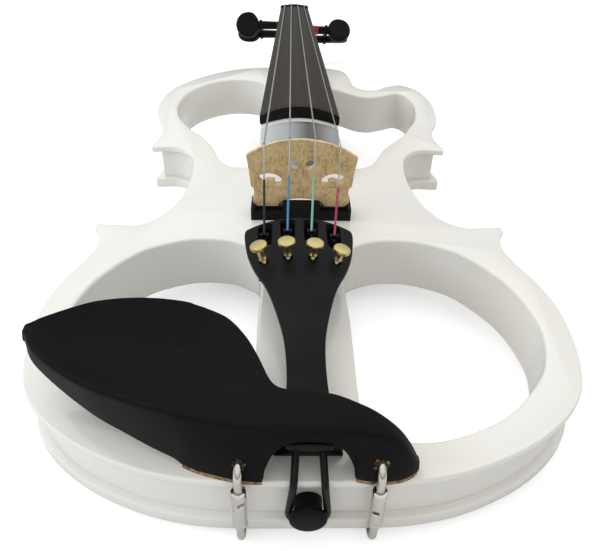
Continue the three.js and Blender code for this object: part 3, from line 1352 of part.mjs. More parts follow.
const panelLow = PANEL_CENTRE - PANEL_HEIGHT / 2;
const panelHigh = PANEL_CENTRE + PANEL_HEIGHT / 2;
const bayLow = panelLow + PANEL_LEDGE + DOOR_MARGIN;
const bayHigh = bayLow + BATTERY_WIDTH + 2 * SEAT_GAP;
const bayHalf = BATTERY_LENGTH / 2 + SEAT_GAP;
const knobLine = (bayHigh + panelHigh) / 2;
const knobX = (way) => way * KNOB_SPACING / 2;

function controlPanel() {
  const half = PANEL_LENGTH / 2;
  const plateSolid = box([-half, panelLow, 0], [half, panelHigh, PANEL_THICK]);
  const bay = box([-bayHalf, bayLow, -OVERRUN], [bayHalf, bayHigh, PANEL_THICK + OVERRUN]);
  const rebate = box(
    [-bayHalf - DOOR_MARGIN, bayLow - DOOR_MARGIN, -OVERRUN],
    [bayHalf + DOOR_MARGIN, bayHigh + DOOR_MARGIN, DOOR_THICK + SEAT_GAP]);
  const holes = [-1, 1].map((way) => rod(
    [knobX(way), knobLine, -OVERRUN], [knobX(way), knobLine, PANEL_THICK + OVERRUN],
    KNOB_SHAFT + TURN_GAP));
  return cutBy(plateSolid, bay, rebate, ...holes);
}

function batteryDoor() {
  const half = bayHalf + DOOR_MARGIN - SEAT_GAP;
  const low = bayLow - DOOR_MARGIN + SEAT_GAP;
  const high = bayHigh + DOOR_MARGIN - SEAT_GAP;
  const leaf = box([-half, low + HINGE_PIN, 0], [half, high, DOOR_THICK]);
  const axis = low + HINGE_PIN;
  const pin = rod([-half, axis, HINGE_PIN], [half, axis, HINGE_PIN], HINGE_PIN - WELD, 12);
  return joined(leaf, pin);
}

function battery() {
  const low = PANEL_THICK + SEAT_GAP;
  const clear = SEAT_GAP;
  return box(
    [-BATTERY_LENGTH / 2, bayLow + clear, low],
    [BATTERY_LENGTH / 2, bayLow + clear + BATTERY_WIDTH, low + BATTERY_THICK]);
}

function preampBoard() {
  const low = PANEL_THICK + SEAT_GAP + PREAMP_ABOVE_PANEL;
  const half = PANEL_LENGTH / 2 - PANEL_LEDGE;
  const high = [PREAMP_REACH, panelHigh - PANEL_LEDGE, low + PREAMP_THICK];
  return box([-half + SEAT_GAP, bayHigh + SEAT_GAP, low], high);
}

function knob(way) {
  const shaftTop = PANEL_THICK + PREAMP_ABOVE_PANEL;
  const low = -KNOB_RISE - SEAT_GAP;
  const geometry = revolved([
    [0, low], [KNOB_RADIUS - KNOB_ROUND, low], [KNOB_RADIUS, low + KNOB_ROUND],
    [KNOB_RADIUS, -SEAT_GAP], [KNOB_SHAFT, -SEAT_GAP], [KNOB_SHAFT, shaftTop], [0, shaftTop],
  ], 20);
  geometry.rotateX(Math.PI / 2);
  geometry.translate(knobX(way), knobLine, 0);
  const solid = toSolid(geometry);
  const pointer = box(
    [knobX(way) - KNOB_GROOVE, knobLine + KNOB_RADIUS / 4, low - OVERRUN],
    [knobX(way) + KNOB_GROOVE, knobLine + KNOB_RADIUS + OVERRUN, low + KNOB_GROOVE]);
  return cutBy(solid, pointer);
}

function outputJack() {
  const face = ribAtWaist + SEAT_GAP;
  const inner = face - JACK_LENGTH;
  const geometry = revolved([
    [JACK_BORE, inner], [JACK_BARREL, inner], [JACK_BARREL, face], [JACK_RING, face],
    [JACK_RING, face + JACK_RING_THICK - JACK_ROUND], [JACK_RING - JACK_ROUND, face + JACK_RING_THICK],
    [JACK_BORE, face + JACK_RING_THICK], [JACK_BORE, inner],
  ], 20);
  geometry.rotateZ(-Math.PI / 2);
  geometry.translate(0, JACK_LINE, JACK_HEIGHT);
  return toSolid(geometry);
}

function silkWrap() {
  const [, y, z] = pegAt('e');
  const start = PEGBOX_WIDE / 2 + SILK_WRAP_OFF;
  const inner = pegRadius(start + SILK_WRAP_LENGTH) + SEAT_GAP;
  const geometry = revolved([
    [inner, start], [inner + SILK_WRAP_THICK, start], [inner + SILK_WRAP_THICK, start + SILK_WRAP_LENGTH],
    [inner, start + SILK_WRAP_LENGTH], [inner, start],
  ], PEG_FACETS);
  geometry.rotateZ(-Math.PI / 2);
  geometry.translate(0, y, z);
  return toSolid(geometry);
}

// Assembly

const instrument = new THREE.Group();

function addPiece(name, solid, finish) {
  const mesh = new THREE.Mesh(toGeometry(solid), new THREE.MeshStandardMaterial(finish));
  mesh.name = name;
  instrument.add(mesh);
}

addPiece('body_frame', bodyFrame(), PAINT);
addPiece('neck', neck(), PAINT);
addPiece('fingerboard', fingerboard(), BOARD_WOOD);
addPiece('nut', nut(), EBONY);
addPiece('bridge', bridge(), MAPLE);
addPiece('pickup_tray', pickupTray(), PLASTIC);
addPiece('piezo_strip', piezoStrip(), STEEL);
addPiece('tailpiece', tailpiece(), PLASTIC);
addPiece('saddle', saddle(), EBONY);
addPiece('tail_gut', tailGut(), GUT);
addPiece('end_button', endButton(), EBONY);
addPiece('chinrest', chinrest(), EBONY);

for (const name of STRING_NAMES) {
  addPiece(`peg_${name}`, peg(name), EBONY);
  const turns = windingPoints(name);
  const gap = leastGap(turns, WINDING_WIRE, WINDING_STEPS / 2);
  console.log(`winding_${name}: least gap to itself ${gap.toFixed(2)} mm`);
  addPiece(`winding_${name}`, tube(turns, WINDING_WIRE, WINDING_SIDES), STEEL);
  addPiece(`string_${name}`, stringLine(name), STEEL);
  addPiece(`silk_${name}`, silkLine(name), { color: SILK_COLOURS[name], roughness: 0.7, metalness: 0 });
  addPiece(`tuner_head_${name}`, tunerHead(name), GOLD);
  addPiece(`tuner_shank_${name}`, tunerShank(name), GOLD);
  addPiece(`tuner_lever_${name}`, tunerLever(name), STEEL);
}

addPiece('peg_e_silk_wrap', silkWrap(), { color: SILK_COLOURS.e, roughness: 0.7, metalness: 0 });

for (const [side, way] of [['bass', -1], ['treble', 1]]) {
  addPiece(`chinrest_cork_${side}`, chinCork(side), CORK);
  addPiece(`clamp_hook_${side}`, upperHook(way), CHROME);
  addPiece(`clamp_barrel_${side}`, barrel(way), CHROME);
  addPiece(`clamp_foot_${side}`, lowerFoot(way), CHROME);
  addPiece(`clamp_foot_cork_${side}`, footCork(way), CORK);
}

addPiece('control_panel', controlPanel(), PLASTIC);
addPiece('battery_door', batteryDoor(), PLASTIC);
addPiece('battery', battery(), PLASTIC);
addPiece('preamp_board', preampBoard(), BOARD_GREEN);
addPiece('volume_knob', knob(-1), PLASTIC);
addPiece('tone_knob', knob(1), PLASTIC);
addPiece('output_jack', outputJack(), CHROME);

// Laid down: the clamp feet and the scroll touch the floor, and the box is centred over the origin
const scrollCentre = new THREE.Vector3(...inBox(0, ...SCROLL_CENTRE));
const fromFoot = Math.hypot(scrollCentre.y, scrollCentre.z - footLow);
const layAngle = Math.asin(SCROLL_RADIUS / fromFoot) - Math.atan2(scrollCentre.z - footLow, scrollCentre.y);
instrument.rotation.x = layAngle;
instrument.updateMatrixWorld(true);
const bounds = new THREE.Box3().setFromObject(instrument, true);
const middle = bounds.getCenter(new THREE.Vector3());
instrument.position.set(-middle.x, -middle.y, -bounds.min.z);

const violin = new THREE.Group();
violin.add(instrument);
export default violin;
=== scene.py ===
"""A white open-frame electric violin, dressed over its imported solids.

The pieces are modelled in millimetres in the body's own frame: +X to the treble side, +Y from the tail
to the scroll and +Z out of the top, with zero at the tail's edge in the plane of the back. Each finished
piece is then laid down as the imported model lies, in metres.
"""
import json
import logging
import math
from dataclasses import dataclass, field
from enum import Enum
from typing import Iterable, Sequence

import bpy
from mathutils import Matrix, Vector
from mathutils.geometry import intersect_line_line_2d


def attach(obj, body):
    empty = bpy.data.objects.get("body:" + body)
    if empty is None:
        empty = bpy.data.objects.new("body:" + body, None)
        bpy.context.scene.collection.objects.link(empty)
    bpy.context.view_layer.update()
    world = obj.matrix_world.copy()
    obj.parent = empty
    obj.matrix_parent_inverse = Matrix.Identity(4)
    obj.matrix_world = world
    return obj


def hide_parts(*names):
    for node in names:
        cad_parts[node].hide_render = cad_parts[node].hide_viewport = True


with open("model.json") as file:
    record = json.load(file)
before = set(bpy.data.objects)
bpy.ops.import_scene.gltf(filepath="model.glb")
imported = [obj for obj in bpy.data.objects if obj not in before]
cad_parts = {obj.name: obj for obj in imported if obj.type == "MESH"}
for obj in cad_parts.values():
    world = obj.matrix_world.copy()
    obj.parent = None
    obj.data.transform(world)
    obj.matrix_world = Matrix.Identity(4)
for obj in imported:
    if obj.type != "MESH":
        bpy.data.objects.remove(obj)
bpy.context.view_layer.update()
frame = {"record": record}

Point = tuple[float, float, float]
Flat = tuple[float, float]
Colour = tuple[float, float, float]

SEAT = 0.3
OVERRUN = 4.0
WELD = 0.002
MILLIMETRE = 0.001
HAIR = 0.05
BODY_LENGTH = 338.8
BODY_TOP = 25.5
BUTTON_HEIGHT = 12.7
JACK_LINE = 166.0
JACK_HEIGHT = 13.2
PANEL_LEDGE = 3.0
WHITE: tuple[float, float, float] = (0.855, 0.84, 0.8)

log = logging.getLogger("violin")


def lay_of(record: dict) -> Matrix:
    """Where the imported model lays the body's frame.

    Args:
        record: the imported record, whose treble shoulder rest face is on the back's plane.

    Returns:
        The matrix from millimetres in the body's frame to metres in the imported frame.
    """
    face = next(mount for mount in record["mounts"] if mount["name"] == "shoulder_rest_treble")
    down = Vector(face["axis"])
    turn = Matrix.Rotation(math.atan2(down.y, -down.z), 4, "X")
    offset = Vector(face["pos_m"]) - turn @ Vector((0.0939, 0.070, 0.0))
    return Matrix.Translation(offset) @ turn @ Matrix.Scale(MILLIMETRE, 4)


LAY = lay_of(frame["record"])


class StringName(Enum):
    """The four strings, from the bass side."""

    G = "g"
    D = "d"
    A = "a"
    E = "e"

    @property
    def spread(self) -> float:
        """Its place across the strings, from -0.5 to 0.5."""
        return list(StringName).index(self) / 3 - 0.5

    @property
    def peg_side(self) -> int:
        """1 where its peg's head is on the treble side, and -1 on the bass side."""
        return 1 if self in (StringName.A, StringName.E) else -1


class Side(Enum):
    """The two halves of the instrument."""

    BASS = -1
    TREBLE = 1

    @property
    def word(self) -> str:
        """The side's name in lower case, as the solids use it."""
        return self.name.lower()


# Lines and shapes


def lerp(start: float, end: float, share: float) -> float:
    """The value at a share of the way from start to end."""
    return start + (end - start) * share


def crown_drop(across: float, radius: float) -> float:
    """How far a crowned surface has fallen at a distance from its middle."""
    return radius - math.sqrt(max(0.0, radius * radius - across * across))


def mirrored(line: Sequence[Flat]) -> list[Flat]:
    """The same line on the other side, in reverse order so that it still runs the same way round."""
    return [(-x, y) for x, y in reversed(line)]


def signed_area(line: Sequence[Flat]) -> float:
    """A closed line's area, above zero where it runs counter-clockwise."""
    return sum(a[0] * b[1] - b[0] * a[1] for a, b in zip(line, [*line[1:], line[0]])) / 2


def flowing(points: Sequence[Sequence[float]], closed: bool, steps: int) -> list[tuple[float, ...]]:
    """A smooth line through all the points.

    Args:
        points: the points that it goes through, with any number of coordinates.
        closed: whether it goes back to its first point.
        steps: how many points it gets for each span.

    Returns:
        The points of the smooth line.
    """
    count = len(points)

    def at(index: int) -> Sequence[float]:
        """The point of an index, beyond the ends too.

        Args:
            index: which point.

        Returns:
            The point.
        """
        if closed:
            return points[index % count]
        if index < 0:
            return [2 * a - b for a, b in zip(points[0], points[1])]
        if index >= count:
            return [2 * a - b for a, b in zip(points[-1], points[-2])]
        return points[index]

    def apart(a: Sequence[float], b: Sequence[float]) -> float:
        """The knot distance between two points."""
        return max(1e-4, sum((p - q) ** 2 for p, q in zip(a, b)) ** 0.25)

    line = []
    for index in range(count if closed else count - 1):
        before, start, end, after = at(index - 1), at(index), at(index + 1), at(index + 2)
        first, middle, last = apart(before, start), apart(start, end), apart(end, after)
        for step in range(steps):
            share = step / steps
            point = []
            for w, x, y, z in zip(before, start, end, after):
                leave = ((x - w) / first - (y - w) / (first + middle) + (y - x) / middle) * middle
                arrive = ((y - x) / middle - (z - x) / (middle + last) + (z - y) / last) * middle
                cubic = 2 * x - 2 * y + leave + arrive
                square = -3 * x + 3 * y - 2 * leave - arrive
                point.append(x + leave * share + square * share ** 2 + cubic * share ** 3)
            line.append(tuple(point))
    if not closed:
        line.append(tuple(points[-1]))
    return line


def moved_in(line: Sequence[Flat], distance: float) -> list[Flat]:
    """A closed line, counter-clockwise, moved inwards.

    Args:
        line: its points.
        distance: how far it moves; a negative distance moves it outwards.

    Returns:
        As many points, each moved along its mitre.
    """
    out = []
    count = len(line)
    for index, (x, y) in enumerate(line):
        px, py = line[index - 1]
        nx, ny = line[(index + 1) % count]
        before = Vector((x - px, y - py)).normalized()
        after = Vector((nx - x, ny - y)).normalized()
        inward = Vector((-before.y - after.y, before.x + after.x))
        spread = max(0.5, 1 + before.dot(after))
        out.append((x + inward.x / spread * distance, y + inward.y / spread * distance))
    return out


def shifted(line: Sequence[Flat], distance: float) -> list[Flat]:
    """An open line moved to its left by a distance, point by point.

    Args:
        line: its points.
        distance: how far.

    Returns:
        As many points.
    """
    out = []
    for index, (x, y) in enumerate(line):
        before = Vector(line[max(index - 1, 0)])
        after = Vector(line[min(index + 1, len(line) - 1)])
        run = (after - before).normalized()
        out.append((x - run.y * distance, y + run.x * distance))
    return out


def trimmed(first: list[Flat], second: list[Flat]) -> tuple[list[Flat], list[Flat]]:
    """Two lines cut back to the point where they cross, or as they are where they don't.

    Args:
        first: the first line.
        second: the line that follows it.

    Returns:
        Both lines.
    """
    for i in range(len(first) - 2, -1, -1):
        for j in range(len(second) - 1):
            meet = intersect_line_line_2d(first[i], first[i + 1], second[j], second[j + 1])
            if meet:
                return [*first[:i + 1], tuple(meet)], second[j + 1:]
    return first, second


def rounded(polygon: Sequence[Point], radii: dict[int, float], steps: int = 4) -> list[Point]:
    """A closed polygon with some of its corners turned into arcs.

    Args:
        polygon: its points.
        radii: how far from a corner its arc starts, by the corner's index.
        steps: how many spans each arc has.

    Returns:
        The points of the rounded polygon.
    """
    out = []
    count = len(polygon)
    for index, corner in enumerate(polygon):
        if index not in radii:
            out.append(tuple(corner))
            continue
        here = Vector(corner)
        ends = []
        for other in (Vector(polygon[index - 1]), Vector(polygon[(index + 1) % count])):
            away = other - here
            reach = min(radii[index], away.length * 0.45)
            ends.append(here + away.normalized() * reach)
        for step in range(steps + 1):
            share = step / steps
            place = ends[0] * (1 - share) ** 2 + here * 2 * share * (1 - share) + ends[1] * share ** 2
            out.append(tuple(place))
    return out


def eased_corner(before: Point, bend: Point, after: Point, radius: float, steps: int = 8) -> list[Point]:
    """The arc that takes a rod round a bend, by its points.

    Args:
        before: a point of the rod before the bend.
        bend: where its two runs would meet.
        after: a point of the rod after the bend.
        radius: the bend's radius.
        steps: how many spans the arc has.

    Returns:
        The points of the arc.
    """
    here = Vector(bend)
    back = (Vector(before) - here).normalized()
    on = (Vector(after) - here).normalized()
    half = math.acos(max(-1.0, min(1.0, back.dot(on)))) / 2
    reach = radius / math.tan(half)
    centre = here + (back + on).normalized() * (radius / math.sin(half))
    start = here + back * reach - centre
    end = here + on * reach - centre
    whole = start.angle(end)
    return [
        tuple(centre + (start * math.sin((1 - k / steps) * whole) + end * math.sin(k / steps * whole))
              / math.sin(whole))
        for k in range(steps + 1)
    ]


def standing(origin: Point, up: Vector, zero: Vector | None = None) -> Matrix:
    """A matrix that stands a turned piece at a place.

    Args:
        origin: where its own zero goes.
        up: where its own +Z points.
        zero: where its own +X points, as near as it can.

    Returns:
        The matrix, in millimetres.
    """
    upward = up.normalized()
    aside = zero or (Vector((1, 0, 0)) if abs(upward.x) < 0.9 else Vector((0, 1, 0)))
    across = (aside - upward * aside.dot(upward)).normalized()
    beyond = upward.cross(across)
    turn = Matrix((across, beyond, upward)).transposed().to_4x4()
    return Matrix.Translation(Vector(origin)) @ turn


class Bench:
    """The modelling tools, used at the instrument's real size."""

    @staticmethod
    def pick(*objs: bpy.types.Object) -> None:
        """Only these objects are selected, in object mode, and the first is the active one.

        Args:
            objs: what is selected.
        """
        if bpy.context.mode != "OBJECT":
            bpy.ops.object.mode_set(mode="OBJECT")
        bpy.ops.object.select_all(action="DESELECT")
        for obj in objs:
            obj.select_set(True)
        bpy.context.view_layer.objects.active = objs[0] if objs else None

    @classmethod
    def edit(cls, obj: bpy.types.Object) -> None:
        """Edit mode on one object with all of it selected.

        Args:
            obj: the piece.
        """
        cls.pick(obj)
        bpy.ops.object.mode_set(mode="EDIT")
        bpy.ops.mesh.select_all(action="SELECT")

    @classmethod
    def close(cls, obj: bpy.types.Object, fill: bool = False) -> bpy.types.Object:
        """The piece with its doubles merged, its ends filled if asked, and its faces pointing out.

        Args:
            obj: the piece.
            fill: whether its open ends are filled.

        Returns:
            The piece.
        """
        cls.edit(obj)
        bpy.ops.mesh.remove_doubles(threshold=WELD)
        if fill:
            bpy.ops.mesh.fill_holes(sides=0)
        bpy.ops.mesh.select_all(action="SELECT")
        bpy.ops.mesh.normals_make_consistent(inside=False)
        bpy.ops.object.mode_set(mode="OBJECT")
        return obj

    @classmethod
    def skin(cls, name: str, rows: Sequence[Sequence[Point]]) -> bpy.types.Object:
        """A closed sleeve drawn over rings of points.

        Args:
            name: the piece's name.
            rows: the rings, each with as many points.

        Returns:
            The piece.
        """
        cls.pick()
        across = len(rows[0])
        bpy.ops.mesh.primitive_grid_add(x_subdivisions=across, y_subdivisions=len(rows) - 1, size=2)
        obj = bpy.context.object
        obj.name = name
        places = [point for row in rows for point in (*row, row[0])]
        obj.data.vertices.foreach_set("co", [value for point in places for value in point])
        return cls.close(obj, fill=True)

    @classmethod
    def stack(cls, name: str, line: Sequence[Flat], profile: Sequence[Flat]) -> bpy.types.Object:
        """A solid whose outline moves in and out with its height.

        Args:
            name: the piece's name.
            line: the outline, counter-clockwise from above.
            profile: pairs of a distance inwards and a height, from the bottom up.

        Returns:
            The piece.
        """
        rings = [[(x, y, height) for x, y in moved_in(line, inset)] for inset, height in profile]
        return cls.skin(name, rings)

    @classmethod
    def turned(cls, name: str, profile: Sequence[Flat], place: Matrix, sides: int = 48) -> bpy.types.Object:
        """A piece turned on the lathe.

        Args:
            name: the piece's name.
            profile: a closed line of radius and height.
            place: the matrix that stands it in its place.
            sides: how many steps a turn has.

        Returns:
            The piece.
        """
        cls.pick()
        bpy.ops.mesh.primitive_circle_add(vertices=len(profile), radius=1)
        obj = bpy.context.object
        obj.name = name
        for vertex, (radius, height) in zip(obj.data.vertices, profile):
            vertex.co = (radius, 0, height)
        cls.edit(obj)
        bpy.ops.mesh.spin(steps=sides, angle=2 * math.pi, center=(0, 0, 0), axis=(0, 0, 1))
        cls.close(obj)
        obj.data.transform(place)
        return obj

    @classmethod
    def fluted(
        cls, name: str, rings: Sequence[tuple[float, float, float]], teeth: int, place: Matrix,
    ) -> bpy.types.Object:
        """A turned piece whose rim is knurled.

        Args:
            name: the piece's name.
            rings: the radius, the height and the depth of the flutes of each ring, from the bottom up.
            teeth: how many flutes go round.
            place: the matrix that stands it in its place.

        Returns:
            The piece.
        """
        count = teeth * 6
        rows = []
        for radius, height, deep in rings:
            row = []
            for k in range(count):
                angle = k / count * 2 * math.pi
                reach = radius - deep * (1 - math.cos(teeth * angle)) / 2
                row.append((reach * math.cos(angle), reach * math.sin(angle), height))
            rows.append(row)
        obj = cls.skin(name, rows)
        obj.data.transform(place)
        return obj

    @classmethod
    def tube(cls, name: str, points: Sequence[Point], radius: float, sides: int = 20) -> bpy.types.Object:
        """A round rod along a line of points, closed at its ends.

        Args:
            name: the piece's name.
            points: its centre line.
            radius: its radius.
            sides: about how many sides it has.

        Returns:
            The piece.
        """
        curve = bpy.data.curves.new(name, "CURVE")
        curve.dimensions = "3D"
        curve.bevel_depth = radius
        curve.bevel_resolution = sides // 2 - 2
        curve.use_fill_caps = True
        spline = curve.splines.new("POLY")
        spline.points.add(len(points) - 1)
        for place, point in zip(spline.points, points):
            place.co = (*point, 1)
        obj = bpy.data.objects.new(name, curve)
        bpy.context.collection.objects.link(obj)
        cls.pick(obj)
        bpy.ops.object.convert(target="MESH")
        return cls.close(bpy.context.object)

    @classmethod
    def sheet(
        cls, name: str, line: Sequence[Flat], holes: Iterable[Sequence[Flat]], thickness: float,
        edge: float, place: Matrix,
    ) -> bpy.types.Object:
        """A flat piece with holes and rounded edges.

        Args:
            name: the piece's name.
            line: its outline, counter-clockwise.
            holes: the outlines of its holes, clockwise.
            thickness: how thick it is.
            edge: the radius of its edges.
            place: the matrix from its own plane to its place.

        Returns:
            The piece.
        """
        curve = bpy.data.curves.new(name, "CURVE")
        curve.dimensions = "2D"
        curve.fill_mode = "BOTH"
        curve.extrude = thickness / 2 - edge
        curve.bevel_depth = edge
        curve.bevel_resolution = 3
        for outline in (line, *holes):
            spline = curve.splines.new("POLY")
            spline.points.add(len(outline) - 1)
            spline.use_cyclic_u = True
            for point, (x, y) in zip(spline.points, moved_in(outline, edge)):
                point.co = (x, y, 0, 1)
        obj = bpy.data.objects.new(name, curve)
        bpy.context.collection.objects.link(obj)
        cls.pick(obj)
        bpy.ops.object.convert(target="MESH")
        obj = cls.close(bpy.context.object)
        obj.data.transform(place)
        return obj

    @classmethod
    def block(
        cls, name: str, low: Point, high: Point, edge: float = 0.0, segments: int = 3,
    ) -> bpy.types.Object:
        """A block between two corners, with its edges rounded.

        Args:
            name: the piece's name.
            low: its lowest corner.
            high: its highest corner.
            edge: the radius of its edges.
            segments: how many spans an edge has.

        Returns:
            The piece.
        """
        cls.pick()
        middle = (Vector(low) + Vector(high)) / 2
        bpy.ops.mesh.primitive_cube_add(size=1, location=middle, scale=Vector(high) - Vector(low))
        obj = bpy.context.object
        obj.name = name
        bpy.ops.object.transform_apply(location=True, rotation=True, scale=True)
        return cls.round_edges(obj, edge, segments) if edge else obj

    @classmethod
    def apply(cls, obj: bpy.types.Object, kind: str, **settings: object) -> bpy.types.Object:
        """The piece with one modifier applied.

        Args:
            obj: the piece.
            kind: the modifier's type.
            settings: the modifier's settings.

        Returns:
            The piece.
        """
        modifier = obj.modifiers.new(kind.title(), kind)
        for name, value in settings.items():
            setattr(modifier, name, value)
        cls.pick(obj)
        bpy.ops.object.modifier_apply(modifier=modifier.name)
        return obj

    @classmethod
    def join(cls, obj: bpy.types.Object, *others: bpy.types.Object) -> bpy.types.Object:
        """The piece with others grown into it."""
        return cls._combine(obj, others, "UNION")

    @classmethod
    def cut(cls, obj: bpy.types.Object, *tools: bpy.types.Object) -> bpy.types.Object:
        """The piece with tools' shapes cut out of it."""
        return cls._combine(obj, tools, "DIFFERENCE")

    @classmethod
    def _combine(
        cls, obj: bpy.types.Object, others: Iterable[bpy.types.Object], operation: str,
    ) -> bpy.types.Object:
        """The piece after one Boolean for each other object, which is then removed.

        Args:
            obj: the piece.
            others: what is added or taken away.
            operation: the Boolean's operation.

        Returns:
            The piece.
        """
        for other in others:
            cls.apply(obj, "BOOLEAN", object=other, operation=operation, solver="MANIFOLD")
            bpy.data.objects.remove(other, do_unlink=True)
        return obj

    @classmethod
    def round_edges(
        cls, obj: bpy.types.Object, width: float, segments: int = 3, angle: float = 35.0,
    ) -> bpy.types.Object:
        """The piece with its sharp edges rounded.

        Args:
            obj: the piece.
            width: how wide the rounding is.
            segments: how many spans an edge has.
            angle: the least turn, in degrees, of an edge that is rounded.

        Returns:
            The piece.
        """
        return cls.apply(
            obj, "BEVEL", width=width, segments=segments, limit_method="ANGLE",
            angle_limit=math.radians(angle), use_clamp_overlap=True, miter_outer="MITER_ARC",
        )

    @classmethod
    def paint(cls, obj: bpy.types.Object, *finishes: "Finish") -> bpy.types.Object:
        """The piece with these materials, and all of its faces in the first.

        Args:
            obj: the piece.
            finishes: its finishes.

        Returns:
            The piece.
        """
        obj.data.materials.clear()
        for finish in finishes:
            obj.data.materials.append(finish.material)
        obj.data.polygons.foreach_set("material_index", [0] * len(obj.data.polygons))
        return obj

    @classmethod
    def finish(
        cls, obj: bpy.types.Object, finish: "Finish", body: str, slot: str, *nodes: str,
        angle: float = 32.0,
    ) -> bpy.types.Object:
        """Lays the piece down and hands it over.

        Args:
            obj: the piece, in millimetres in the body's frame.
            finish: what it is finished in, unless it was painted before.
            body: the body that it rides on.
            slot: the record's material slot for the piece; not used.
            nodes: the solids that it stands for.
            angle: the sharpest turn, in degrees, that is still smooth.

        Returns:
            The piece.
        """
        obj.data.transform(LAY)
        cls.pick(obj)
        bpy.ops.object.shade_smooth_by_angle(angle=math.radians(angle))
        if not any(obj.data.materials):
            cls.paint(obj, finish)
        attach(obj, body)
        if nodes:
            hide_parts(*nodes)
        log.info("%s: %d faces on %s", obj.name, len(obj.data.polygons), body)
        return obj


# Finishes


class Channel:
    """One output of a material's nodes, which can be added, multiplied and so on."""

    def __init__(self, tree: bpy.types.NodeTree, socket: bpy.types.NodeSocket) -> None:
        """Keeps the tree and the socket."""
        self.tree = tree
        self.socket = socket

    def _maths(self, operation: str, first: "Channel | float", second: "Channel | float") -> "Channel":
        """One Math node on two values.

        Args:
            operation: the node's operation.
            first: the first value.
            second: the second value.

        Returns:
            The node's output.
        """
        node = self.tree.nodes.new("ShaderNodeMath")
        node.operation = operation
        for socket, value in zip(node.inputs, (first, second)):
            if isinstance(value, Channel):
                self.tree.links.new(value.socket, socket)
            else:
                socket.default_value = value
        return Channel(self.tree, node.outputs[0])

    def __add__(self, other: "Channel | float") -> "Channel":
        """The sum."""
        return self._maths("ADD", self, other)

    __radd__ = __add__

    def __mul__(self, other: "Channel | float") -> "Channel":
        """The product."""
        return self._maths("MULTIPLY", self, other)

    __rmul__ = __mul__

    def __sub__(self, other: "Channel | float") -> "Channel":
        """The difference."""
        return self._maths("SUBTRACT", self, other)

    def __rsub__(self, other: "Channel | float") -> "Channel":
        """The difference the other way round."""
        return self._maths("SUBTRACT", other, self)

    def over(self, edge: float, width: float) -> "Channel":
        """From 0 to 1 as the value rises through an edge of some width.

        Args:
            edge: the value in the middle of the edge.
            width: how wide the edge is.

        Returns:
            The share.
        """
        node = self.tree.nodes.new("ShaderNodeMapRange")
        node.interpolation_type = "SMOOTHSTEP"
        self.tree.links.new(self.socket, node.inputs["Value"])
        node.inputs["From Min"].default_value = edge - width / 2
        node.inputs["From Max"].default_value = edge + width / 2
        return Channel(self.tree, node.outputs["Result"])


class Mixer:
    """A material while its nodes are put together."""

    def __init__(self, name: str, **fixed: object) -> None:
        """A new material whose shader has some fixed values.

        Args:
            name: the material's name.
            fixed: values of the shader's own sockets, with underscores for their spaces.
        """
        self.material = bpy.data.materials.new(name)
        self.material.use_nodes = True
        self.tree = self.material.node_tree
        self.shader = self.tree.nodes["Principled BSDF"]
        for key, value in fixed.items():
            self.set(key.replace("_", " ").title().replace("Ior", "IOR"), value)

    def set(self, socket: str, value: object) -> None:
        """Sets or links one of the shader's sockets.

        Args:
            socket: the socket's name.
            value: a number, a colour or another node's output.
        """
        target = self.shader.inputs[socket]
        if isinstance(value, Channel):
            self.tree.links.new(value.socket, target)
        elif isinstance(value, tuple):
            target.default_value = (*value, 1.0) if len(value) == 3 else value
        else:
            target.default_value = value

    def node(self, kind: str, output: str | int = 0, settings: dict | None = None, **inputs: object) -> Channel:
        """Any other node.

        Args:
            kind: the node's type, without its common first word.
            output: which output is wanted.
            settings: the node's own settings, set before its sockets.
            inputs: values or links of its sockets, with underscores for their spaces.

        Returns:
            The wanted output.
        """
        node = self.tree.nodes.new(f"ShaderNode{kind}")
        for key, value in (settings or {}).items():
            if key == "stops":
                self._stops(node.color_ramp, value)
            else:
                setattr(node, key, value)
        for key, value in inputs.items():
            socket = node.inputs[int(key[1:])] if key[1:].isdigit() else node.inputs[key.replace("_", " ")]
            if isinstance(value, Channel):
                self.tree.links.new(value.socket, socket)
            elif isinstance(value, tuple) and socket.type == "RGBA":
                socket.default_value = (*value, 1.0)
            else:
                socket.default_value = value
        return Channel(self.tree, node.outputs[output])

    @staticmethod
    def _stops(ramp: bpy.types.ColorRamp, stops: Sequence[tuple[float, Colour]]) -> None:
        """Sets a ramp's stops.

        Args:
            ramp: the ramp.
            stops: places with their colours, in order.
        """
        while len(ramp.elements) < len(stops):
            ramp.elements.new(0.5)
        for element, (place, colour) in zip(ramp.elements, stops):
            element.position = place
            element.color = (*colour, 1.0)

    def place(self, scale: Point = (1, 1, 1)) -> Channel:
        """The piece's own coordinates in metres, stretched."""
        return self.node("Mapping", Vector=self.node("TexCoord", "Object"), Scale=scale)

    def noise(self, where: Channel, scale: float, detail: float = 3.0, roughness: float = 0.5) -> Channel:
        """Cloudy noise from 0 to 1."""
        return self.node("TexNoise", 0, Vector=where, Scale=scale, Detail=detail, Roughness=roughness)

    def ramp(self, value: Channel, *stops: tuple[float, Colour]) -> Channel:
        """Colours along a value."""
        return self.node("ValToRGB", 0, {"stops": stops}, Fac=value)

    def blend(self, share: Channel, first: Channel | Colour, second: Channel | Colour) -> Channel:
        """A mix of two colours."""
        return self.node("Mix", 2, {"data_type": "RGBA"}, _0=share, _6=first, _7=second)

    def bump(self, height: Channel, depth: float, strength: float = 1.0) -> None:
        """A height that tilts the surface, with its depth in metres."""
        normal = self.node("Bump", 0, Height=height, Distance=depth, Strength=strength)
        self.set("Normal", normal)


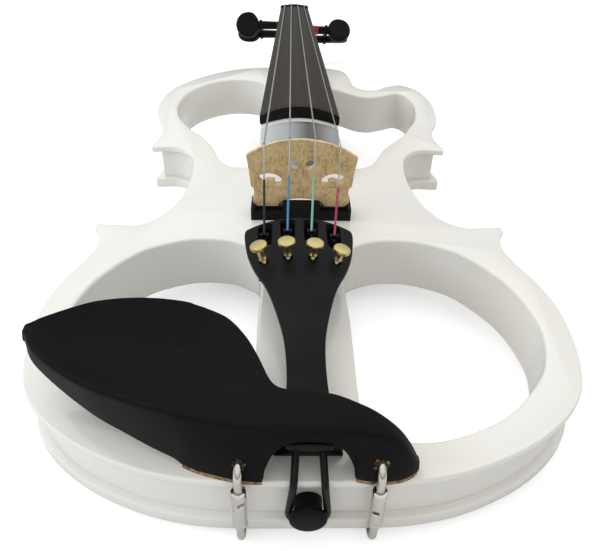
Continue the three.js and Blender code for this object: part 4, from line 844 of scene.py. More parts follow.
@dataclass(frozen=True)
class Lacquer:
    """White gloss lacquer, sprayed and polished."""

    colour: Colour = WHITE
    gloss: float = 0.16

    def mixed(self, name: str) -> bpy.types.Material:
        """The material, with its faint ripple and dust.

        Args:
            name: the material's name.

        Returns:
            The material.
        """
        mix = Mixer(name, coat_weight=1.0, coat_roughness=0.04, coat_ior=1.5, specular_ior_level=0.4)
        where = mix.place()
        broad = mix.noise(where, 14.0, 2.0)
        fine = mix.noise(where, 260.0, 2.0)
        warm = tuple(value * shade for value, shade in zip(self.colour, (1.0, 0.985, 0.955)))
        mix.set("Base Color", mix.blend(broad.over(0.55, 0.5), self.colour, warm))
        mix.set("Roughness", self.gloss + 0.08 * broad)
        mix.bump(fine * 0.35 + mix.noise(where, 70.0, 1.0), 0.00004, 0.35)
        return mix.material


@dataclass(frozen=True)
class ShadedLacquer:
    """The lacquer on the slope under the fingerboard's end, with painted shade and a painted dark reflection of the
    bridge in its colour.
    """

    # Painted reflection: the colours across the slope, darkest where the dark bridge would be mirrored.
    streak: tuple[tuple[float, Colour], ...] = (
        (0.05, (0.5, 0.54, 0.53)), (0.4, (0.36, 0.39, 0.38)), (0.64, (0.1, 0.1, 0.095)),
        (0.74, (0.13, 0.13, 0.12)), (0.95, (0.34, 0.35, 0.345)))
    # The heights over which the painted shade comes in.
    from_height: Flat = (0.0374, 0.0388)

    def mixed(self, name: str) -> bpy.types.Material:
        """The material, with a soft dark streak right of the middle.

        Args:
            name: the material's name.

        Returns:
            The material.
        """
        mix = Mixer(name, coat_weight=0.5, coat_roughness=0.08, coat_ior=1.5, specular_ior_level=0.3)
        across = mix.node("SeparateXYZ", "X", Vector=mix.place())
        ripple = mix.noise(mix.place(), 90.0, 2.0)
        share = across * 26.0 + 0.5 + ripple * 0.06
        # Painted shade and a painted reflection of the bridge, picked by the place across the slope.
        painted_shade = mix.ramp(share, *self.streak)
        low, full = self.from_height
        high = mix.node(
            "MapRange", "Result", Value=mix.node("SeparateXYZ", "Z", Vector=mix.place()), From_Min=low, From_Max=full)
        # Plain white below the given height; the painted shade and reflection above it.
        mix.set("Base Color", mix.blend(high, WHITE, painted_shade))
        mix.set("Roughness", 0.2 + 0.1 * ripple)
        return mix.material


@dataclass(frozen=True)
class BlackWood:
    """Black-stained wood with a satin skin, and its grain along the instrument."""

    colour: Colour = (0.0032, 0.0031, 0.0035)
    sheen: Colour = (0.0062, 0.006, 0.0066)
    rough: float = 0.42
    grain: float = 0.00003
    across: bool = False

    def mixed(self, name: str) -> bpy.types.Material:
        """The material, with open pores and slightly uneven polish.

        Args:
            name: the material's name.

        Returns:
            The material.
        """
        mix = Mixer(name, specular_ior_level=0.1)
        long = (60.0, 900.0, 900.0) if self.across else (900.0, 60.0, 900.0)
        where = mix.place(long)
        pores = mix.noise(where, 1.0, 4.0, 0.6)
        clouds = mix.noise(mix.place(), 45.0, 3.0)
        mix.set("Base Color", mix.blend(pores.over(0.5, 0.5), self.colour, self.sheen))
        mix.set("Roughness", self.rough + 0.14 * clouds + 0.1 * (pores - 0.5))
        mix.bump(pores + 0.5 * mix.noise(mix.place(), 1500.0, 2.0), self.grain, 0.5)
        return mix.material


@dataclass(frozen=True)
class BoardWood:
    """The fingerboard's dark brown wood, oiled, with fine streaks along it."""

    dark: Colour = (0.02, 0.0165, 0.012)
    middle: Colour = (0.036, 0.03, 0.022)
    light: Colour = (0.07, 0.06, 0.044)

    def mixed(self, name: str) -> bpy.types.Material:
        """The material, with streaks, pores and a worn sheen.

        Args:
            name: the material's name.

        Returns:
            The material.
        """
        mix = Mixer(name, specular_ior_level=0.14)
        where = mix.place((1.0, 0.035, 1.0))
        streaks = mix.noise(where, 520.0, 5.0, 0.65)
        fibre = mix.noise(mix.place((1.0, 0.02, 1.0)), 2600.0, 2.0)
        tone = streaks * 0.6 + fibre * 0.4
        mix.set("Base Color", mix.ramp(tone, (0.3, self.dark), (0.52, self.middle), (0.72, self.light)))
        mix.set("Roughness", 0.38 + 0.22 * streaks)
        mix.bump(fibre + streaks, 0.00004, 0.5)
        return mix.material


@dataclass(frozen=True)
class BareMaple:
    """The bridge's bare maple, with short flecks over its face."""

    pale: Colour = (0.68, 0.51, 0.255)
    brown: Colour = (0.42, 0.29, 0.135)

    def mixed(self, name: str) -> bpy.types.Material:
        """The material, with mottling, flecks and fine fibre.

        Args:
            name: the material's name.

        Returns:
            The material.
        """
        mix = Mixer(name, specular_ior_level=0.3)
        clouds = mix.noise(mix.place(), 210.0, 4.0, 0.6)
        flecks = mix.noise(mix.place((1.0, 1.0, 0.55)), 900.0, 2.0, 0.6)
        fibre = mix.noise(mix.place((1.0, 1.0, 0.12)), 2400.0, 3.0)
        tone = clouds * 0.4 + fibre * 0.2 + 0.4 * flecks
        middle = tuple(lerp(a, b, 0.6) for a, b in zip(self.brown, self.pale))
        mix.set("Base Color", mix.ramp(tone, (0.41, self.brown), (0.485, middle), (0.57, self.pale)))
        mix.set("Roughness", 0.52 + 0.2 * clouds)
        mix.bump(fibre + clouds, 0.00005, 0.6)
        return mix.material


@dataclass(frozen=True)
class Metal:
    """Plated metal, polished or brushed."""

    colour: Colour
    rough: float = 0.16
    brushed: float = 0.0

    def mixed(self, name: str) -> bpy.types.Material:
        """The material, with its polishing marks and slight tarnish.

        Args:
            name: the material's name.

        Returns:
            The material.
        """
        mix = Mixer(name, metallic=1.0)
        marks = mix.noise(mix.place(), 3200.0, 3.0, 0.6)
        clouds = mix.noise(mix.place(), 160.0, 3.0)
        dull = tuple(value * 0.82 for value in self.colour)
        mix.set("Base Color", mix.blend(clouds.over(0.55, 0.6), self.colour, dull))
        mix.set("Roughness", self.rough + self.brushed * marks + 0.06 * clouds)
        mix.bump(marks, 0.00001 + 0.00003 * self.brushed, 0.5)
        return mix.material


@dataclass(frozen=True)
class Plastic:
    """Moulded or painted black plastic with a fine texture."""

    colour: Colour = (0.014, 0.0138, 0.0145)
    rough: float = 0.45
    grit: float = 0.00003

    def mixed(self, name: str) -> bpy.types.Material:
        """The material, with its moulded grit and faint rubbing.

        Args:
            name: the material's name.

        Returns:
            The material.
        """
        mix = Mixer(name, specular_ior_level=0.14)
        grit = mix.noise(mix.place(), 1800.0, 2.0)
        rub = mix.noise(mix.place(), 60.0, 4.0)
        lighter = tuple(value * 1.7 + 0.002 for value in self.colour)
        mix.set("Base Color", mix.blend(rub.over(0.6, 0.4), self.colour, lighter))
        mix.set("Roughness", self.rough + 0.16 * rub)
        mix.bump(grit, self.grit, 0.6)
        return mix.material


@dataclass(frozen=True)
class Cork:
    """Pressed cork in granules."""

    dark: Colour = (0.13, 0.065, 0.03)
    light: Colour = (0.42, 0.27, 0.14)

    def mixed(self, name: str) -> bpy.types.Material:
        """The material, with granules of several browns.

        Args:
            name: the material's name.

        Returns:
            The material.
        """
        mix = Mixer(name, roughness=0.9, specular_ior_level=0.2)
        grains = mix.node("TexVoronoi", "Color", {"feature": "F1"}, Vector=mix.place(), Scale=1100.0)
        tone = mix.node("SeparateColor", 0, Color=grains) * 0.6 + 0.4 * mix.noise(mix.place(), 2200.0)
        mix.set("Base Color", mix.ramp(tone, (0.2, self.dark), (0.75, self.light)))
        mix.bump(tone, 0.00015, 0.8)
        return mix.material


@dataclass(frozen=True)
class Thread:
    """Silk wound closely round a string."""

    colour: Colour
    along: str = "Y"

    def mixed(self, name: str) -> bpy.types.Material:
        """The material, with its turns running across the string, and painted shade in the grooves between them.

        Args:
            name: the material's name.

        Returns:
            The material.
        """
        mix = Mixer(name, specular_ior_level=0.35)
        turns = mix.node(
            "TexWave", 1, {"bands_direction": self.along, "wave_profile": "SIN"}, Vector=mix.place(), Scale=900.0,
            Distortion=0.6, Detail=1.0)
        # Painted shade: the colour darkens in the grooves between the turns, where the bump is low.
        dark = tuple(value * 0.45 for value in self.colour)
        mix.set("Base Color", mix.blend(turns, dark, self.colour))
        mix.set("Roughness", 0.45 + 0.2 * turns)
        mix.bump(turns, 0.00008, 0.7)
        return mix.material


@dataclass(frozen=True)
class WoundSteel:
    """A string's flat metal winding."""

    colour: Colour = (0.62, 0.63, 0.65)

    def mixed(self, name: str) -> bpy.types.Material:
        """The material, with fine turns along the string, and painted shade in the grooves between them.

        Args:
            name: the material's name.

        Returns:
            The material.
        """
        mix = Mixer(name, metallic=1.0)
        turns = mix.node(
            "TexWave", 1, {"bands_direction": "Y", "wave_profile": "SIN"}, Vector=mix.place(), Scale=1300.0)
        # Painted shade: the colour darkens in the grooves between the turns, where the bump is low.
        dark = tuple(value * 0.7 for value in self.colour)
        mix.set("Base Color", mix.blend(turns, dark, self.colour))
        mix.set("Roughness", 0.26 + 0.1 * turns)
        mix.bump(turns, 0.00002, 0.6)
        return mix.material


@dataclass(frozen=True)
class CircuitBoard:
    """Green solder resist over copper tracks."""

    green: Colour = (0.012, 0.07, 0.03)
    track: Colour = (0.03, 0.15, 0.06)

    def mixed(self, name: str) -> bpy.types.Material:
        """The material, with a pattern of tracks and pads.

        Args:
            name: the material's name.

        Returns:
            The material.
        """
        mix = Mixer(name, roughness=0.3)
        cells = mix.node(
            "TexVoronoi", 0, {"feature": "F1", "distance": "CHEBYCHEV"}, Vector=mix.place(), Scale=350.0,
            Randomness=0.6)
        mix.set("Base Color", mix.blend(cells.over(0.42, 0.06), self.green, self.track))
        mix.bump(cells.over(0.42, 0.1), 0.00004, 0.6)
        return mix.material


class Finish(Enum):
    """The instrument's finishes, each mixed once."""

    LACQUER = Lacquer()
    SHADED_LACQUER = ShadedLacquer()
    EBONY = BlackWood()
    CHIN_WOOD = BlackWood(rough=0.47, grain=0.00004, across=True)
    PEG_WOOD = BlackWood(rough=0.3, across=True)
    BOARD = BoardWood()
    MAPLE = BareMaple()
    # A paler copy of the maple for the bridge's upward top faces: a painted highlight.
    MAPLE_EDGE = BareMaple((0.8, 0.65, 0.42), (0.5, 0.35, 0.19))
    FITTING = Plastic((0.0034, 0.0036, 0.0042), 0.34, 0.00002)
    TRAY = Plastic((0.005, 0.005, 0.0053), 0.4)
    PANEL = Plastic((0.0135, 0.0133, 0.014), 0.55, 0.00006)
    NYLON = Plastic((0.007, 0.007, 0.0075), 0.2, 0.000005)
    GOLD = Metal((0.8, 0.67, 0.31), 0.14, 0.12)
    CHROME = Metal((0.72, 0.69, 0.64), 0.07, 0.05)
    STEEL = Metal((0.6, 0.6, 0.61), 0.3, 0.1)
    BLACK_STEEL = Metal((0.06, 0.06, 0.065), 0.3, 0.1)
    WOUND = WoundSteel()
    WOUND_TURNS = WoundSteel((0.45, 0.455, 0.46))
    CORK = Cork()
    CIRCUIT = CircuitBoard()
    SILK_G = Thread((0.016, 0.016, 0.018))
    SILK_D = Thread((0.075, 0.33, 0.62))
    SILK_A = Thread((0.29, 0.62, 0.47))
    SILK_E = Thread((0.5, 0.06, 0.15))
    SILK_WRAP = Thread((0.5, 0.035, 0.06), "X")
    CELL = Plastic((0.02, 0.02, 0.022), 0.3, 0.000008)

    @property
    def material(self) -> bpy.types.Material:
        """The finish's material, mixed when it is first asked for."""
        name = f"{self.name.lower()}_finish"
        return bpy.data.materials.get(name) or self.value.mixed(name)


# Body


@dataclass
class Body:
    """The open frame of the body, with its flanges, its openings and the pocket in its back."""

    length: float = BODY_LENGTH
    lower_bout: float = 200.0
    upper_bout: float = 173.6
    waist: float = 111.6
    lower_corners: float = 186.0
    upper_corners: float = 163.2
    thickness: float = BODY_TOP
    top_flange: float = 3.2
    back_flange: float = 5.5
    overhang: float = 2.8
    edge: float = 1.1
    edge_in: float = 0.65
    tip_back: float = 1.7
    tip_round: float = 1.6
    rim_edge: float = 1.3
    lower_ring: float = 11.0
    upper_ring: float = 12.3
    lower_spine: float = 35.0
    upper_spine: float = 41.0
    steps: int = 8
    lower_shares: tuple[Flat, ...] = (
        (0, 0), (0.33, 0.0027), (0.522, 0.0153), (0.741, 0.0466), (0.902, 0.09), (0.97, 0.1352),
        (1, 0.2066), (0.988, 0.2479), (0.955, 0.2834), (0.912, 0.3158), (0.89, 0.3453), (0.9, 0.369),
    )
    lower_corner: Flat = (0.3852, 0.3955)
    upper_corner: Flat = (0.6216, 0.6325)
    waist_below: tuple[Flat, ...] = (
        (0.758, 0.3946), (0.527, 0.3937), (0.3145, 0.4088), (0.161, 0.4354), (0.046, 0.4723), (0, 0.5165),
    )
    waist_above: tuple[Flat, ...] = (
        (0.004, 0.5549), (0.087, 0.5918), (0.283, 0.6145), (0.539, 0.6234), (0.795, 0.6225),
    )
    bass_bout: tuple[Flat, ...] = (
        (0.908, 0.667), (0.917, 0.6995), (0.97, 0.7379), (1, 0.7851), (0.991, 0.8294), (0.945, 0.8737),
        (0.847, 0.9135), (0.677, 0.9563), (0.467, 0.9888), (0.248, 1), (0, 1),
    )
    treble_bout: tuple[Flat, ...] = (
        (0.908, 0.667), (0.922, 0.6995), (0.977, 0.7379), (1, 0.7792), (0.991, 0.8383), (0.925, 0.8884),
        (0.8145, 0.9106), (0.703, 0.9014), (0.6175, 0.8837), (0.5184, 0.8843), (0.4528, 0.9032),
        (0.43, 0.9445), (0.392, 0.9814), (0.288, 0.9982), (0, 1),
    )
    lower_opening: tuple[Flat, ...] = (
        (0, 0.08), (0, 0.2), (0, 0.3188), (0.04, 0.3368), (0.158, 0.3542), (0.287, 0.3604),
        (0.432, 0.3595), (0.569, 0.3501), (0.717, 0.3321), (0.877, 0.289), (0.944, 0.26), (0.986, 0.224),
        (0.999, 0.1907), (0.973, 0.1597), (0.93, 0.1355), (0.864, 0.1148), (0.713, 0.0809),
        (0.618, 0.0667), (0.515, 0.0561), (0.403, 0.0475), (0.2965, 0.0431), (0.19, 0.0436),
        (0.07, 0.0505), (0.01, 0.064),
    )
    bass_opening: tuple[Flat, ...] = (
        (0, 0.5844), (0, 0.74), (0, 0.9002), (0.05, 0.9145), (0.1685, 0.9242), (0.339, 0.9283),
        (0.5056, 0.9233), (0.7056, 0.9041), (0.887, 0.8681), (0.976, 0.8291), (1, 0.7866),
        (0.941, 0.7423), (0.794, 0.6972), (0.6685, 0.673), (0.52, 0.632), (0.43, 0.5909),
        (0.361, 0.5711), (0.2667, 0.5605), (0.1185, 0.5611), (0.028, 0.5697),
    )
    treble_opening: tuple[Flat, ...] = (
        (0, 0.5785), (0, 0.74), (0, 0.8752), (0.0556, 0.8822), (0.194, 0.8707), (0.35, 0.8515),
        (0.507, 0.8445), (0.676, 0.8536), (0.8537, 0.8669), (0.928, 0.8586), (0.998, 0.8259),
        (1, 0.7869), (0.9426, 0.742), (0.8407, 0.7069), (0.7704, 0.6836), (0.628, 0.6532),
        (0.5, 0.6243), (0.4148, 0.5924), (0.324, 0.5694), (0.1926, 0.559), (0.065, 0.5623),
    )
    panel: Flat = (70.0, 50.0)
    panel_centre: float = 156.0
    panel_thick: float = 2.0
    pocket_depth: float = 21.0
    jack_bore: float = 4.9
    jack_seat: float = 6.5
    button_bore: float = 3.9

    def stretches(self, bout: Sequence[Flat]) -> list[list[Flat]]:
        """The three stretches of one half of the outline, from the tail to the neck.

        Args:
            bout: the shares of the upper bout.

        Returns:
            The stretches.
        """
        lower = [(x * self.lower_bout / 2, y * self.length) for x, y in self.lower_shares]
        lower.append((self.lower_corners / 2, self.lower_corner[0] * self.length))
        middle = [(self.lower_corners / 2, self.lower_corner[1] * self.length)]
        middle += [(lerp(self.waist, self.lower_corners, x) / 2, y * self.length) for x, y in self.waist_below]
        middle += [(lerp(self.waist, self.upper_corners, x) / 2, y * self.length) for x, y in self.waist_above]
        middle.append((self.upper_corners / 2, self.upper_corner[0] * self.length))
        upper = [(self.upper_corners / 2, self.upper_corner[1] * self.length)]
        upper += [(x * self.upper_bout / 2, y * self.length) for x, y in bout]
        clear = self.edge + 2 * SEAT
        drawn = []
        for part in (lower, middle, upper):
            line = flowing(part, False, self.steps)
            drawn.append([line[0], *(point for point in line[1:-1] if min(
                math.dist(point, line[0]), math.dist(point, line[-1])) > clear), line[-1]])
        return drawn

    def half(self, bout: Sequence[Flat], inset: float) -> list[Flat]:
        """One half of the outline, moved inwards, with its corners cut where the stretches cross.

        Args:
            bout: the shares of the upper bout.
            inset: how far inwards it moves.

        Returns:
            The points from the tail to the neck.
        """
        parts = self.stretches(bout)
        if inset:
            lower, middle, upper = (shifted(part, inset) for part in parts)
            lower, middle = trimmed(lower, middle)
            middle, upper = trimmed(middle, upper)
            lower[0] = (0.0, lower[0][1])
            upper[-1] = (0.0, upper[-1][1])
            parts = [self.clipped(part, inset) for part in (lower, middle, upper)]
        return [point for part in parts for point in part]

    def clipped(self, part: Sequence[Flat], inset: float) -> list[Flat]:
        """A stretch of the rib, drawn back behind the tips of the corners.

        Args:
            part: the stretch.
            inset: how far inwards it moves.

        Returns:
            The stretch.
        """
        out = []
        for x, y in part:
            for wide, (low, high) in (
                (self.lower_corners, self.lower_corner), (self.upper_corners, self.upper_corner),
            ):
                if low * self.length - 6 < y < high * self.length + 6:
                    x = min(x, wide / 2 - inset * self.tip_back)
            out.append((x, y))
        return out

    def outline(self, inset: float = 0.0) -> list[Flat]:
        """The whole outline, counter-clockwise from the tail, with its corners softened.

        Args:
            inset: how far inwards it moves.

        Returns:
            Its points.
        """
        whole = [*self.half(self.treble_bout, inset), *mirrored(self.half(self.bass_bout, inset))]
        line = [point for point, other in zip(whole, whole[1:] + whole[:1]) if math.dist(point, other) > SEAT]
        soft = {}
        for index, point in enumerate(line):
            before = Vector(point) - Vector(line[index - 1])
            after = Vector(line[(index + 1) % len(line)]) - Vector(point)
            if abs(before.angle_signed(after)) > math.radians(40):
                soft[index] = self.tip_round
        return [tuple(point) for point in rounded(line, soft, 4)]

    def openings(self) -> list[list[Flat]]:
        """The four openings, counter-clockwise.

        Returns:
            Their outlines.
        """
        drawn = []
        for shares, spine, reach in (
            (self.lower_opening, self.lower_spine / 2, self.lower_bout / 2 - self.lower_ring),
            (self.treble_opening, self.upper_spine / 2, self.upper_bout / 2 - self.upper_ring),
            (self.bass_opening, self.upper_spine / 2, self.upper_bout / 2 - self.upper_ring),
        ):
            line = [(lerp(spine, reach, x), y * self.length) for x, y in shares]
            drawn.append(flowing(line, True, self.steps)[::-1])
        lower, treble, bass = drawn
        return [lower, mirrored(lower), treble, mirrored(bass)]

    def flange(self, low: float, high: float) -> bpy.types.Object:
        """A flange between two levels, with its edges rounded above and below.

        Args:
            low: its lower level.
            high: its upper level.

        Returns:
            The flange.
        """
        arc = [(self.edge_in * (1 - math.sin(a)), self.edge * (1 - math.cos(a)))
               for a in (k * math.pi / 8 for k in range(5))]
        profile = [*((x, low + y) for x, y in arc), *((x, high - y) for x, y in reversed(arc))]
        return Bench.stack("flange", self.outline(), profile)

    def opening_profile(self) -> list[Flat]:
        """An opening's wall with its rounded rims, as distances inwards and heights.

        Returns:
            The profile.
        """
        edge = self.rim_edge
        arc = [(-edge * (1 - math.cos(a)), edge * math.sin(a)) for a in (k * math.pi / 8 for k in range(5))]
        up = [(x, self.thickness - edge + z) for x, z in arc]
        down = [(x, edge - z) for x, z in reversed(arc)]
        return [(-edge, -OVERRUN), *down, *up, (-edge, self.thickness + OVERRUN)]

    def build(self) -> bpy.types.Object:
        """The body, in one piece.

        Returns:
            The body.
        """
        rib = Bench.stack("body", self.outline(self.overhang), [(0, 1.5), (0, self.thickness - 1.5)])
        body = Bench.join(
            rib, self.flange(0, self.back_flange), self.flange(self.thickness - self.top_flange, self.thickness))
        for line in self.openings():
            Bench.cut(body, Bench.stack("opening", line, self.opening_profile()))
        half = self.panel[0] / 2 + SEAT
        low = self.panel_centre - self.panel[1] / 2 - SEAT
        high = self.panel_centre + self.panel[1] / 2 + SEAT
        ledge = PANEL_LEDGE
        side = self.waist / 2
        jack = (0, JACK_LINE, JACK_HEIGHT)
        seat = (side - self.overhang, JACK_LINE, JACK_HEIGHT)
        tail = (0, -OVERRUN, BUTTON_HEIGHT)
        return Bench.cut(
            body,
            Bench.block("recess", (-half, low, -OVERRUN), (half, high, self.panel_thick + SEAT), 1.0),
            Bench.block(
                "pocket", (-half + ledge, low + ledge, -OVERRUN),
                (half - ledge, high - ledge, self.pocket_depth), 1.5),
            Bench.turned("jack_way", [(0, 0), (self.jack_bore, 0), (self.jack_bore, side + OVERRUN),
                                      (0, side + OVERRUN)], standing(jack, Vector((1, 0, 0)))),
            Bench.turned("jack_seat", [(0, 0), (self.jack_seat, 0), (self.jack_seat, OVERRUN * 2),
                                       (0, OVERRUN * 2)], standing(seat, Vector((1, 0, 0)))),
            Bench.turned("button_way", [(0, 0), (self.button_bore, 0), (self.button_bore, 28), (0, 28)],
                         standing(tail, Vector((0, 1, 0)))),
        )

    def dress(self) -> None:
        """Builds and finishes the body."""
        Bench.finish(self.build(), Finish.LACQUER, "instrument", "paint", "body_frame")


# Neck, fingerboard and nut


@dataclass
class Playing:
    """Where the strings, the fingerboard and the nut lie."""

    bridge_line: float = 143.3
    string_length: float = 328.0
    at_bridge: float = 33.5
    at_nut: float = 16.4
    bridge_height: float = 60.7
    action_drop: float = 0.6
    bridge_curve: float = 42.0
    board_length: float = 270.0
    board_wide: float = 42.0
    board_narrow: float = 24.0
    board_top_at_end: float = 54.2
    board_top_at_nut: float = 33.4
    board_curve: float = 42.0
    board_side: float = 4.8
    board_hollow: float = 4.2
    nut_length: float = 5.5
    nut_rise: float = 0.9
    nut_depth: float = 6.4

    @property
    def nut_line(self) -> float:
        """The fingerboard's far end."""
        return self.bridge_line + self.string_length

    @property
    def board_end(self) -> float:
        """The fingerboard's near end."""
        return self.nut_line - self.board_length

    @property
    def nut_top(self) -> float:
        """The nut's height on the centre line."""
        return self.board_top(self.nut_line) + self.nut_rise

    def board_share(self, y: float) -> float:
        """How far along the fingerboard a place is."""
        return (y - self.board_end) / self.board_length

    def board_top(self, y: float) -> float:
        """The fingerboard's height on the centre line."""
        return lerp(self.board_top_at_end, self.board_top_at_nut, self.board_share(y))

    def board_half(self, y: float) -> float:
        """Half of the fingerboard's width."""
        return lerp(self.board_wide, self.board_narrow, self.board_share(y)) / 2

    def seat(self, y: float) -> float:
        """The height of the fingerboard's lower edge."""
        return self.board_top(y) - crown_drop(self.board_half(y), self.board_curve) - self.board_side

    def hollow(self, y: float) -> float:
        """How deep the fingerboard is hollowed beneath."""
        reach = BODY_LENGTH - self.board_end
        return self.board_hollow * max(0.0, 1 - (y - self.board_end) / reach)

    def crest(self, x: float) -> float:
        """The height of the bridge's top where a string crosses it."""
        middle = self.bridge_height + crown_drop(self.at_bridge / 2, self.bridge_curve)
        return middle - crown_drop(x, self.bridge_curve) - self.action_drop * x / self.at_bridge


PLAYING = Playing()


@dataclass
class Fingerboard:
    """The crowned fingerboard, with its dark end."""

    columns: int = 28
    rows: int = 24
    corner: float = 1.6

    def ring(self, y: float) -> list[Point]:
        """The section at a place along it.

        Args:
            y: the place.

        Returns:
            The section's points.
        """
        half = PLAYING.board_half(y)
        top = PLAYING.board_top(y)
        across = [lerp(half, -half, k / self.columns) for k in range(self.columns + 1)]
        line = [(x, y, top - crown_drop(x, PLAYING.board_curve)) for x in across]
        low = PLAYING.seat(y)
        hollow = PLAYING.hollow(y)
        inner = half - 2.2
        under = [lerp(-inner, inner, k / self.columns) for k in range(self.columns + 1)]
        line.append((-half, y, low))
        line += [(x, y, low + hollow * (1 - (x / inner) ** 2)) for x in under]
        line.append((half, y, low))
        last = len(line) - 1
        radii = {0: 0.7, self.columns: 0.7, self.columns + 1: self.corner, last: self.corner}
        return rounded(line, radii, 4)

    def dress(self) -> None:
        """Builds and finishes the fingerboard."""
        start, end = PLAYING.board_end, PLAYING.nut_line - SEAT / 3
        rings = [self.ring(lerp(start, end, (k / self.rows) ** 1.2)) for k in range(self.rows + 1)]
        board = Bench.skin("fingerboard_wood", rings)
        Bench.apply(board, "BEVEL", width=0.5, segments=2, limit_method="ANGLE",
                    angle_limit=math.radians(60), use_clamp_overlap=True)
        Bench.paint(board, Finish.BOARD, Finish.TRAY)
        for face in board.data.polygons:
            face.material_index = 1 if face.normal.y < -0.45 else 0
        Bench.finish(board, Finish.BOARD, "instrument", "fingerboard", "fingerboard")


@dataclass
class Nut:
    """The nut, with a rounded back and a groove for each string."""

    groove: float = 0.42
    columns: int = 24

    def dress(self) -> None:
        """Builds and finishes the nut."""
        start = PLAYING.nut_line
        half = PLAYING.board_narrow / 2
        low = PLAYING.nut_top - PLAYING.nut_depth
        rings = []
        for share, fall in ((0, 0.5), (0.05, 0.12), (0.15, 0), (0.5, 0.18), (0.75, 0.55), (0.92, 1.1), (1, 1.9)):
            y = start + share * PLAYING.nut_length
            across = [lerp(half, -half, k / self.columns) for k in range(self.columns + 1)]
            ring = [(x, y, PLAYING.nut_top - crown_drop(x, PLAYING.board_curve) - fall) for x in across]
            rings.append(rounded([*ring, (-half, y, low), (half, y, low)], {0: 0.8, self.columns: 0.8}))
        nut = Bench.skin("nut_wood", rings)
        for name in StringName:
            x = name.spread * PLAYING.at_nut
            top = PLAYING.nut_top - crown_drop(x, PLAYING.board_curve) + self.groove * 0.4
            Bench.cut(nut, Bench.tube(
                "groove", [(x, start - 2, top + 0.1), (x, start + PLAYING.nut_length + 2, top - 0.9)],
                self.groove, 12))
        Bench.finish(nut, Finish.EBONY, "instrument", "ebony", "nut")


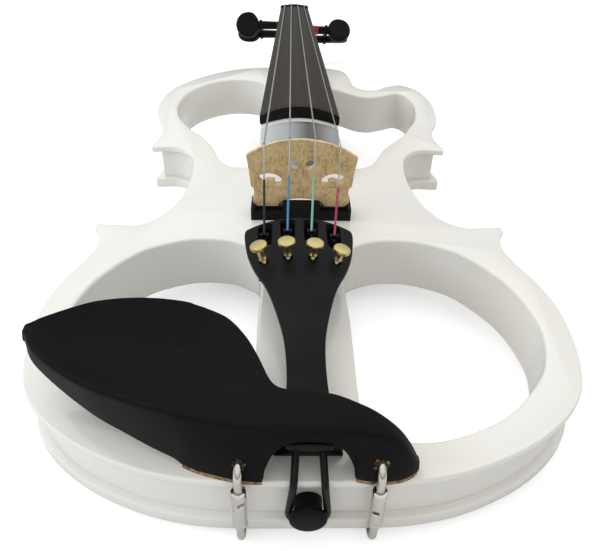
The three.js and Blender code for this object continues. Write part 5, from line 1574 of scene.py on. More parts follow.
@dataclass
class Neck:
    """The neck in one white piece: the tongue, the handle, the pegbox and the scroll."""

    tongue_front: float = 168.0
    tongue_width: float = 41.0
    tongue_crown: float = 4.2
    ramp_power: float = 1.25
    thick_at_nut: float = 13.4
    thick_at_root: float = 15.8
    heel_length: float = 22.0
    heel_foot: float = 2.5
    neck_edge: float = 1.0
    neck_power: float = 0.8
    slope: float = math.radians(35)
    box_length: float = 64.0
    box_wide: float = 25.0
    box_narrow: float = 18.5
    box_deep: float = 24.0
    box_shallow: float = 20.0
    box_shoulder: float = 1.6
    cheek: float = 3.6
    box_floor: float = 3.4
    scroll_radius: float = 13.5
    scroll_eye: float = 3.4
    scroll_width: float = 38.0
    scroll_turns: float = 2.25
    scroll_start: float = 0.75 * math.pi
    scroll_centre_shares: Flat = (1.05, -0.5)
    scroll_winding: float = 0.8
    scroll_widening: float = 1.3
    peg_stations: dict[StringName, float] = field(default_factory=lambda: {
        StringName.G: 0.25, StringName.E: 0.42, StringName.D: 0.62, StringName.A: 0.82})
    peg_below: float = 12.6
    peg_thick: float = 3.3
    peg_thin: float = 2.8

    @property
    def along(self) -> Vector:
        """The way along the pegbox."""
        return Vector((0, math.cos(self.slope), -math.sin(self.slope)))

    @property
    def out(self) -> Vector:
        """The way out of the pegbox."""
        return Vector((0, math.sin(self.slope), math.cos(self.slope)))

    def in_box(self, x: float, along: float, out: float) -> Point:
        """A point of the pegbox."""
        start = Vector((x, PLAYING.nut_line + PLAYING.nut_length, PLAYING.nut_top - self.box_shoulder))
        return tuple(start + self.along * along + self.out * out)

    def peg_axis(self, name: StringName) -> Point:
        """Where a peg's axis crosses the centre line."""
        return self.in_box(0, self.peg_stations[name] * self.box_length, -self.peg_below)

    def peg_radius(self, reach: float) -> float:
        """A peg's radius at a distance towards its head from the centre line."""
        return lerp(self.peg_thick, self.peg_thin, (self.box_wide / 2 - reach) / self.box_wide)

    def tongue(self) -> bpy.types.Object:
        """The ramp in front of the fingerboard and the wedge under it, sunk a little into the body.

        Returns:
            The piece.
        """
        foot = BODY_TOP - 0.4
        end = PLAYING.board_end
        front = self.tongue_front
        last = BODY_LENGTH + 1.2
        places = [lerp(front, end - SEAT, k / 20) for k in range(21)]
        places += [lerp(end + SEAT, last, k / 8) for k in range(9)]
        rings = []
        for y in places:
            before = y < end
            half = self.tongue_width / 2 if before else min(self.tongue_width / 2, PLAYING.board_half(y))
            share = min(1.0, (y - front) / (end - front))
            ramp = math.sin(share * math.pi / 2) ** self.ramp_power
            top = lerp(BODY_TOP + 0.1, PLAYING.seat(end), ramp) if before else PLAYING.seat(y) - 0.05
            crown = self.tongue_crown * min(1.0, 2 * share) if before else PLAYING.hollow(y) - 0.3
            across = [lerp(half, -half, k / 24) for k in range(25)]
            ring = [(x, y, top + max(0.0, crown) * (1 - (x / half) ** 2)) for x in across]
            edge = min(1.6, (top - foot) * 0.8)
            rings.append(rounded([*ring, (-half, y, foot), (half, y, foot)], {0: edge, 24: edge}))
        return Bench.skin("tongue", rings)

    def shaft(self) -> bpy.types.Object:
        """The handle from the body's upper edge to the nut, with the heel's sweep at its root.

        Returns:
            The piece.
        """
        start = BODY_LENGTH - 0.5
        end = PLAYING.nut_line
        places = [start + self.heel_length * (k / 14) ** 1.5 for k in range(15)]
        places += [lerp(start + self.heel_length, end, k / 10) for k in range(1, 11)]
        rings = []
        for y in places:
            plain = lerp(self.thick_at_root, self.thick_at_nut, (y - start) / (end - start))
            share = max(0.0, 1 - (y - start) / self.heel_length)
            full = PLAYING.seat(y) - self.heel_foot
            depth = lerp(plain, full, 1 - math.sqrt(1 - min(1.0, share) ** 2))
            half = PLAYING.board_half(y)
            top = PLAYING.seat(y) - 0.05
            ring = [(half, y, top), (-half, y, top)]
            for k in range(37):
                angle = k / 36 * math.pi
                bow = math.sin(angle) ** self.neck_power if 0 < k < 36 else 0.0
                ring.append((-half * math.cos(angle), y, top - SEAT - lerp(self.neck_edge, depth, bow)))
            rings.append(ring)
        return Bench.skin("shaft", rings)

    def box(self) -> bpy.types.Object:
        """The pegbox before it is hollowed.

        Returns:
            The piece.
        """
        end = self.box_length + self.scroll_radius
        rings = []
        for k in range(13):
            share = k / 12
            half = lerp(self.box_wide, self.box_narrow, share) / 2
            low = -lerp(self.box_deep, self.box_shallow, share)
            across = [lerp(-half, half, j / 16) for j in range(17)]
            ring = [self.in_box(half, share * end, 0), self.in_box(-half, share * end, 0)]
            ring += [self.in_box(x, share * end, low + crown_drop(x, self.box_wide)) for x in across]
            rings.append(rounded(ring, {0: 1.0, 1: 1.0, 2: 1.4, 18: 1.4}))
        return Bench.skin("pegbox", rings)

    def hollow(self) -> bpy.types.Object:
        """The space inside the pegbox.

        Returns:
            The piece that is cut away.
        """
        end = self.box_length + self.scroll_radius
        rings = []
        for k in range(9):
            share = lerp(0.07, self.box_length / end, k / 8)
            half = lerp(self.box_wide, self.box_narrow, share) / 2 - self.cheek
            low = -lerp(self.box_deep, self.box_shallow, share) + self.box_floor
            corners = [(half, self.box_deep), (-half, self.box_deep), (-half, low), (half, low)]
            ring = [self.in_box(x, share * end, out) for x, out in corners]
            rings.append(rounded(ring, {2: 2.0, 3: 2.0}))
        return Bench.skin("pegbox_hollow", rings)

    def sideways(self, name: str, line: Sequence[Flat], half: float, edge: float) -> bpy.types.Object:
        """A flat outline in the pegbox's side plane, pulled to both sides, with a cut-back edge.

        Args:
            name: the disc's name.
            line: its points.
            half: half of its width.
            edge: how far its edge is cut back.

        Returns:
            The disc.
        """
        profile = [(edge, -half), (0, -half + edge), (0, half - edge), (edge, half)]
        disc = Bench.stack(name, line, profile)
        turn = Matrix((self.along, self.out, Vector((1, 0, 0)))).transposed().to_4x4()
        disc.data.transform(Matrix.Translation(Vector(self.in_box(0, 0, 0))) @ turn)
        return disc

    def scroll(self) -> list[bpy.types.Object]:
        """The scroll, as discs that shrink and widen as it winds up.

        Returns:
            The discs.
        """
        centre = (self.box_length + self.scroll_radius * self.scroll_centre_shares[0],
                  self.scroll_radius * self.scroll_centre_shares[1])
        last = self.scroll_turns * 2 * math.pi
        stage = math.pi / 4
        discs = []
        start = 0.0
        while start <= last - 2 * math.pi + stage / 2:
            line = []
            for k in range(49):
                angle = start + k / 48 * 2 * math.pi
                reach = lerp(self.scroll_radius, self.scroll_eye, min(1, angle / last) ** self.scroll_winding)
                turned = angle + self.scroll_start
                line.append((centre[0] + reach * math.cos(turned), centre[1] + reach * math.sin(turned)))
            wide = lerp(self.box_narrow, self.scroll_width, ((start + 1.3) / last) ** self.scroll_widening)
            discs.append(self.sideways("volute", line, wide / 2, 0.5))
            start += stage
        eye = [(centre[0] + self.scroll_eye * math.cos(k / 32 * 2 * math.pi),
                centre[1] + self.scroll_eye * math.sin(k / 32 * 2 * math.pi)) for k in range(32)]
        discs.append(self.sideways("eye", eye, self.scroll_width / 2, 0.9))
        return discs

    def build(self) -> bpy.types.Object:
        """The neck, in one piece.

        Returns:
            The neck.
        """
        box = Bench.join(self.box(), *self.scroll())
        nut_back = PLAYING.nut_line + PLAYING.nut_length
        low = PLAYING.nut_top - PLAYING.nut_depth
        hollow = Bench.cut(self.hollow(), Bench.block("keep", (-30, 400, -60), (30, nut_back + 0.6, 80)))
        Bench.cut(
            box, hollow,
            Bench.block("nut_room", (-20, PLAYING.nut_line - 0.1, low), (20, nut_back + 0.1, 80)),
            Bench.block("before", (-30, 400, -60), (30, PLAYING.nut_line - 12, 80)),
        )
        for name in StringName:
            reach = self.box_wide / 2 + OVERRUN
            side = name.peg_side
            Bench.cut(box, Bench.turned(
                "peg_way",
                [(0, -reach), (self.peg_radius(-reach) + SEAT, -reach), (self.peg_radius(reach) + SEAT, reach),
                 (0, reach)], standing(self.peg_axis(name), Vector((side, 0, 0))), 32))
        return Bench.join(self.tongue(), self.shaft(), box)

    def dress(self) -> None:
        """Builds and finishes the neck, with shade and a dark reflection of the bridge painted on the slope under the
        fingerboard's end.
        """
        neck = Bench.paint(self.build(), Finish.LACQUER, Finish.SHADED_LACQUER)
        # Faces of the slope under the fingerboard's end take the second lacquer, which has painted shade and a painted
        # reflection.
        for face in neck.data.polygons:
            painted_shade_face = face.center.y < PLAYING.board_end + 1 and face.normal.y < -0.15 and face.center.z > 33
            face.material_index = 1 if painted_shade_face and abs(face.center.x) < self.tongue_width / 2 - 0.5 else 0
        Bench.finish(neck, Finish.LACQUER, "instrument", "paint", "neck", angle=28)


NECK = Neck()


# Bridge and pickup


@dataclass
class Bridge:
    """The bare maple bridge, thinner at its top, and the pickup tray under its feet."""

    tray_top: float = 30.0
    feet: float = 31.1
    wide: float = 49.4
    foot_thick: float = 4.4
    top_thick: float = 1.6
    side: tuple[Flat, ...] = (
        (0.42, 0), (0.81, 0), (0.885, 0.07), (0.9, 0.14), (0.87, 0.25), (0.872, 0.33), (0.885, 0.385),
        (0.918, 0.41), (0.94, 0.56), (0.955, 0.72),
    )
    arch: Point = (0.42, 0.03, 0.14)
    eye: tuple[Flat, ...] = (
        (0.251, 0.901), (0.196, 0.943), (0.128, 0.939), (0.053, 0.879), (0.062, 0.831), (0.092, 0.781),
        (0.16, 0.792), (0.228, 0.848),
    )
    kidney: tuple[Flat, ...] = (
        (0.784, 0.615), (0.711, 0.665), (0.6, 0.685), (0.475, 0.66), (0.375, 0.585), (0.36, 0.49),
        (0.42, 0.45), (0.487, 0.462), (0.49, 0.525), (0.6, 0.55), (0.711, 0.5), (0.765, 0.55),
    )
    scores: tuple[Flat, ...] = ((-20.2, -11.7), (12.4, 20.3))
    score_height: float = 41.0
    tray: Flat = (46.0, 11.0)
    block: Flat = (17.0, 4.6)
    wall: Flat = (1.6, 1.8)

    def at(self, across: float, up: float) -> Flat:
        """A point of the bridge's outline."""
        half = self.wide / 2
        return (across * half, self.feet + up * (PLAYING.crest(half) - SEAT - self.feet))

    def outline(self) -> list[Flat]:
        """The bridge's outline, counter-clockwise from the arch.

        Returns:
            Its points.
        """
        half = self.wide / 2
        side = [self.at(*self.side[0])] + flowing([self.at(*point) for point in self.side[1:]], False, 6)
        across = [lerp(half, -half, k / 40) for k in range(41)]
        top = [(x, PLAYING.crest(x) - SEAT) for x in across]
        span, low, height = self.arch
        angles = [math.pi * (1 - k / 20) for k in range(21)]
        arch = [self.at(span * math.cos(a), low + height * math.sin(a)) for a in angles]
        return [*side, *top, *mirrored(side), *arch]

    def dress_bridge(self) -> None:
        """Builds and finishes the bridge."""
        line = self.outline()
        holes = []
        for shares in (self.eye, self.kidney):
            edge = flowing([self.at(*point) for point in shares], True, 6)
            holes += [edge, mirrored(edge)]
        holes = [hole if signed_area(hole) < 0 else hole[::-1] for hole in holes]
        middle = PLAYING.bridge_line
        place = Matrix(((1, 0, 0, 0), (0, 0, -1, middle), (0, 1, 0, 0), (0, 0, 0, 1)))
        bridge = Bench.sheet("bridge_wood", line, holes, self.foot_thick, 0.3, place)
        tall = PLAYING.crest(0) - self.feet
        for vertex in bridge.data.vertices:
            share = (vertex.co.z - self.feet) / tall
            thin = lerp(1.0, self.top_thick / self.foot_thick, share)
            vertex.co.y = middle + (vertex.co.y - middle) * thin
        for start, end in self.scores:
            front = middle - self.foot_thick / 2
            Bench.cut(bridge, Bench.block(
                "score", (start, front - 1, self.score_height - 0.14), (end, front + 0.75, self.score_height + 0.14)))
        # The upward faces of the bridge's top take the paler maple, a painted highlight.
        Bench.paint(bridge, Finish.MAPLE, Finish.MAPLE_EDGE)
        for face in bridge.data.polygons:
            face.material_index = 1 if face.normal.z > 0.75 and face.center.z > self.score_height - 1 else 0
        Bench.finish(bridge, Finish.MAPLE, "instrument", "maple", "bridge")

    def dress_tray(self) -> None:
        """Builds and finishes the tray and the strip that feels the strings."""
        low = BODY_TOP + HAIR
        half, front = self.tray[0] / 2, PLAYING.bridge_line - self.tray[1] / 2
        back = PLAYING.bridge_line + self.tray[1] / 2
        block_back = PLAYING.bridge_line - self.foot_thick / 2 - SEAT
        tray = Bench.block("tray", (-half, front, low), (half, back, self.tray_top))
        Bench.join(
            tray,
            Bench.block("block", (-self.block[0] / 2, front, low),
                        (self.block[0] / 2, block_back, self.tray_top + self.block[1])),
            *(Bench.block("wall", (min(way * half, way * (half - self.wall[0])), front, low),
                          (max(way * half, way * (half - self.wall[0])), back, self.tray_top + self.wall[1]))
              for way in (-1, 1)))
        Bench.round_edges(tray, 0.35, 3)
        Bench.finish(tray, Finish.TRAY, "instrument", "plastic", "pickup_tray")
        strip = Bench.block(
            "piezo", (-20.5, PLAYING.bridge_line - 2.3, self.tray_top + SEAT / 2),
            (20.5, PLAYING.bridge_line + 2.3, self.feet - SEAT / 2), 0.2, 2)
        Bench.finish(strip, Finish.BLACK_STEEL, "instrument", "steel", "piezo_strip")


# Pegs and strings


@dataclass
class Stringing:
    """The four pegs with their windings, and the strings with their silk."""

    radii: dict[StringName, float] = field(default_factory=lambda: {
        StringName.G: 0.4, StringName.D: 0.38, StringName.A: 0.34, StringName.E: 0.24})
    turns: dict[StringName, float] = field(default_factory=lambda: {
        StringName.G: 18.0, StringName.D: -21.0, StringName.A: -13.0, StringName.E: -72.0})
    wound_at: dict[StringName, float] = field(default_factory=lambda: {
        StringName.G: -2.6, StringName.D: 2.4, StringName.A: -2.2, StringName.E: 2.6})
    wind_turns: int = 4
    pitch: float = 1.35
    wire: float = 0.42
    collar: float = 4.8
    collar_at: float = 29.0
    collar_long: float = 3.0
    throat: float = 3.4
    head_long: float = 20.5
    head_tall: float = 23.0
    head_thick: float = 8.0
    head_line: tuple[Flat, ...] = (
        (0, 0.3), (0.03, 0.46), (0.1, 0.66), (0.2, 0.86), (0.3, 0.96), (0.4, 1), (0.52, 0.99), (0.66, 0.93),
        (0.8, 0.78), (0.9, 0.58), (0.97, 0.34), (1, 0.06),
    )
    silk_radius: float = 0.46
    silk_shares: dict[StringName, float] = field(default_factory=lambda: {
        StringName.G: 0.6, StringName.D: 0.59, StringName.A: 0.6, StringName.E: 0.54})
    wrap_off: float = 2.9
    wrap_long: float = 7.4
    wrap_thick: float = 0.5

    def head(self) -> bpy.types.Object:
        """A peg's thumb piece along +Z, with a hollow in each face.

        Returns:
            The thumb piece.
        """
        line = flowing(self.head_line, False, 3)
        rings = []
        for along, high in line:
            tall = max(0.05, high) * self.head_tall / 2
            end = max(0.0, along - 0.62) / 0.38
            start = max(0.0, 0.16 - along) / 0.16
            thick = self.head_thick / 2 * math.sqrt(max(0.03, 1 - end ** 2.4)) * (1 - 0.25 * start ** 2)
            bell = math.sin(math.pi * min(1.0, along / 0.95)) ** 0.8 if 0 < along < 0.95 else 0.0
            ring = []
            for k in range(48):
                angle = k / 48 * 2 * math.pi
                cos, sin = math.cos(angle), math.sin(angle)
                flat = math.copysign(abs(sin) ** 0.62, sin)
                dish = 1 - 0.36 * bell * max(0.0, 1 - (cos / 0.86) ** 2) ** 1.2
                ring.append((math.copysign(abs(cos) ** 0.9, cos) * tall, thick * flat * dish, along * self.head_long))
            rings.append(ring)
        return Bench.skin("peg_head", rings)

    def peg(self, name: StringName) -> bpy.types.Object:
        """One peg, with its head on its own side.

        Args:
            name: the peg's string.

        Returns:
            The peg.
        """
        tip = -NECK.box_wide / 2
        end = self.collar_at + self.collar_long
        shaft = Bench.turned(f"{name.value}_peg_wood", [
            (0, tip - 1), (NECK.peg_radius(tip) - 0.7, tip - 1), (NECK.peg_radius(tip) - 0.1, tip - 0.5),
            (NECK.peg_radius(tip), tip),
            (NECK.peg_radius(self.collar_at), self.collar_at - 0.1), (4.1, self.collar_at),
            (self.collar - 0.25, self.collar_at + 0.35), (self.collar, self.collar_at + 0.9),
            (self.collar - 0.1, end - 1.1), (self.collar - 0.6, end - 0.55), (self.throat + 0.3, end - 0.25),
            (self.throat, end + 0.2), (self.throat, end + 1.2), (self.throat + 0.2, end + 2.6), (0, end + 4)],
            Matrix.Identity(4), 48)
        head = self.head()
        head.data.transform(Matrix.Translation((0, 0, end + SEAT)))
        peg = Bench.join(shaft, head)
        side = name.peg_side
        turn = Matrix.Rotation(math.radians(90 * side), 4, "Y")
        twist = Matrix.Rotation(side * (-NECK.slope - math.radians(self.turns[name])), 4, "X")
        upright = Matrix.Rotation(math.radians(90), 4, "Z")
        peg.data.transform(Matrix.Translation(Vector(NECK.peg_axis(name))) @ twist @ turn @ upright)
        return peg

    def winding(self, name: StringName) -> bpy.types.Object:
        """The turns of string on a peg.

        Args:
            name: the peg's string.

        Returns:
            The winding.
        """
        _, y, z = NECK.peg_axis(name)
        middle = self.wound_at[name]
        radius = NECK.peg_radius(name.peg_side * middle) + SEAT + self.wire
        steps = self.wind_turns * 28
        points = []
        for step in range(steps + 1):
            angle = step / 28 * 2 * math.pi + 0.3 * math.pi
            x = middle + (step / steps - 0.5) * self.wind_turns * self.pitch
            points.append((x, y + radius * math.cos(angle), z + radius * math.sin(angle)))
        return Bench.tube(f"{name.value}_winding", points, self.wire, 12)

    def dress_pegs(self) -> None:
        """Builds and finishes the pegs, their windings and the red silk on one of them."""
        for name in StringName:
            body = f"peg_{name.value}_body"
            Bench.finish(self.peg(name), Finish.PEG_WOOD, body, "ebony", f"peg_{name.value}")
            winding = self.winding(name)
            Bench.finish(winding, Finish.WOUND_TURNS, body, "steel", f"winding_{name.value}", angle=60)
        start = NECK.box_wide / 2 + self.wrap_off
        inner = NECK.peg_radius(start + self.wrap_long) + 0.02
        outer = inner + self.wrap_thick
        profile = [(inner, start), (outer - 0.1, start)]
        for k in range(15):
            place = lerp(start, start + self.wrap_long, (k + 0.5) / 15)
            profile += [(outer - 0.12, place - 0.2), (outer, place)]
        profile += [(outer - 0.1, start + self.wrap_long), (inner, start + self.wrap_long)]
        wrap = Bench.turned("silk_wrap", profile, standing(NECK.peg_axis(StringName.E), Vector((1, 0, 0))), 48)
        Bench.finish(wrap, Finish.SILK_WRAP, "peg_e_body", "silk_red", "peg_e_silk_wrap", angle=60)

    def on_bridge(self, name: StringName) -> Point:
        """Where a string's centre crosses the bridge."""
        x = name.spread * PLAYING.at_bridge
        return (x, PLAYING.bridge_line, PLAYING.crest(x) + self.radii[name])

    def string_line(self, name: StringName) -> list[Point]:
        """A string's centre line from the bridge to its winding.

        Args:
            name: the string.

        Returns:
            Its points.
        """
        radius = self.radii[name]
        nut_x = name.spread * PLAYING.at_nut
        top = PLAYING.nut_top - crown_drop(nut_x, PLAYING.board_curve) + radius + SEAT
        on_nut = (nut_x, PLAYING.nut_line + SEAT, top)
        behind = (nut_x, PLAYING.nut_line + PLAYING.nut_length + 2 * SEAT + radius, top - PLAYING.nut_rise)
        _, y, z = NECK.peg_axis(name)
        place = self.wound_at[name]
        wound = NECK.peg_radius(place) + SEAT + self.wire
        meet = (place, y, z + wound + SEAT + radius + self.wire)
        return [self.on_bridge(name), on_nut, *eased_corner(on_nut, behind, meet, 2.0, 5), meet]

    def dress_strings(self) -> None:
        """Builds and finishes the strings and the silk on their lower ends."""
        for name in StringName:
            metal = Finish.STEEL if name is StringName.E else Finish.WOUND
            line = self.string_line(name)
            string = Bench.tube(f"{name.value}_string", line, self.radii[name], 16)
            Bench.finish(string, metal, "instrument", "steel", f"string_{name.value}", angle=60)
            self.dress_silk(name, metal)

    def dress_silk(self, name: StringName, metal: Finish) -> None:
        """The string's lower end, wrapped in silk up to its share, and bare from there to the bridge.

        Args:
            name: the string.
            metal: the bare string's finish.
        """
        radius = self.radii[name]
        start = Vector(TAIL.hook_top(name)) - Vector((0, 0, TAIL.hook_rise / 2))
        run = Vector(self.on_bridge(name)) - start
        long = run.length - radius - 2 * SEAT - 0.8
        end = long * self.silk_shares[name]
        wide = self.silk_radius
        profile = [(0, 0), (wide - 0.12, 0), (wide, 0.2)]
        profile += [(wide, place) for place in range(1, int(end))]
        profile += [(wide, end - 1.2), (radius + 0.06, end), (radius, end + 0.1), (radius, long), (0, long)]
        silk = Bench.turned(f"{name.value}_silk", profile, standing(tuple(start), run), 24)
        word = {"g": "black", "d": "blue", "a": "green", "e": "red"}[name.value]
        Bench.paint(silk, Finish[f"SILK_{name.name}"], metal)
        split = start + run.normalized() * end
        for face in silk.data.polygons:
            face.material_index = 1 if (face.center - split).dot(run) > 0 else 0
        Bench.finish(silk, metal, "instrument", f"silk_{word}", f"silk_{name.value}", angle=60)


# Tailpiece and fine tuners


@dataclass
class Tailpiece:
    """The tailpiece with its four fine tuners."""

    length: float = 104.5
    tail: float = 3.0
    head_top: float = 46.8
    tail_top: float = 39.0
    width: float = 43.4
    curve: float = 52.0
    wall: float = 3.2
    swing: float = -1.9
    edge_share: float = 0.45
    bow: float = 3.0
    widths: tuple[Flat, ...] = (
        (0, 0.32), (0.04, 0.345), (0.12, 0.315), (0.22, 0.288), (0.3, 0.29), (0.383, 0.318), (0.507, 0.43),
        (0.627, 0.585), (0.737, 0.797), (0.82, 0.91), (0.88, 0.96), (0.975, 1), (1, 0.97),
    )
    slot: Flat = (5.0, 14.0)
    slot_from_head: float = 1.8
    offsets: dict[StringName, float] = field(default_factory=lambda: {
        StringName.G: -0.636, StringName.D: -0.217, StringName.A: 0.217, StringName.E: 0.636})
    stands: dict[StringName, float] = field(default_factory=lambda: {
        StringName.G: 7.8, StringName.D: 7.6, StringName.A: 6.9, StringName.E: 6.4})
    tuner_from_head: float = 24.0
    screw: float = 0.9
    stem: float = 1.5
    stem_lift: float = 1.0
    knob: float = 3.3
    knob_thick: float = 1.8
    knob_edge: float = 0.36
    knurl: float = 0.16
    teeth: int = 40
    tip: float = 3.4
    lever_thick: float = 3.6
    bar: float = 2.2
    pivot_from_head: float = 11.5
    pivot_below: float = 9.0
    pin: float = 1.1
    hook_rise: float = 1.4
    fork_depth: float = 3.0
    lug_thick: float = 1.1
    lug_radius: float = 2.3

    def half(self, share: float) -> float:
        """Half of the tailpiece's width at a share of its length.

        Args:
            share: the share, from the tail.

        Returns:
            Half of the width.
        """
        line = flowing(self.widths, False, 8)
        step = next((k for k, (place, _) in enumerate(line) if k and place >= share), 1)
        (before, narrow), (after, wide) = line[step - 1], line[step]
        return lerp(narrow, wide, (share - before) / (after - before)) * self.width / 2

    def surface(self, share: float, offset: float) -> Point:
        """A point of its upper face.

        Args:
            share: the share of its length.
            offset: how far to the side.

        Returns:
            The point.
        """
        bow = self.bow * share ** 3 * (2 * offset / self.width) ** 2
        return (self.swing * share + offset, self.tail + share * self.length - bow,
                lerp(self.tail_top, self.head_top, share) - crown_drop(offset, self.curve))

    def offset(self, name: StringName) -> float:
        """How far to the side a tuner stands."""
        return self.offsets[name] * self.width / 2

    def seat(self, name: StringName) -> Point:
        """Where a tuner's screw goes through the upper face."""
        return self.surface((self.length - self.tuner_from_head) / self.length, self.offset(name))

    def up(self, name: StringName) -> Vector:
        """The way in which a tuner's screw stands."""
        lean = math.asin(self.offset(name) / self.curve)
        return Vector((math.sin(lean), 0, math.cos(lean)))

    def pivot_top(self, name: StringName) -> Point:
        """The upper face above a lever's pin."""
        return self.surface((self.length - self.pivot_from_head) / self.length, self.offset(name))

    def hook_top(self, name: StringName) -> Point:
        """The top of a lever's fork, where the string starts."""
        x, y, z = self.pivot_top(name)
        return (x, y + self.bar, z + self.hook_rise)

    def along_up(self, name: StringName, distance: float) -> Vector:
        """A point on a tuner's axis."""
        return Vector(self.seat(name)) + self.up(name) * distance

    def shell(self) -> bpy.types.Object:
        """The arched plate, with soft edges.

        Returns:
            The plate.
        """
        rings = []
        places = [0, 0.0008, 0.003, *(k / 60 for k in range(1, 60)), 0.997, 0.9992, 1]
        count = 40
        for place in places:
            near = min(place, 1 - place)
            draw = 0.9 if near == 0 else 0.35 if near < 0.001 else 0.08 if near < 0.0035 else 0.0
            half = self.half(place) - draw
            upper, lower = [], []
            for k in range(count + 1):
                offset = half * math.cos(k / count * math.pi)
                x, y, z = self.surface(place, offset)
                thick = self.wall * lerp(self.edge_share, 1, math.sin(k / count * math.pi))
                upper.append((x, y, z - draw * 0.7))
                lower.append((x, y, z - thick + draw * 0.5))
            ring = [*upper, *reversed(lower)]
            rings.append(rounded(ring, {0: 0.5, count: 0.5, count + 1: 0.5, 2 * count + 1: 0.5}, 3))
        return Bench.skin("tailpiece_plate", rings)

    def slot_end(self, name: StringName) -> float:
        """Where a slot ends towards the bridge."""
        bow = self.bow * (2 * self.offset(name) / self.width) ** 2
        return self.tail + self.length - self.slot_from_head - bow

    def slot_line(self, name: StringName) -> list[Flat]:
        """A slot's outline, counter-clockwise, with a round inner end.

        Args:
            name: the slot's string.

        Returns:
            Its points.
        """
        x, _, _ = self.pivot_top(name)
        end = self.slot_end(name)
        start = end - self.slot[1]
        half = self.slot[0] / 2
        turn = [math.pi * (1 + k / 16) for k in range(17)]
        line = [(x + half * math.cos(a), start + half + half * math.sin(a)) for a in turn]
        corner = 1.2
        line += [(x + half - corner + corner * math.cos(a), end - corner + corner * math.sin(a))
                 for a in (math.pi / 2 * k / 6 for k in range(7))]
        line += [(x - half + corner + corner * math.cos(a), end - corner + corner * math.sin(a))
                 for a in (math.pi / 2 * (1 + k / 6) for k in range(7))]
        return line

    def dress_plate(self) -> None:
        """Builds and finishes the tailpiece."""
        plate = self.shell()
        for name in StringName:
            x, y, z = self.pivot_top(name)
            gap = self.lever_thick / 2 + SEAT
            end = self.slot_end(name)
            for way in (-1, 1):
                near, far = x + way * gap, x + way * (gap + self.lug_thick)
                low = (min(near, far), y - self.lug_radius, z - self.pivot_below)
                high = (max(near, far), y + self.lug_radius, z - self.wall / 2)
                Bench.join(
                    plate, Bench.block("lug", low, high, 0.2, 2),
                    Bench.turned("boss", [(0, 0), (self.lug_radius, 0), (self.lug_radius, self.lug_thick),
                                          (0, self.lug_thick)],
                                 standing((min(near, far), y, z - self.pivot_below), Vector((1, 0, 0))), 32))
                Bench.join(plate, Bench.block(
                    "side_wall", (low[0], end - self.slot[1], low[2]), (high[0], end, high[2]), 0.2, 2))
            reach = gap + self.lug_thick
            Bench.join(plate, Bench.block(
                "head_wall", (x - reach, end - self.lug_thick / 2, low[2]),
                (x + reach, end + self.lug_thick / 2, high[2]), 0.2, 2))
            Bench.cut(
                plate,
                Bench.stack("slot", self.slot_line(name), [
                    (0, z - self.wall * 1.6), (0, z - 0.55), (-0.12, z - 0.28), (-0.45, z + 0.1), (-0.9, z + 3)]),
                Bench.turned("stem_way", [(0, -8), (self.stem + SEAT, -8), (self.stem + SEAT, -0.2),
                                          (self.stem + SEAT + 0.25, 0.1), (self.stem + SEAT + 0.3, 4), (0, 4)],
                             standing(self.seat(name), self.up(name)), 40),
                Bench.tube("pin_way", [(x - gap - 2, y, z - self.pivot_below), (x + gap + 2, y, z - self.pivot_below)],
                           self.pin + SEAT, 24))
        for way in (-1, 1):
            inner, outer = Vector(GUT.end(way)), Vector(GUT.corner(way))
            deep = inner + (inner - outer).normalized() * SEAT
            Bench.cut(plate, Bench.tube("gut_way", [tuple(outer), tuple(deep)], GUT.radius + SEAT, 24))
        Bench.finish(plate, Finish.FITTING, "instrument", "plastic", "tailpiece")

    def dress_tuners(self) -> None:
        """Builds and finishes the screws, their heads and the levers."""
        for name in StringName:
            self.dress_screw(name)
            self.dress_head(name)
            self.dress_lever(name)

    def dress_screw(self, name: StringName) -> None:
        """One threaded screw.

        Args:
            name: the tuner's string.
        """
        low = -self.wall - self.tip
        top = self.stands[name] - self.knob_thick - SEAT
        profile = [(0, low), (self.screw * 0.55, low), (self.screw * 0.9, low + 0.35)]
        turns = int((top - low - 1) / 0.5)
        for k in range(turns):
            place = low + 0.6 + k * 0.5
            profile += [(self.screw, place), (self.screw * 0.82, place + 0.25)]
        profile += [(self.screw * 0.9, top - 0.1), (0, top)]
        screw = Bench.turned(f"{name.value}_screw", profile, standing(self.seat(name), self.up(name)), 28)
        Bench.finish(screw, Finish.GOLD, f"tuner_shank_{name.value}_body", "gold",
                     f"tuner_shank_{name.value}", angle=50)

    def dress_head(self, name: StringName) -> None:
        """One knurled head on its flared stem.

        Args:
            name: the tuner's string.
        """
        top = self.stands[name]
        under = top - self.knob_thick
        place = standing(self.seat(name), self.up(name))
        edge, knob = self.knob_edge, self.knob
        disc = Bench.fluted(f"{name.value}_head", [
            (knob - edge * 2, under, 0), (knob - edge, under + 0.06, 0.02), (knob - 0.1, under + edge * 0.7, 0.1),
            (knob, under + edge, self.knurl), (knob, top - edge, self.knurl),
            (knob - 0.1, top - edge * 0.7, 0.1), (knob - edge, top - 0.06, 0.02), (knob - edge * 1.6, top, 0)],
            self.teeth, place)
        bore = self.screw + SEAT
        foot = self.stem_lift
        stem = Bench.turned("stem", [
            (bore, foot), (self.stem + 0.1, foot), (self.stem + 0.25, foot + 0.12), (self.stem + 0.22, foot + 0.4),
            (self.stem + 0.02, foot + 0.9), (self.stem - 0.06, (foot + under) / 2), (self.stem, under - 0.7),
            (self.stem + 0.3, under - 0.2), (self.stem + 0.4, under + 0.3), (bore, under + 0.3)], place, 40)
        head = Bench.join(disc, stem)
        Bench.finish(head, Finish.GOLD, f"tuner_head_{name.value}_body", "gold",
                     f"tuner_head_{name.value}", angle=24)

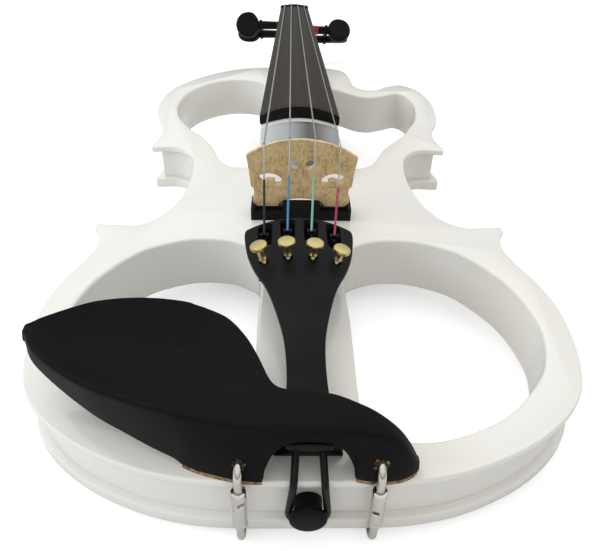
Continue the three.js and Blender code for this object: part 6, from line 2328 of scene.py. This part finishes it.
    def dress_lever(self, name: StringName) -> None:
        """One lever with its fork and its pin.

        Args:
            name: the tuner's string.
        """
        x, y, z = self.pivot_top(name)
        pivot = z - self.pivot_below
        tip = self.along_up(name, -self.wall - self.tip - 2 * SEAT)
        drop, back = tip.z - pivot, tip.y - y - self.screw
        rise = self.pivot_below + self.hook_rise
        bar = self.bar
        line = [
            (back, drop - bar), (0, -bar / 2), (bar * 1.2, -0.2), (bar * 1.5, 0.8), (bar * 1.5, rise - 0.5),
            (bar * 1.35, rise), (bar * 0.6, rise), (bar / 2, rise - 0.4), (bar / 2, bar), (-bar, bar / 2),
            (back, drop)]
        place = Matrix(((0, 0, 1, x), (1, 0, 0, y), (0, 1, 0, pivot), (0, 0, 0, 1)))
        lever = Bench.sheet(f"{name.value}_lever", line, [], self.lever_thick, 0.06, place)
        reach = self.lever_thick / 2 + SEAT + self.lug_thick
        Bench.join(lever, Bench.turned("pin", [
            (0, -reach), (self.pin - 0.15, -reach), (self.pin, 0.15 - reach), (self.pin, reach - 0.15),
            (self.pin - 0.15, reach), (0, reach)], standing((x, y, pivot), Vector((1, 0, 0))), 32))
        hook = self.hook_top(name)
        half = STRINGING.silk_radius + SEAT * 0.6
        Bench.cut(lever, Bench.block(
            "fork", (hook[0] - half, hook[1] - 2 * bar, hook[2] - self.fork_depth),
            (hook[0] + half, hook[1] + 2 * bar, hook[2] + OVERRUN), 0))
        Bench.finish(lever, Finish.FITTING, f"tuner_lever_{name.value}_body", "plastic",
                     f"tuner_lever_{name.value}")


# Saddle, gut and button


@dataclass
class Gut:
    """The saddle, the gut that goes over it and the button that holds the gut."""

    radius: float = 1.15
    spacing: float = 7.0
    depth: float = 8.4
    bend_at: Flat = (-1.8, 26.9)
    bend: float = 2.4
    spread: float = 1.0
    below_top: float = 2.2
    saddle_half: float = 10.5
    saddle_front: float = 6.4
    saddle_deep: float = 5.4
    saddle_bow: float = 2.6
    saddle_tall: float = 6.1
    saddle_line: tuple[Flat, ...] = ((1, 0), (0.97, 0.2), (0.88, 0.36), (0.76, 0.48), (0.62, 0.66), (0.54, 0.86),
                                     (0.45, 1))
    head: float = 5.8
    neck: float = 4.4
    face: float = 5.3
    head_thick: float = 3.0

    def end(self, way: int) -> Point:
        """Where a strand ends inside the tailpiece.

        Args:
            way: 1 on the treble side and -1 on the bass side.

        Returns:
            The point.
        """
        share = self.depth / TAIL.length
        top = lerp(TAIL.tail_top, TAIL.head_top, share) - self.below_top
        return (way * self.spacing / 2, TAIL.tail + self.depth, top)

    def corner(self, way: int) -> Point:
        """Where a strand bends down over the edge."""
        return (way * (self.spacing / 2 + self.spread), *self.bend_at)

    def dress(self) -> None:
        """Builds and finishes the three pieces."""
        loop = self.neck + SEAT + self.radius
        y = -self.radius - SEAT

        def strand(way: int) -> list[Point]:
            """One strand from the tailpiece to the loop.

            Args:
                way: 1 on the treble side and -1 on the bass side.

            Returns:
                Its points.
            """
            start = self.end(way)
            low = (way * loop, y, BUTTON_HEIGHT)
            return [start, *eased_corner(start, self.corner(way), low, self.bend, 12)]

        angles = [-k / 40 * math.pi for k in range(41)]
        loop_line = [(loop * math.cos(a), y, BUTTON_HEIGHT + loop * math.sin(a)) for a in angles]
        line = [*strand(1), *loop_line, *reversed(strand(-1))]
        gut = Bench.tube("gut_loop", line, self.radius, 28)
        Bench.finish(gut, Finish.NYLON, "instrument", "gut", "tail_gut", angle=60)
        right = [(x * self.saddle_half, z * self.saddle_tall) for x, z in self.saddle_line]
        line = [*right, *mirrored(right)]
        middle = self.saddle_front + self.saddle_deep / 2
        place = Matrix(((1, 0, 0, 0), (0, 0, -1, middle), (0, 1, 0, BODY_TOP + HAIR), (0, 0, 0, 1)))
        saddle = Bench.sheet("saddle_wood", line, [], self.saddle_deep, 0.6, place)
        for vertex in saddle.data.vertices:
            vertex.co.y += self.saddle_bow * (vertex.co.x / self.saddle_half) ** 2
        for way in (-1, 1):
            start, bend = Vector(self.end(way)), Vector(self.corner(way))
            Bench.cut(saddle, Bench.tube("gut_bed", [tuple(start), tuple(bend)], self.radius + 0.12, 24))
        Bench.finish(saddle, Finish.EBONY, "instrument", "ebony", "saddle")
        back = -self.face + self.head_thick
        button = Bench.turned("button_wood", [
            (0, -self.face), (self.head * 0.36, -self.face + 0.05), (self.head * 0.72, -self.face + 0.2),
            (self.head * 0.9, -self.face + 0.5), (self.head * 0.98, -self.face + 1.0),
            (self.head, -self.face + 1.6), (self.head * 0.985, back - 0.8), (self.head * 0.9, back - 0.35),
            (self.neck + 0.4, back - 0.05), (self.neck, back + 0.4), (self.neck, 2.45), (3.6, 2.5), (3.15, 18.8),
            (0, 18.8)], standing((0, 0, BUTTON_HEIGHT), Vector((0, 1, 0))), 64)
        Bench.finish(button, Finish.EBONY, "instrument", "ebony", "end_button")


# Chinrest and its clamps


@dataclass
class Chinrest:
    """The chinrest over the tailpiece, with its corks and its two clamps."""

    stations: tuple[tuple[float, ...], ...] = (
        (-87.4, 36.4, 40.6, 50.3, 46.8, 35.4, 37.0, 0), (-84, 30.8, 43.4, 50.4, 45.0, 29.4, 35.5, 0.15),
        (-78, 24.6, 47.3, 50.4, 42.3, 24.2, 32.0, 0.5), (-70, 18.6, 51.4, 50.4, 38.6, 19.2, 28.5, 0.85),
        (-62, 13.9, 53.2, 50.4, 35.2, 15.0, 25.0, 1.0), (-54, 10.6, 53.8, 50.3, 32.1, 12.0, 21.5, 1.0),
        (-46, 7.9, 53.5, 50.0, 29.5, 8.8, 18.5, 1.0), (-39, 6.5, 52.9, 49.2, 27.9, 6.0, 16.8, 0.85),
        (-37, 6.2, 52.4, 48.7, 27.1, 4.8, 16.3, 0.8), (-33, 5.8, 51.3, 47.9, 27.1, 2.9, 16.3, 0.7),
        (-26, 5.2, 47.9, 46.8, 27.1, 0.7, 16.3, 0.5), (-20, 4.7, 40.6, 46.1, 27.1, -0.7, 16.3, 0.3),
        (-16, 4.4, 32.8, 45.8, 27.1, -1.1, 15.8, 0.18), (-13.5, 4.2, 26.6, 45.6, 27.3, -1.0, 15.2, 0.1),
        (-12.6, 4.1, 24.2, 45.6, 32.2, -0.4, 14.5, 0.05), (-10, 3.9, 20.0, 45.5, 38.4, 0.4, 13.6, 0),
        (-6, 3.6, 18.2, 45.6, 41.8, 1.2, 13.0, -0.06), (6, 3.4, 16.8, 45.6, 41.8, 1.2, 12.6, -0.06),
        (10, 3.2, 15.5, 45.4, 38.4, 0.4, 12.2, -0.06), (12.6, 3.1, 14.4, 45.1, 32.2, -0.4, 12.0, -0.06),
        (13.5, 3.1, 14.1, 44.9, 27.3, -0.2, 12.0, -0.06), (18, 3.0, 12.5, 43.7, 27.1, -1.1, 10.6, -0.06),
        (22.5, 2.9, 10.6, 41.6, 27.1, -1.1, 8.8, -0.05), (26.5, 2.9, 9.0, 38.4, 27.1, -0.5, 7.8, -0.03),
        (29.6, 3.0, 7.5, 34.2, 27.1, 0.9, 6.6, 0), (31.6, 3.4, 6.3, 30.4, 27.1, 2.6, 5.6, 0),
    )
    dish: float = 6.5
    wall: float = 4.0
    lip: float = 1.2
    near_edge: float = 2.2
    far_edge: float = 1.5
    sole_edge: float = 0.8
    front: float = 2.4
    corks: tuple[tuple[Side, int, int], ...] = ((Side.BASS, 8, 13), (Side.TREBLE, 20, 25))
    torn: float = 2.5
    spacing: float = 40.5
    axis_y: float = -2.7
    barrel: float = 2.3
    barrel_long: float = 17.2
    barrel_low: float = 8.4
    barrel_hole: float = 1.05
    cross_ways: dict[Side, tuple[Flat, ...]] = field(default_factory=lambda: {
        Side.BASS: ((0.74, -22), (0.56, 68)), Side.TREBLE: ((0.72, -78), (0.5, 18))})
    rod: float = 1.3
    hook_height: float = 33.2
    hook_bend: float = 3.2
    hook_deep: float = 5.6
    foot_bend: float = 4.2
    foot_near: float = 3.4
    foot_reach: float = 11.0
    foot_width: float = 11.0

    def ring(self, station: Sequence[float]) -> list[Point]:
        """The section at a station: its wall towards the tail, its top, its lip and its sole.

        Args:
            station: the values of the station.

        Returns:
            The section's points.
        """
        x, near, far, rim, under, foot, back, dish = station
        width = far - near
        tall = rim - under
        first = min(self.near_edge, width * 0.3, tall * 0.45)
        second = min(self.far_edge, width * 0.25, tall * 0.4)

        def top(y: float) -> float:
            """The upper face's height."""
            return rim - dish * self.dish * math.sin(math.pi * min(1.0, max(0.0, (y - near) / width)))

        def arc(start: Flat, bend: Flat, end: Flat, steps: int) -> list[Flat]:
            """A soft corner.

            Args:
                start: where it starts.
                bend: the corner.
                end: where it ends.
                steps: how many spans it has.

            Returns:
                Its points.
            """
            out = []
            for step in range(steps + 1):
                t = step / steps
                out.append(tuple(a * (1 - t) ** 2 + b * 2 * t * (1 - t) + c * t * t
                                 for a, b, c in zip(start, bend, end)))
            return out

        lip = width / (far + back) * self.lip if far + back else 0.0
        low_far = (far - lip, max(under, rim - self.wall / 2))
        slope = (foot - near) * first / tall
        line = arc((near + slope, rim - first), (near, rim), (near + first, top(near + first)), 6)
        line += [(y, top(y)) for y in (lerp(near + first, far - second, k / 24) for k in range(1, 24))]
        fall = Vector((far, rim)).lerp(Vector(low_far), min(0.6, second / max(0.1, rim - low_far[1])))
        line += arc((far - second, top(far - second)), (far, rim), tuple(fall), 6)
        line += arc(tuple(fall.lerp(Vector(low_far), 0.5)), low_far,
                    (lerp(far - lip, back, 0.08), max(under, top(far - width * 0.08) - self.wall)), 4)
        for k in range(1, 12):
            share = lerp(0.92, 1 / 6, k / 12)
            y = lerp(back, far - lip, share)
            line.append((y, max(under, top(lerp(near, far, share)) - self.wall)))
        inner = lerp(back, far - lip, 1 / 6)
        high = max(under, top(lerp(near, far, 1 / 6)) - self.wall)
        line.append((inner, high))
        sole = min(self.sole_edge, (back - foot) * 0.3, max(0.02, (high - under) * 0.3 + 0.02))
        line += arc((lerp(back, inner, 0.2 if high > under + 1 else 0.02), lerp(under, high, 0.2)), (back, under),
                    (back - sole, under), 4)
        line.append((lerp(foot, back, 0.5), under))
        line += arc((foot + sole, under), (foot, under), (lerp(foot, near, 0.3 * sole / max(0.1, tall)),
                                                          under + sole), 4)
        line.append((lerp(foot, near, 0.5), lerp(under, rim, 0.5)))
        return [(x, y, z) for y, z in line]

    def dress_rest(self) -> None:
        """Builds and finishes the rest itself."""
        rings = [self.ring(station) for station in flowing(self.stations, False, 7)]

        def capped(ring: Sequence[Point], inset: float, beyond: float) -> list[Point]:
            """A ring drawn towards its middle and moved along X.

            Args:
                ring: the ring's points.
                inset: how far inwards it moves.
                beyond: how far it moves along X.

            Returns:
                The drawn ring.
            """
            middle = sum((Vector(point) for point in ring), Vector()) / len(ring)
            out = []
            for point in ring:
                away = Vector(point) - middle
                keep = max(0.1, 1 - inset / max(inset, away.length))
                place = middle + away * keep
                out.append((point[0] + beyond, place.y, place.z))
            return out

        first, last = rings[0], rings[-1]
        rings = [capped(first, 1.0, -0.9), capped(first, 0.4, -0.65), *rings,
                 capped(last, 0.35, 0.35), capped(last, 0.9, 0.55)]
        rest = Bench.skin("chinrest_wood", rings)
        for way in (-1, 1):
            x = way * self.spacing / 2
            wide, deep = self.rod + 0.75, 0.5
            hole = Bench.fluted("hook_way", [
                (wide, -6, deep), (wide + 0.5, 0, deep * 2), (wide, 1.4, deep), (self.rod + 0.3, 2.6, 0.1),
                (self.rod + 0.3, self.hook_deep + 0.2, 0.1)], 7,
                standing((x, self.front - 2.4, self.hook_height), Vector((0, 1, 0))))
            Bench.cut(rest, hole)
        Bench.paint(rest, Finish.CHIN_WOOD, Finish.CORK)
        for face in rest.data.polygons:
            x, y, z = face.center
            away = math.hypot(abs(x) - self.spacing / 2, z - self.hook_height)
            face.material_index = 1 if away < self.torn and y < self.front + 1.5 and face.area < 1.2 else 0
        Bench.finish(rest, Finish.CHIN_WOOD, "instrument", "ebony", "chinrest", angle=40)

    def dress_corks(self) -> None:
        """Builds and finishes the corks under the two feet."""
        for side, start, end in self.corks:
            feet = flowing(self.stations[start:end + 1], False, 6)
            front = [(station[0], station[5] + 0.15) for station in feet]
            back = [(station[0], station[6] - 0.15) for station in reversed(feet)]
            profile = [(0.25, 25.52), (0.02, 25.75), (0, 26.2), (0.04, 26.85), (0.25, 27.08)]
            cork = Bench.stack(f"{side.word}_cork", [*front, *back], profile)
            centre = (side.value * self.spacing / 2, self.axis_y, 20)
            clear = self.barrel + SEAT
            Bench.cut(cork, Bench.turned(
                "barrel_way", [(0, 0), (clear, 0), (clear, 20), (0, 20)], Matrix.Translation(centre), 40))
            Bench.finish(cork, Finish.CORK, "instrument", "cork", f"chinrest_cork_{side.word}")

    def dress_clamps(self) -> None:
        """Builds and finishes the hooks, the barrels and the lower feet with their corks."""
        top = self.barrel_low + self.barrel_long
        for side in Side:
            x = side.value * self.spacing / 2
            start = (x, self.front + self.hook_deep - SEAT, self.hook_height)
            bend = (x, self.axis_y, self.hook_height)
            end = (x, self.axis_y, top - 6.5)
            line = [start, *eased_corner(start, bend, end, self.hook_bend, 14), end]
            hook = Bench.tube(f"{side.word}_hook", line, self.rod, 28)
            Bench.finish(hook, Finish.CHROME, "instrument", "chrome", f"clamp_hook_{side.word}", angle=60)
            self.dress_barrel(side, x, top)
            self.dress_foot(side, x)

    def dress_barrel(self, side: Side, x: float, top: float) -> None:
        """One barrel with its ring lines and its cross holes.

        Args:
            side: which side it is on.
            x: where it stands across the instrument.
            top: the height of its upper end.
        """
        bore, full, low = self.rod + 0.12, self.barrel, self.barrel_low
        profile = [(bore, low), (full - 0.5, low), (full - 0.12, low + 0.2), (full, low + 0.5)]
        for place in (low + 1.6, top - 2.2):
            profile += [(full, place - 0.16), (full - 0.14, place - 0.1), (full - 0.14, place + 0.1),
                        (full, place + 0.16)]
        profile += [(full, top - 0.5), (full - 0.12, top - 0.2), (full - 0.5, top), (bore, top)]
        barrel = Bench.turned(f"{side.word}_barrel", profile, Matrix.Translation((x, self.axis_y, 0)), 48)
        for share, turn in self.cross_ways[side]:
            z = low + share * self.barrel_long
            aim = Vector((math.sin(math.radians(turn)), math.cos(math.radians(turn)), 0))
            Bench.cut(barrel, Bench.turned("cross_way", [
                (0, -5), (self.barrel_hole + 0.9, -5), (self.barrel_hole + 0.2, -full + 0.12),
                (self.barrel_hole, -full + 0.4), (self.barrel_hole, full - 0.4),
                (self.barrel_hole + 0.2, full - 0.12), (self.barrel_hole + 0.9, 5), (0, 5)],
                standing((x, self.axis_y, z), aim), 28))
        Bench.finish(barrel, Finish.CHROME, f"clamp_barrel_{side.word}_body", "chrome",
                     f"clamp_barrel_{side.word}", angle=28)

    def dress_foot(self, side: Side, x: float) -> None:
        """One lower rod with the plate that holds the back.

        Args:
            side: which side it is on.
            x: where it stands across the instrument.
        """
        level = -SEAT - self.rod
        start = (x, self.axis_y, self.barrel_low + 6.5)
        bend = (x, self.axis_y, level)
        end = (x, self.foot_near + 1.5, level)
        leg = Bench.tube(
            f"{side.word}_foot", [start, *eased_corner(start, bend, end, self.foot_bend, 12), end], self.rod, 28)
        half = self.foot_width / 2
        plate = Bench.block("plate", (x - half, self.foot_near, -3.2), (x + half, self.foot_reach, -1.6), 0.45, 3)
        Bench.join(leg, plate)
        body = f"clamp_foot_{side.word}_body"
        Bench.finish(leg, Finish.CHROME, body, "chrome", f"clamp_foot_{side.word}")
        cork = Bench.block(
            f"{side.word}_foot_cork", (x - half, self.foot_near + 1.8, -1.55), (x + half, self.foot_reach, -0.3),
            0.15, 2)
        Bench.finish(cork, Finish.CORK, body, "cork", f"clamp_foot_cork_{side.word}")


# Control panel and electronics


@dataclass
class Electronics:
    """The panel in the back with its door, battery, board, knobs and jack."""

    half: float = 35.0
    low: float = 131.0
    high: float = 181.0
    thick: float = 2.0
    bay_low: float = 135.4
    bay_half: float = 24.55
    bay_high: float = 162.5
    margin: float = 1.4
    door: float = 1.5
    pin: float = 0.75
    battery: Point = (48.5, 26.5, 16.5)
    knob: float = 6.5
    rib: float = 0.3
    ribs: int = 32
    rise: float = 4.0
    shaft: float = 2.8
    knob_x: float = 13.0
    above: float = 9.0
    board_thick: float = 1.6
    board_reach: float = 17.6
    jack: Point = (4.6, 3.2, 6.2)
    jack_long: float = 24.0
    jack_face: float = 53.3

    @property
    def knob_line(self) -> float:
        """Where the knobs stand along the panel."""
        return (self.bay_high + self.high) / 2

    def dress_panel(self) -> None:
        """Builds and finishes the panel with its four screws."""
        panel = Bench.block("panel", (-self.half, self.low, 0), (self.half, self.high, self.thick), 0.4, 3)
        bay = (self.bay_half, self.bay_low, self.bay_high)
        Bench.cut(
            panel,
            Bench.block("bay", (-bay[0], bay[1], -4), (bay[0], bay[2], 6), 0),
            Bench.block("rebate", (-bay[0] - self.margin, bay[1] - self.margin, -4),
                        (bay[0] + self.margin, bay[2] + self.margin, self.door + SEAT), 0))
        for way in (-1, 1):
            place = (way * self.knob_x, self.knob_line, 0)
            Bench.cut(panel, Bench.turned("shaft_way", [(0, -4), (self.shaft + SEAT, -4), (self.shaft + SEAT, 6),
                                                        (0, 6)], Matrix.Translation(place), 40))
        for x in (-1, 1):
            for y in (self.low + 4.5, self.high - 4.5):
                Bench.join(panel, self.screw((x * (self.half - 4.5), y, 0)))
        Bench.finish(panel, Finish.PANEL, "instrument", "plastic", "control_panel")

    def screw(self, place: Point) -> bpy.types.Object:
        """A small round-headed screw with a cross slot.

        Args:
            place: where it stands.

        Returns:
            The screw.
        """
        x, y, _ = place
        screw = Bench.turned("panel_screw", [
            (0, 1.0), (2.0, 1.0), (2.0, -0.25), (1.75, -0.6), (1.2, -0.85), (0, -0.95)],
            Matrix.Translation(place), 32)
        return Bench.cut(screw, Bench.block("slot", (x - 1.1, y - 0.25, -2), (x + 1.1, y + 0.25, -0.35)),
                         Bench.block("slot", (x - 0.25, y - 1.1, -2), (x + 0.25, y + 1.1, -0.35)))

    def dress_door(self) -> None:
        """Builds and finishes the battery door with its thumb latch."""
        half = self.bay_half + self.margin - SEAT
        low = self.bay_low - self.margin + SEAT
        high = self.bay_high + self.margin - SEAT
        door = Bench.block("door", (-half, low + self.pin, 0), (half, high, self.door), 0.3, 3)
        Bench.join(door, Bench.tube("hinge", [(-half, low + self.pin, self.pin), (half, low + self.pin, self.pin)],
                                    self.pin - 0.02, 24))
        for k in range(5):
            y = high - 5.5 + k * 0.9
            Bench.cut(door, Bench.block("grip", (-6, y, -1), (6, y + 0.4, 0.35), 0.1, 1))
        Bench.finish(door, Finish.PANEL, "battery_door_body", "plastic", "battery_door")

    def dress_battery(self) -> None:
        """Builds and finishes the battery."""
        low = self.thick + SEAT
        long, wide, tall = self.battery
        start = self.bay_low + SEAT
        battery = Bench.block("cell", (-long / 2, start, low), (long / 2, start + wide, low + tall), 1.4, 4)
        Bench.finish(battery, Finish.CELL, "instrument", "plastic", "battery")

    def dress_board(self) -> None:
        """Builds and finishes the board, with its parts soldered on."""
        low = self.thick + SEAT + self.above
        left = -self.half + PANEL_LEDGE + SEAT
        start = self.bay_high + SEAT
        board = Bench.block("board", (left, start, low), (self.board_reach, self.high - PANEL_LEDGE,
                                                         low + self.board_thick), 0.1, 1)
        parts = []
        for x, y, wide, deep, tall in ((-24, 168, 7, 4, 1.6), (-4, 170, 9, 4, 1.8), (8, 168, 3, 2, 1.0),
                                       (-15, 174, 3, 1.6, 0.9), (4, 175, 3, 1.6, 0.9), (-28, 175, 4, 2, 1.2)):
            parts.append(Bench.block("chip", (x, y, low + self.board_thick - 0.1),
                                     (x + wide, y + deep, low + self.board_thick + tall), 0.15, 2))
        Bench.join(board, *parts)
        Bench.finish(board, Finish.CIRCUIT, "instrument", "circuit", "preamp_board")

    def dress_knobs(self) -> None:
        """Builds and finishes the two knobs, with ribbed rims and a pointer groove."""
        low = -self.rise - SEAT
        for word, way in (("volume", -1), ("tone", 1)):
            x = way * self.knob_x
            place = Matrix.Translation((x, self.knob_line, 0))
            full, rib = self.knob, self.rib
            knob = Bench.fluted(f"{word}_cap", [
                (full - 1.1, low, 0), (full - 0.45, low + 0.2, 0.1), (full - 0.1, low + 0.6, rib),
                (full, low + 1.1, rib), (full, -SEAT - 0.3, rib), (full - 0.2, -SEAT, rib)], self.ribs, place)
            shaft = Bench.turned("shaft", [
                (0, -1), (self.shaft, -1), (self.shaft, self.thick + self.above - 0.2),
                (0, self.thick + self.above)], place, 40)
            Bench.join(knob, shaft)
            Bench.cut(knob, Bench.block(
                "pointer", (x - 0.45, self.knob_line + 1.6, low - 4),
                (x + 0.45, self.knob_line + 9, low + 0.55), 0.15, 2))
            Bench.finish(knob, Finish.PANEL, f"{word}_knob_body", "plastic", f"{word}_knob")

    def dress_jack(self) -> None:
        """Builds and finishes the output jack with its ring nut."""
        barrel, bore, ring = self.jack
        face = self.jack_face
        inner = face - self.jack_long
        jack = Bench.turned("jack", [
            (bore, inner), (barrel, inner), (barrel, face), (ring, face), (ring, face + 0.9),
            (ring - 0.3, face + 1.3), (ring - 1.3, face + 1.4), (bore + 1.2, face + 1.4),
            (bore + 1.0, face + 1.15), (bore + 0.4, face + 1.1), (bore, face + 0.8)],
            standing((0, JACK_LINE, JACK_HEIGHT), Vector((1, 0, 0))), 64)
        Bench.finish(jack, Finish.CHROME, "instrument", "chrome", "output_jack", angle=28)


STRINGING = Stringing()
TAIL = Tailpiece()
GUT = Gut()


# Picture


@dataclass
class Studio:
    """The floor, the soft lights and the camera of the photograph."""

    picture_width: int = 600
    focal: float = 615.68
    sensor: float = 36.0
    eye: Point = (-7.77, -102.46, 181.95)
    right: Point = (0.99962, -0.01643, 0.02196)
    upward: Point = (-0.00711, 0.61807, 0.78608)
    sky: float = 0.98
    horizon: float = 0.3
    floor_glow: float = 0.5
    lamp_size: Flat = (1.2, 1.0)

    def dress_world(self) -> None:
        """The even light all round."""
        world = bpy.data.worlds.new("studio")
        bpy.context.scene.world = world
        world.use_nodes = True
        tree = world.node_tree
        back = tree.nodes["Background"]
        path = tree.nodes.new("ShaderNodeLightPath")
        where = tree.nodes.new("ShaderNodeTexCoord")
        split = tree.nodes.new("ShaderNodeSeparateXYZ")
        rise = tree.nodes.new("ShaderNodeValToRGB")
        seen = tree.nodes.new("ShaderNodeMix")
        seen.data_type = "RGBA"
        rise.color_ramp.elements[0].position, rise.color_ramp.elements[1].position = 0.05, 0.75
        rise.color_ramp.elements[0].color = (*(self.horizon * shade for shade in (0.96, 0.98, 1.0)), 1)
        rise.color_ramp.elements[1].color = (*(self.sky * shade for shade in (1.0, 0.995, 0.985)), 1)
        tree.links.new(where.outputs["Generated"], split.inputs["Vector"])
        tree.links.new(split.outputs["Z"], rise.inputs["Fac"])
        tree.links.new(path.outputs["Is Camera Ray"], seen.inputs["Factor"])
        tree.links.new(rise.outputs["Color"], seen.inputs[6])
        seen.inputs[7].default_value = (1, 1, 1, 1)
        tree.links.new(seen.outputs[2], back.inputs["Color"])
        back.inputs["Strength"].default_value = 1.0

    def dress_floor(self) -> None:
        """A pale floor that runs out of the picture and keeps the instrument's shadow."""
        Bench.pick()
        bpy.ops.mesh.primitive_plane_add(size=60, location=(0, 0, 0))
        floor = bpy.context.object
        floor.name = "studio_floor"
        material = bpy.data.materials.new("floor_paper")
        material.use_nodes = True
        tree = material.node_tree
        tree.nodes.clear()
        out = tree.nodes.new("ShaderNodeOutputMaterial")
        paper = tree.nodes.new("ShaderNodeBsdfDiffuse")
        paper.inputs["Color"].default_value = (0.8, 0.8, 0.8, 1)
        glow = tree.nodes.new("ShaderNodeEmission")
        path = tree.nodes.new("ShaderNodeLightPath")
        glow.inputs["Color"].default_value = (1, 1, 1, 1)
        strength = tree.nodes.new("ShaderNodeMath")
        strength.operation = "MULTIPLY"
        strength.inputs[1].default_value = self.floor_glow
        tree.links.new(path.outputs["Is Camera Ray"], strength.inputs[0])
        tree.links.new(strength.outputs[0], glow.inputs["Strength"])
        both = tree.nodes.new("ShaderNodeAddShader")
        tree.links.new(paper.outputs[0], both.inputs[0])
        tree.links.new(glow.outputs[0], both.inputs[1])
        tree.links.new(both.outputs[0], out.inputs["Surface"])
        floor.data.materials.append(material)

    def lamp(self, name: str, place: Point, power: float, tint: Colour) -> None:
        """One soft rectangular light that isn't mirrored in the lacquer.

        Args:
            name: the light's name.
            place: where it hangs, in metres.
            power: its power in watts.
            tint: its colour.
        """
        data = bpy.data.lights.new(name, "AREA")
        data.shape = "RECTANGLE"
        data.size, data.size_y = self.lamp_size
        data.energy = power
        data.color = tint
        obj = bpy.data.objects.new(name, data)
        bpy.context.collection.objects.link(obj)
        obj.location = place
        obj.visible_glossy = False
        obj.rotation_euler = (-Vector(place)).to_track_quat("-Z", "Y").to_euler()

    def dress_lights(self) -> None:
        """The key light from behind and above, and the cool window on the left."""
        self.lamp("key", (-0.5, 0.7, 1.5), 5, (1.0, 0.985, 0.95))
        self.lamp("window", (-1.8, -0.5, 0.8), 15, (0.84, 0.93, 1.0))

    def dress_camera(self) -> None:
        """The camera where the photograph was taken."""
        data = bpy.data.cameras.new("photo")
        data.sensor_fit = "HORIZONTAL"
        data.sensor_width = self.sensor
        data.lens = self.focal / self.picture_width * self.sensor
        data.clip_start, data.clip_end = 0.01, 100.0
        camera = bpy.data.objects.new("photo", data)
        bpy.context.collection.objects.link(camera)
        turn = LAY.to_3x3().normalized()
        right = (turn @ Vector(self.right)).normalized()
        upward = (turn @ Vector(self.upward)).normalized()
        away = right.cross(upward).normalized()
        upward = away.cross(right)
        frame_turn = Matrix((right, upward, away)).transposed().to_4x4()
        camera.matrix_world = Matrix.Translation(LAY @ Vector(self.eye)) @ frame_turn
        bpy.context.scene.camera = camera

    def dress(self) -> None:
        """Sets the whole studio up."""
        bpy.context.scene.view_settings.view_transform = "Standard"
        self.dress_world()
        self.dress_floor()
        self.dress_lights()
        self.dress_camera()


def main() -> None:
    """Builds and dresses the whole instrument."""
    logging.basicConfig(level=logging.INFO, format="%(name)s: %(message)s")
    Body().dress()
    NECK.dress()
    Fingerboard().dress()
    Nut().dress()
    bridge = Bridge()
    bridge.dress_bridge()
    bridge.dress_tray()
    TAIL.dress_plate()
    TAIL.dress_tuners()
    GUT.dress()
    rest = Chinrest()
    rest.dress_rest()
    rest.dress_corks()
    rest.dress_clamps()
    STRINGING.dress_pegs()
    STRINGING.dress_strings()
    back = Electronics()
    back.dress_panel()
    back.dress_door()
    back.dress_battery()
    back.dress_board()
    back.dress_knobs()
    back.dress_jack()
    Studio().dress()


if __name__ == "__main__":
    main()
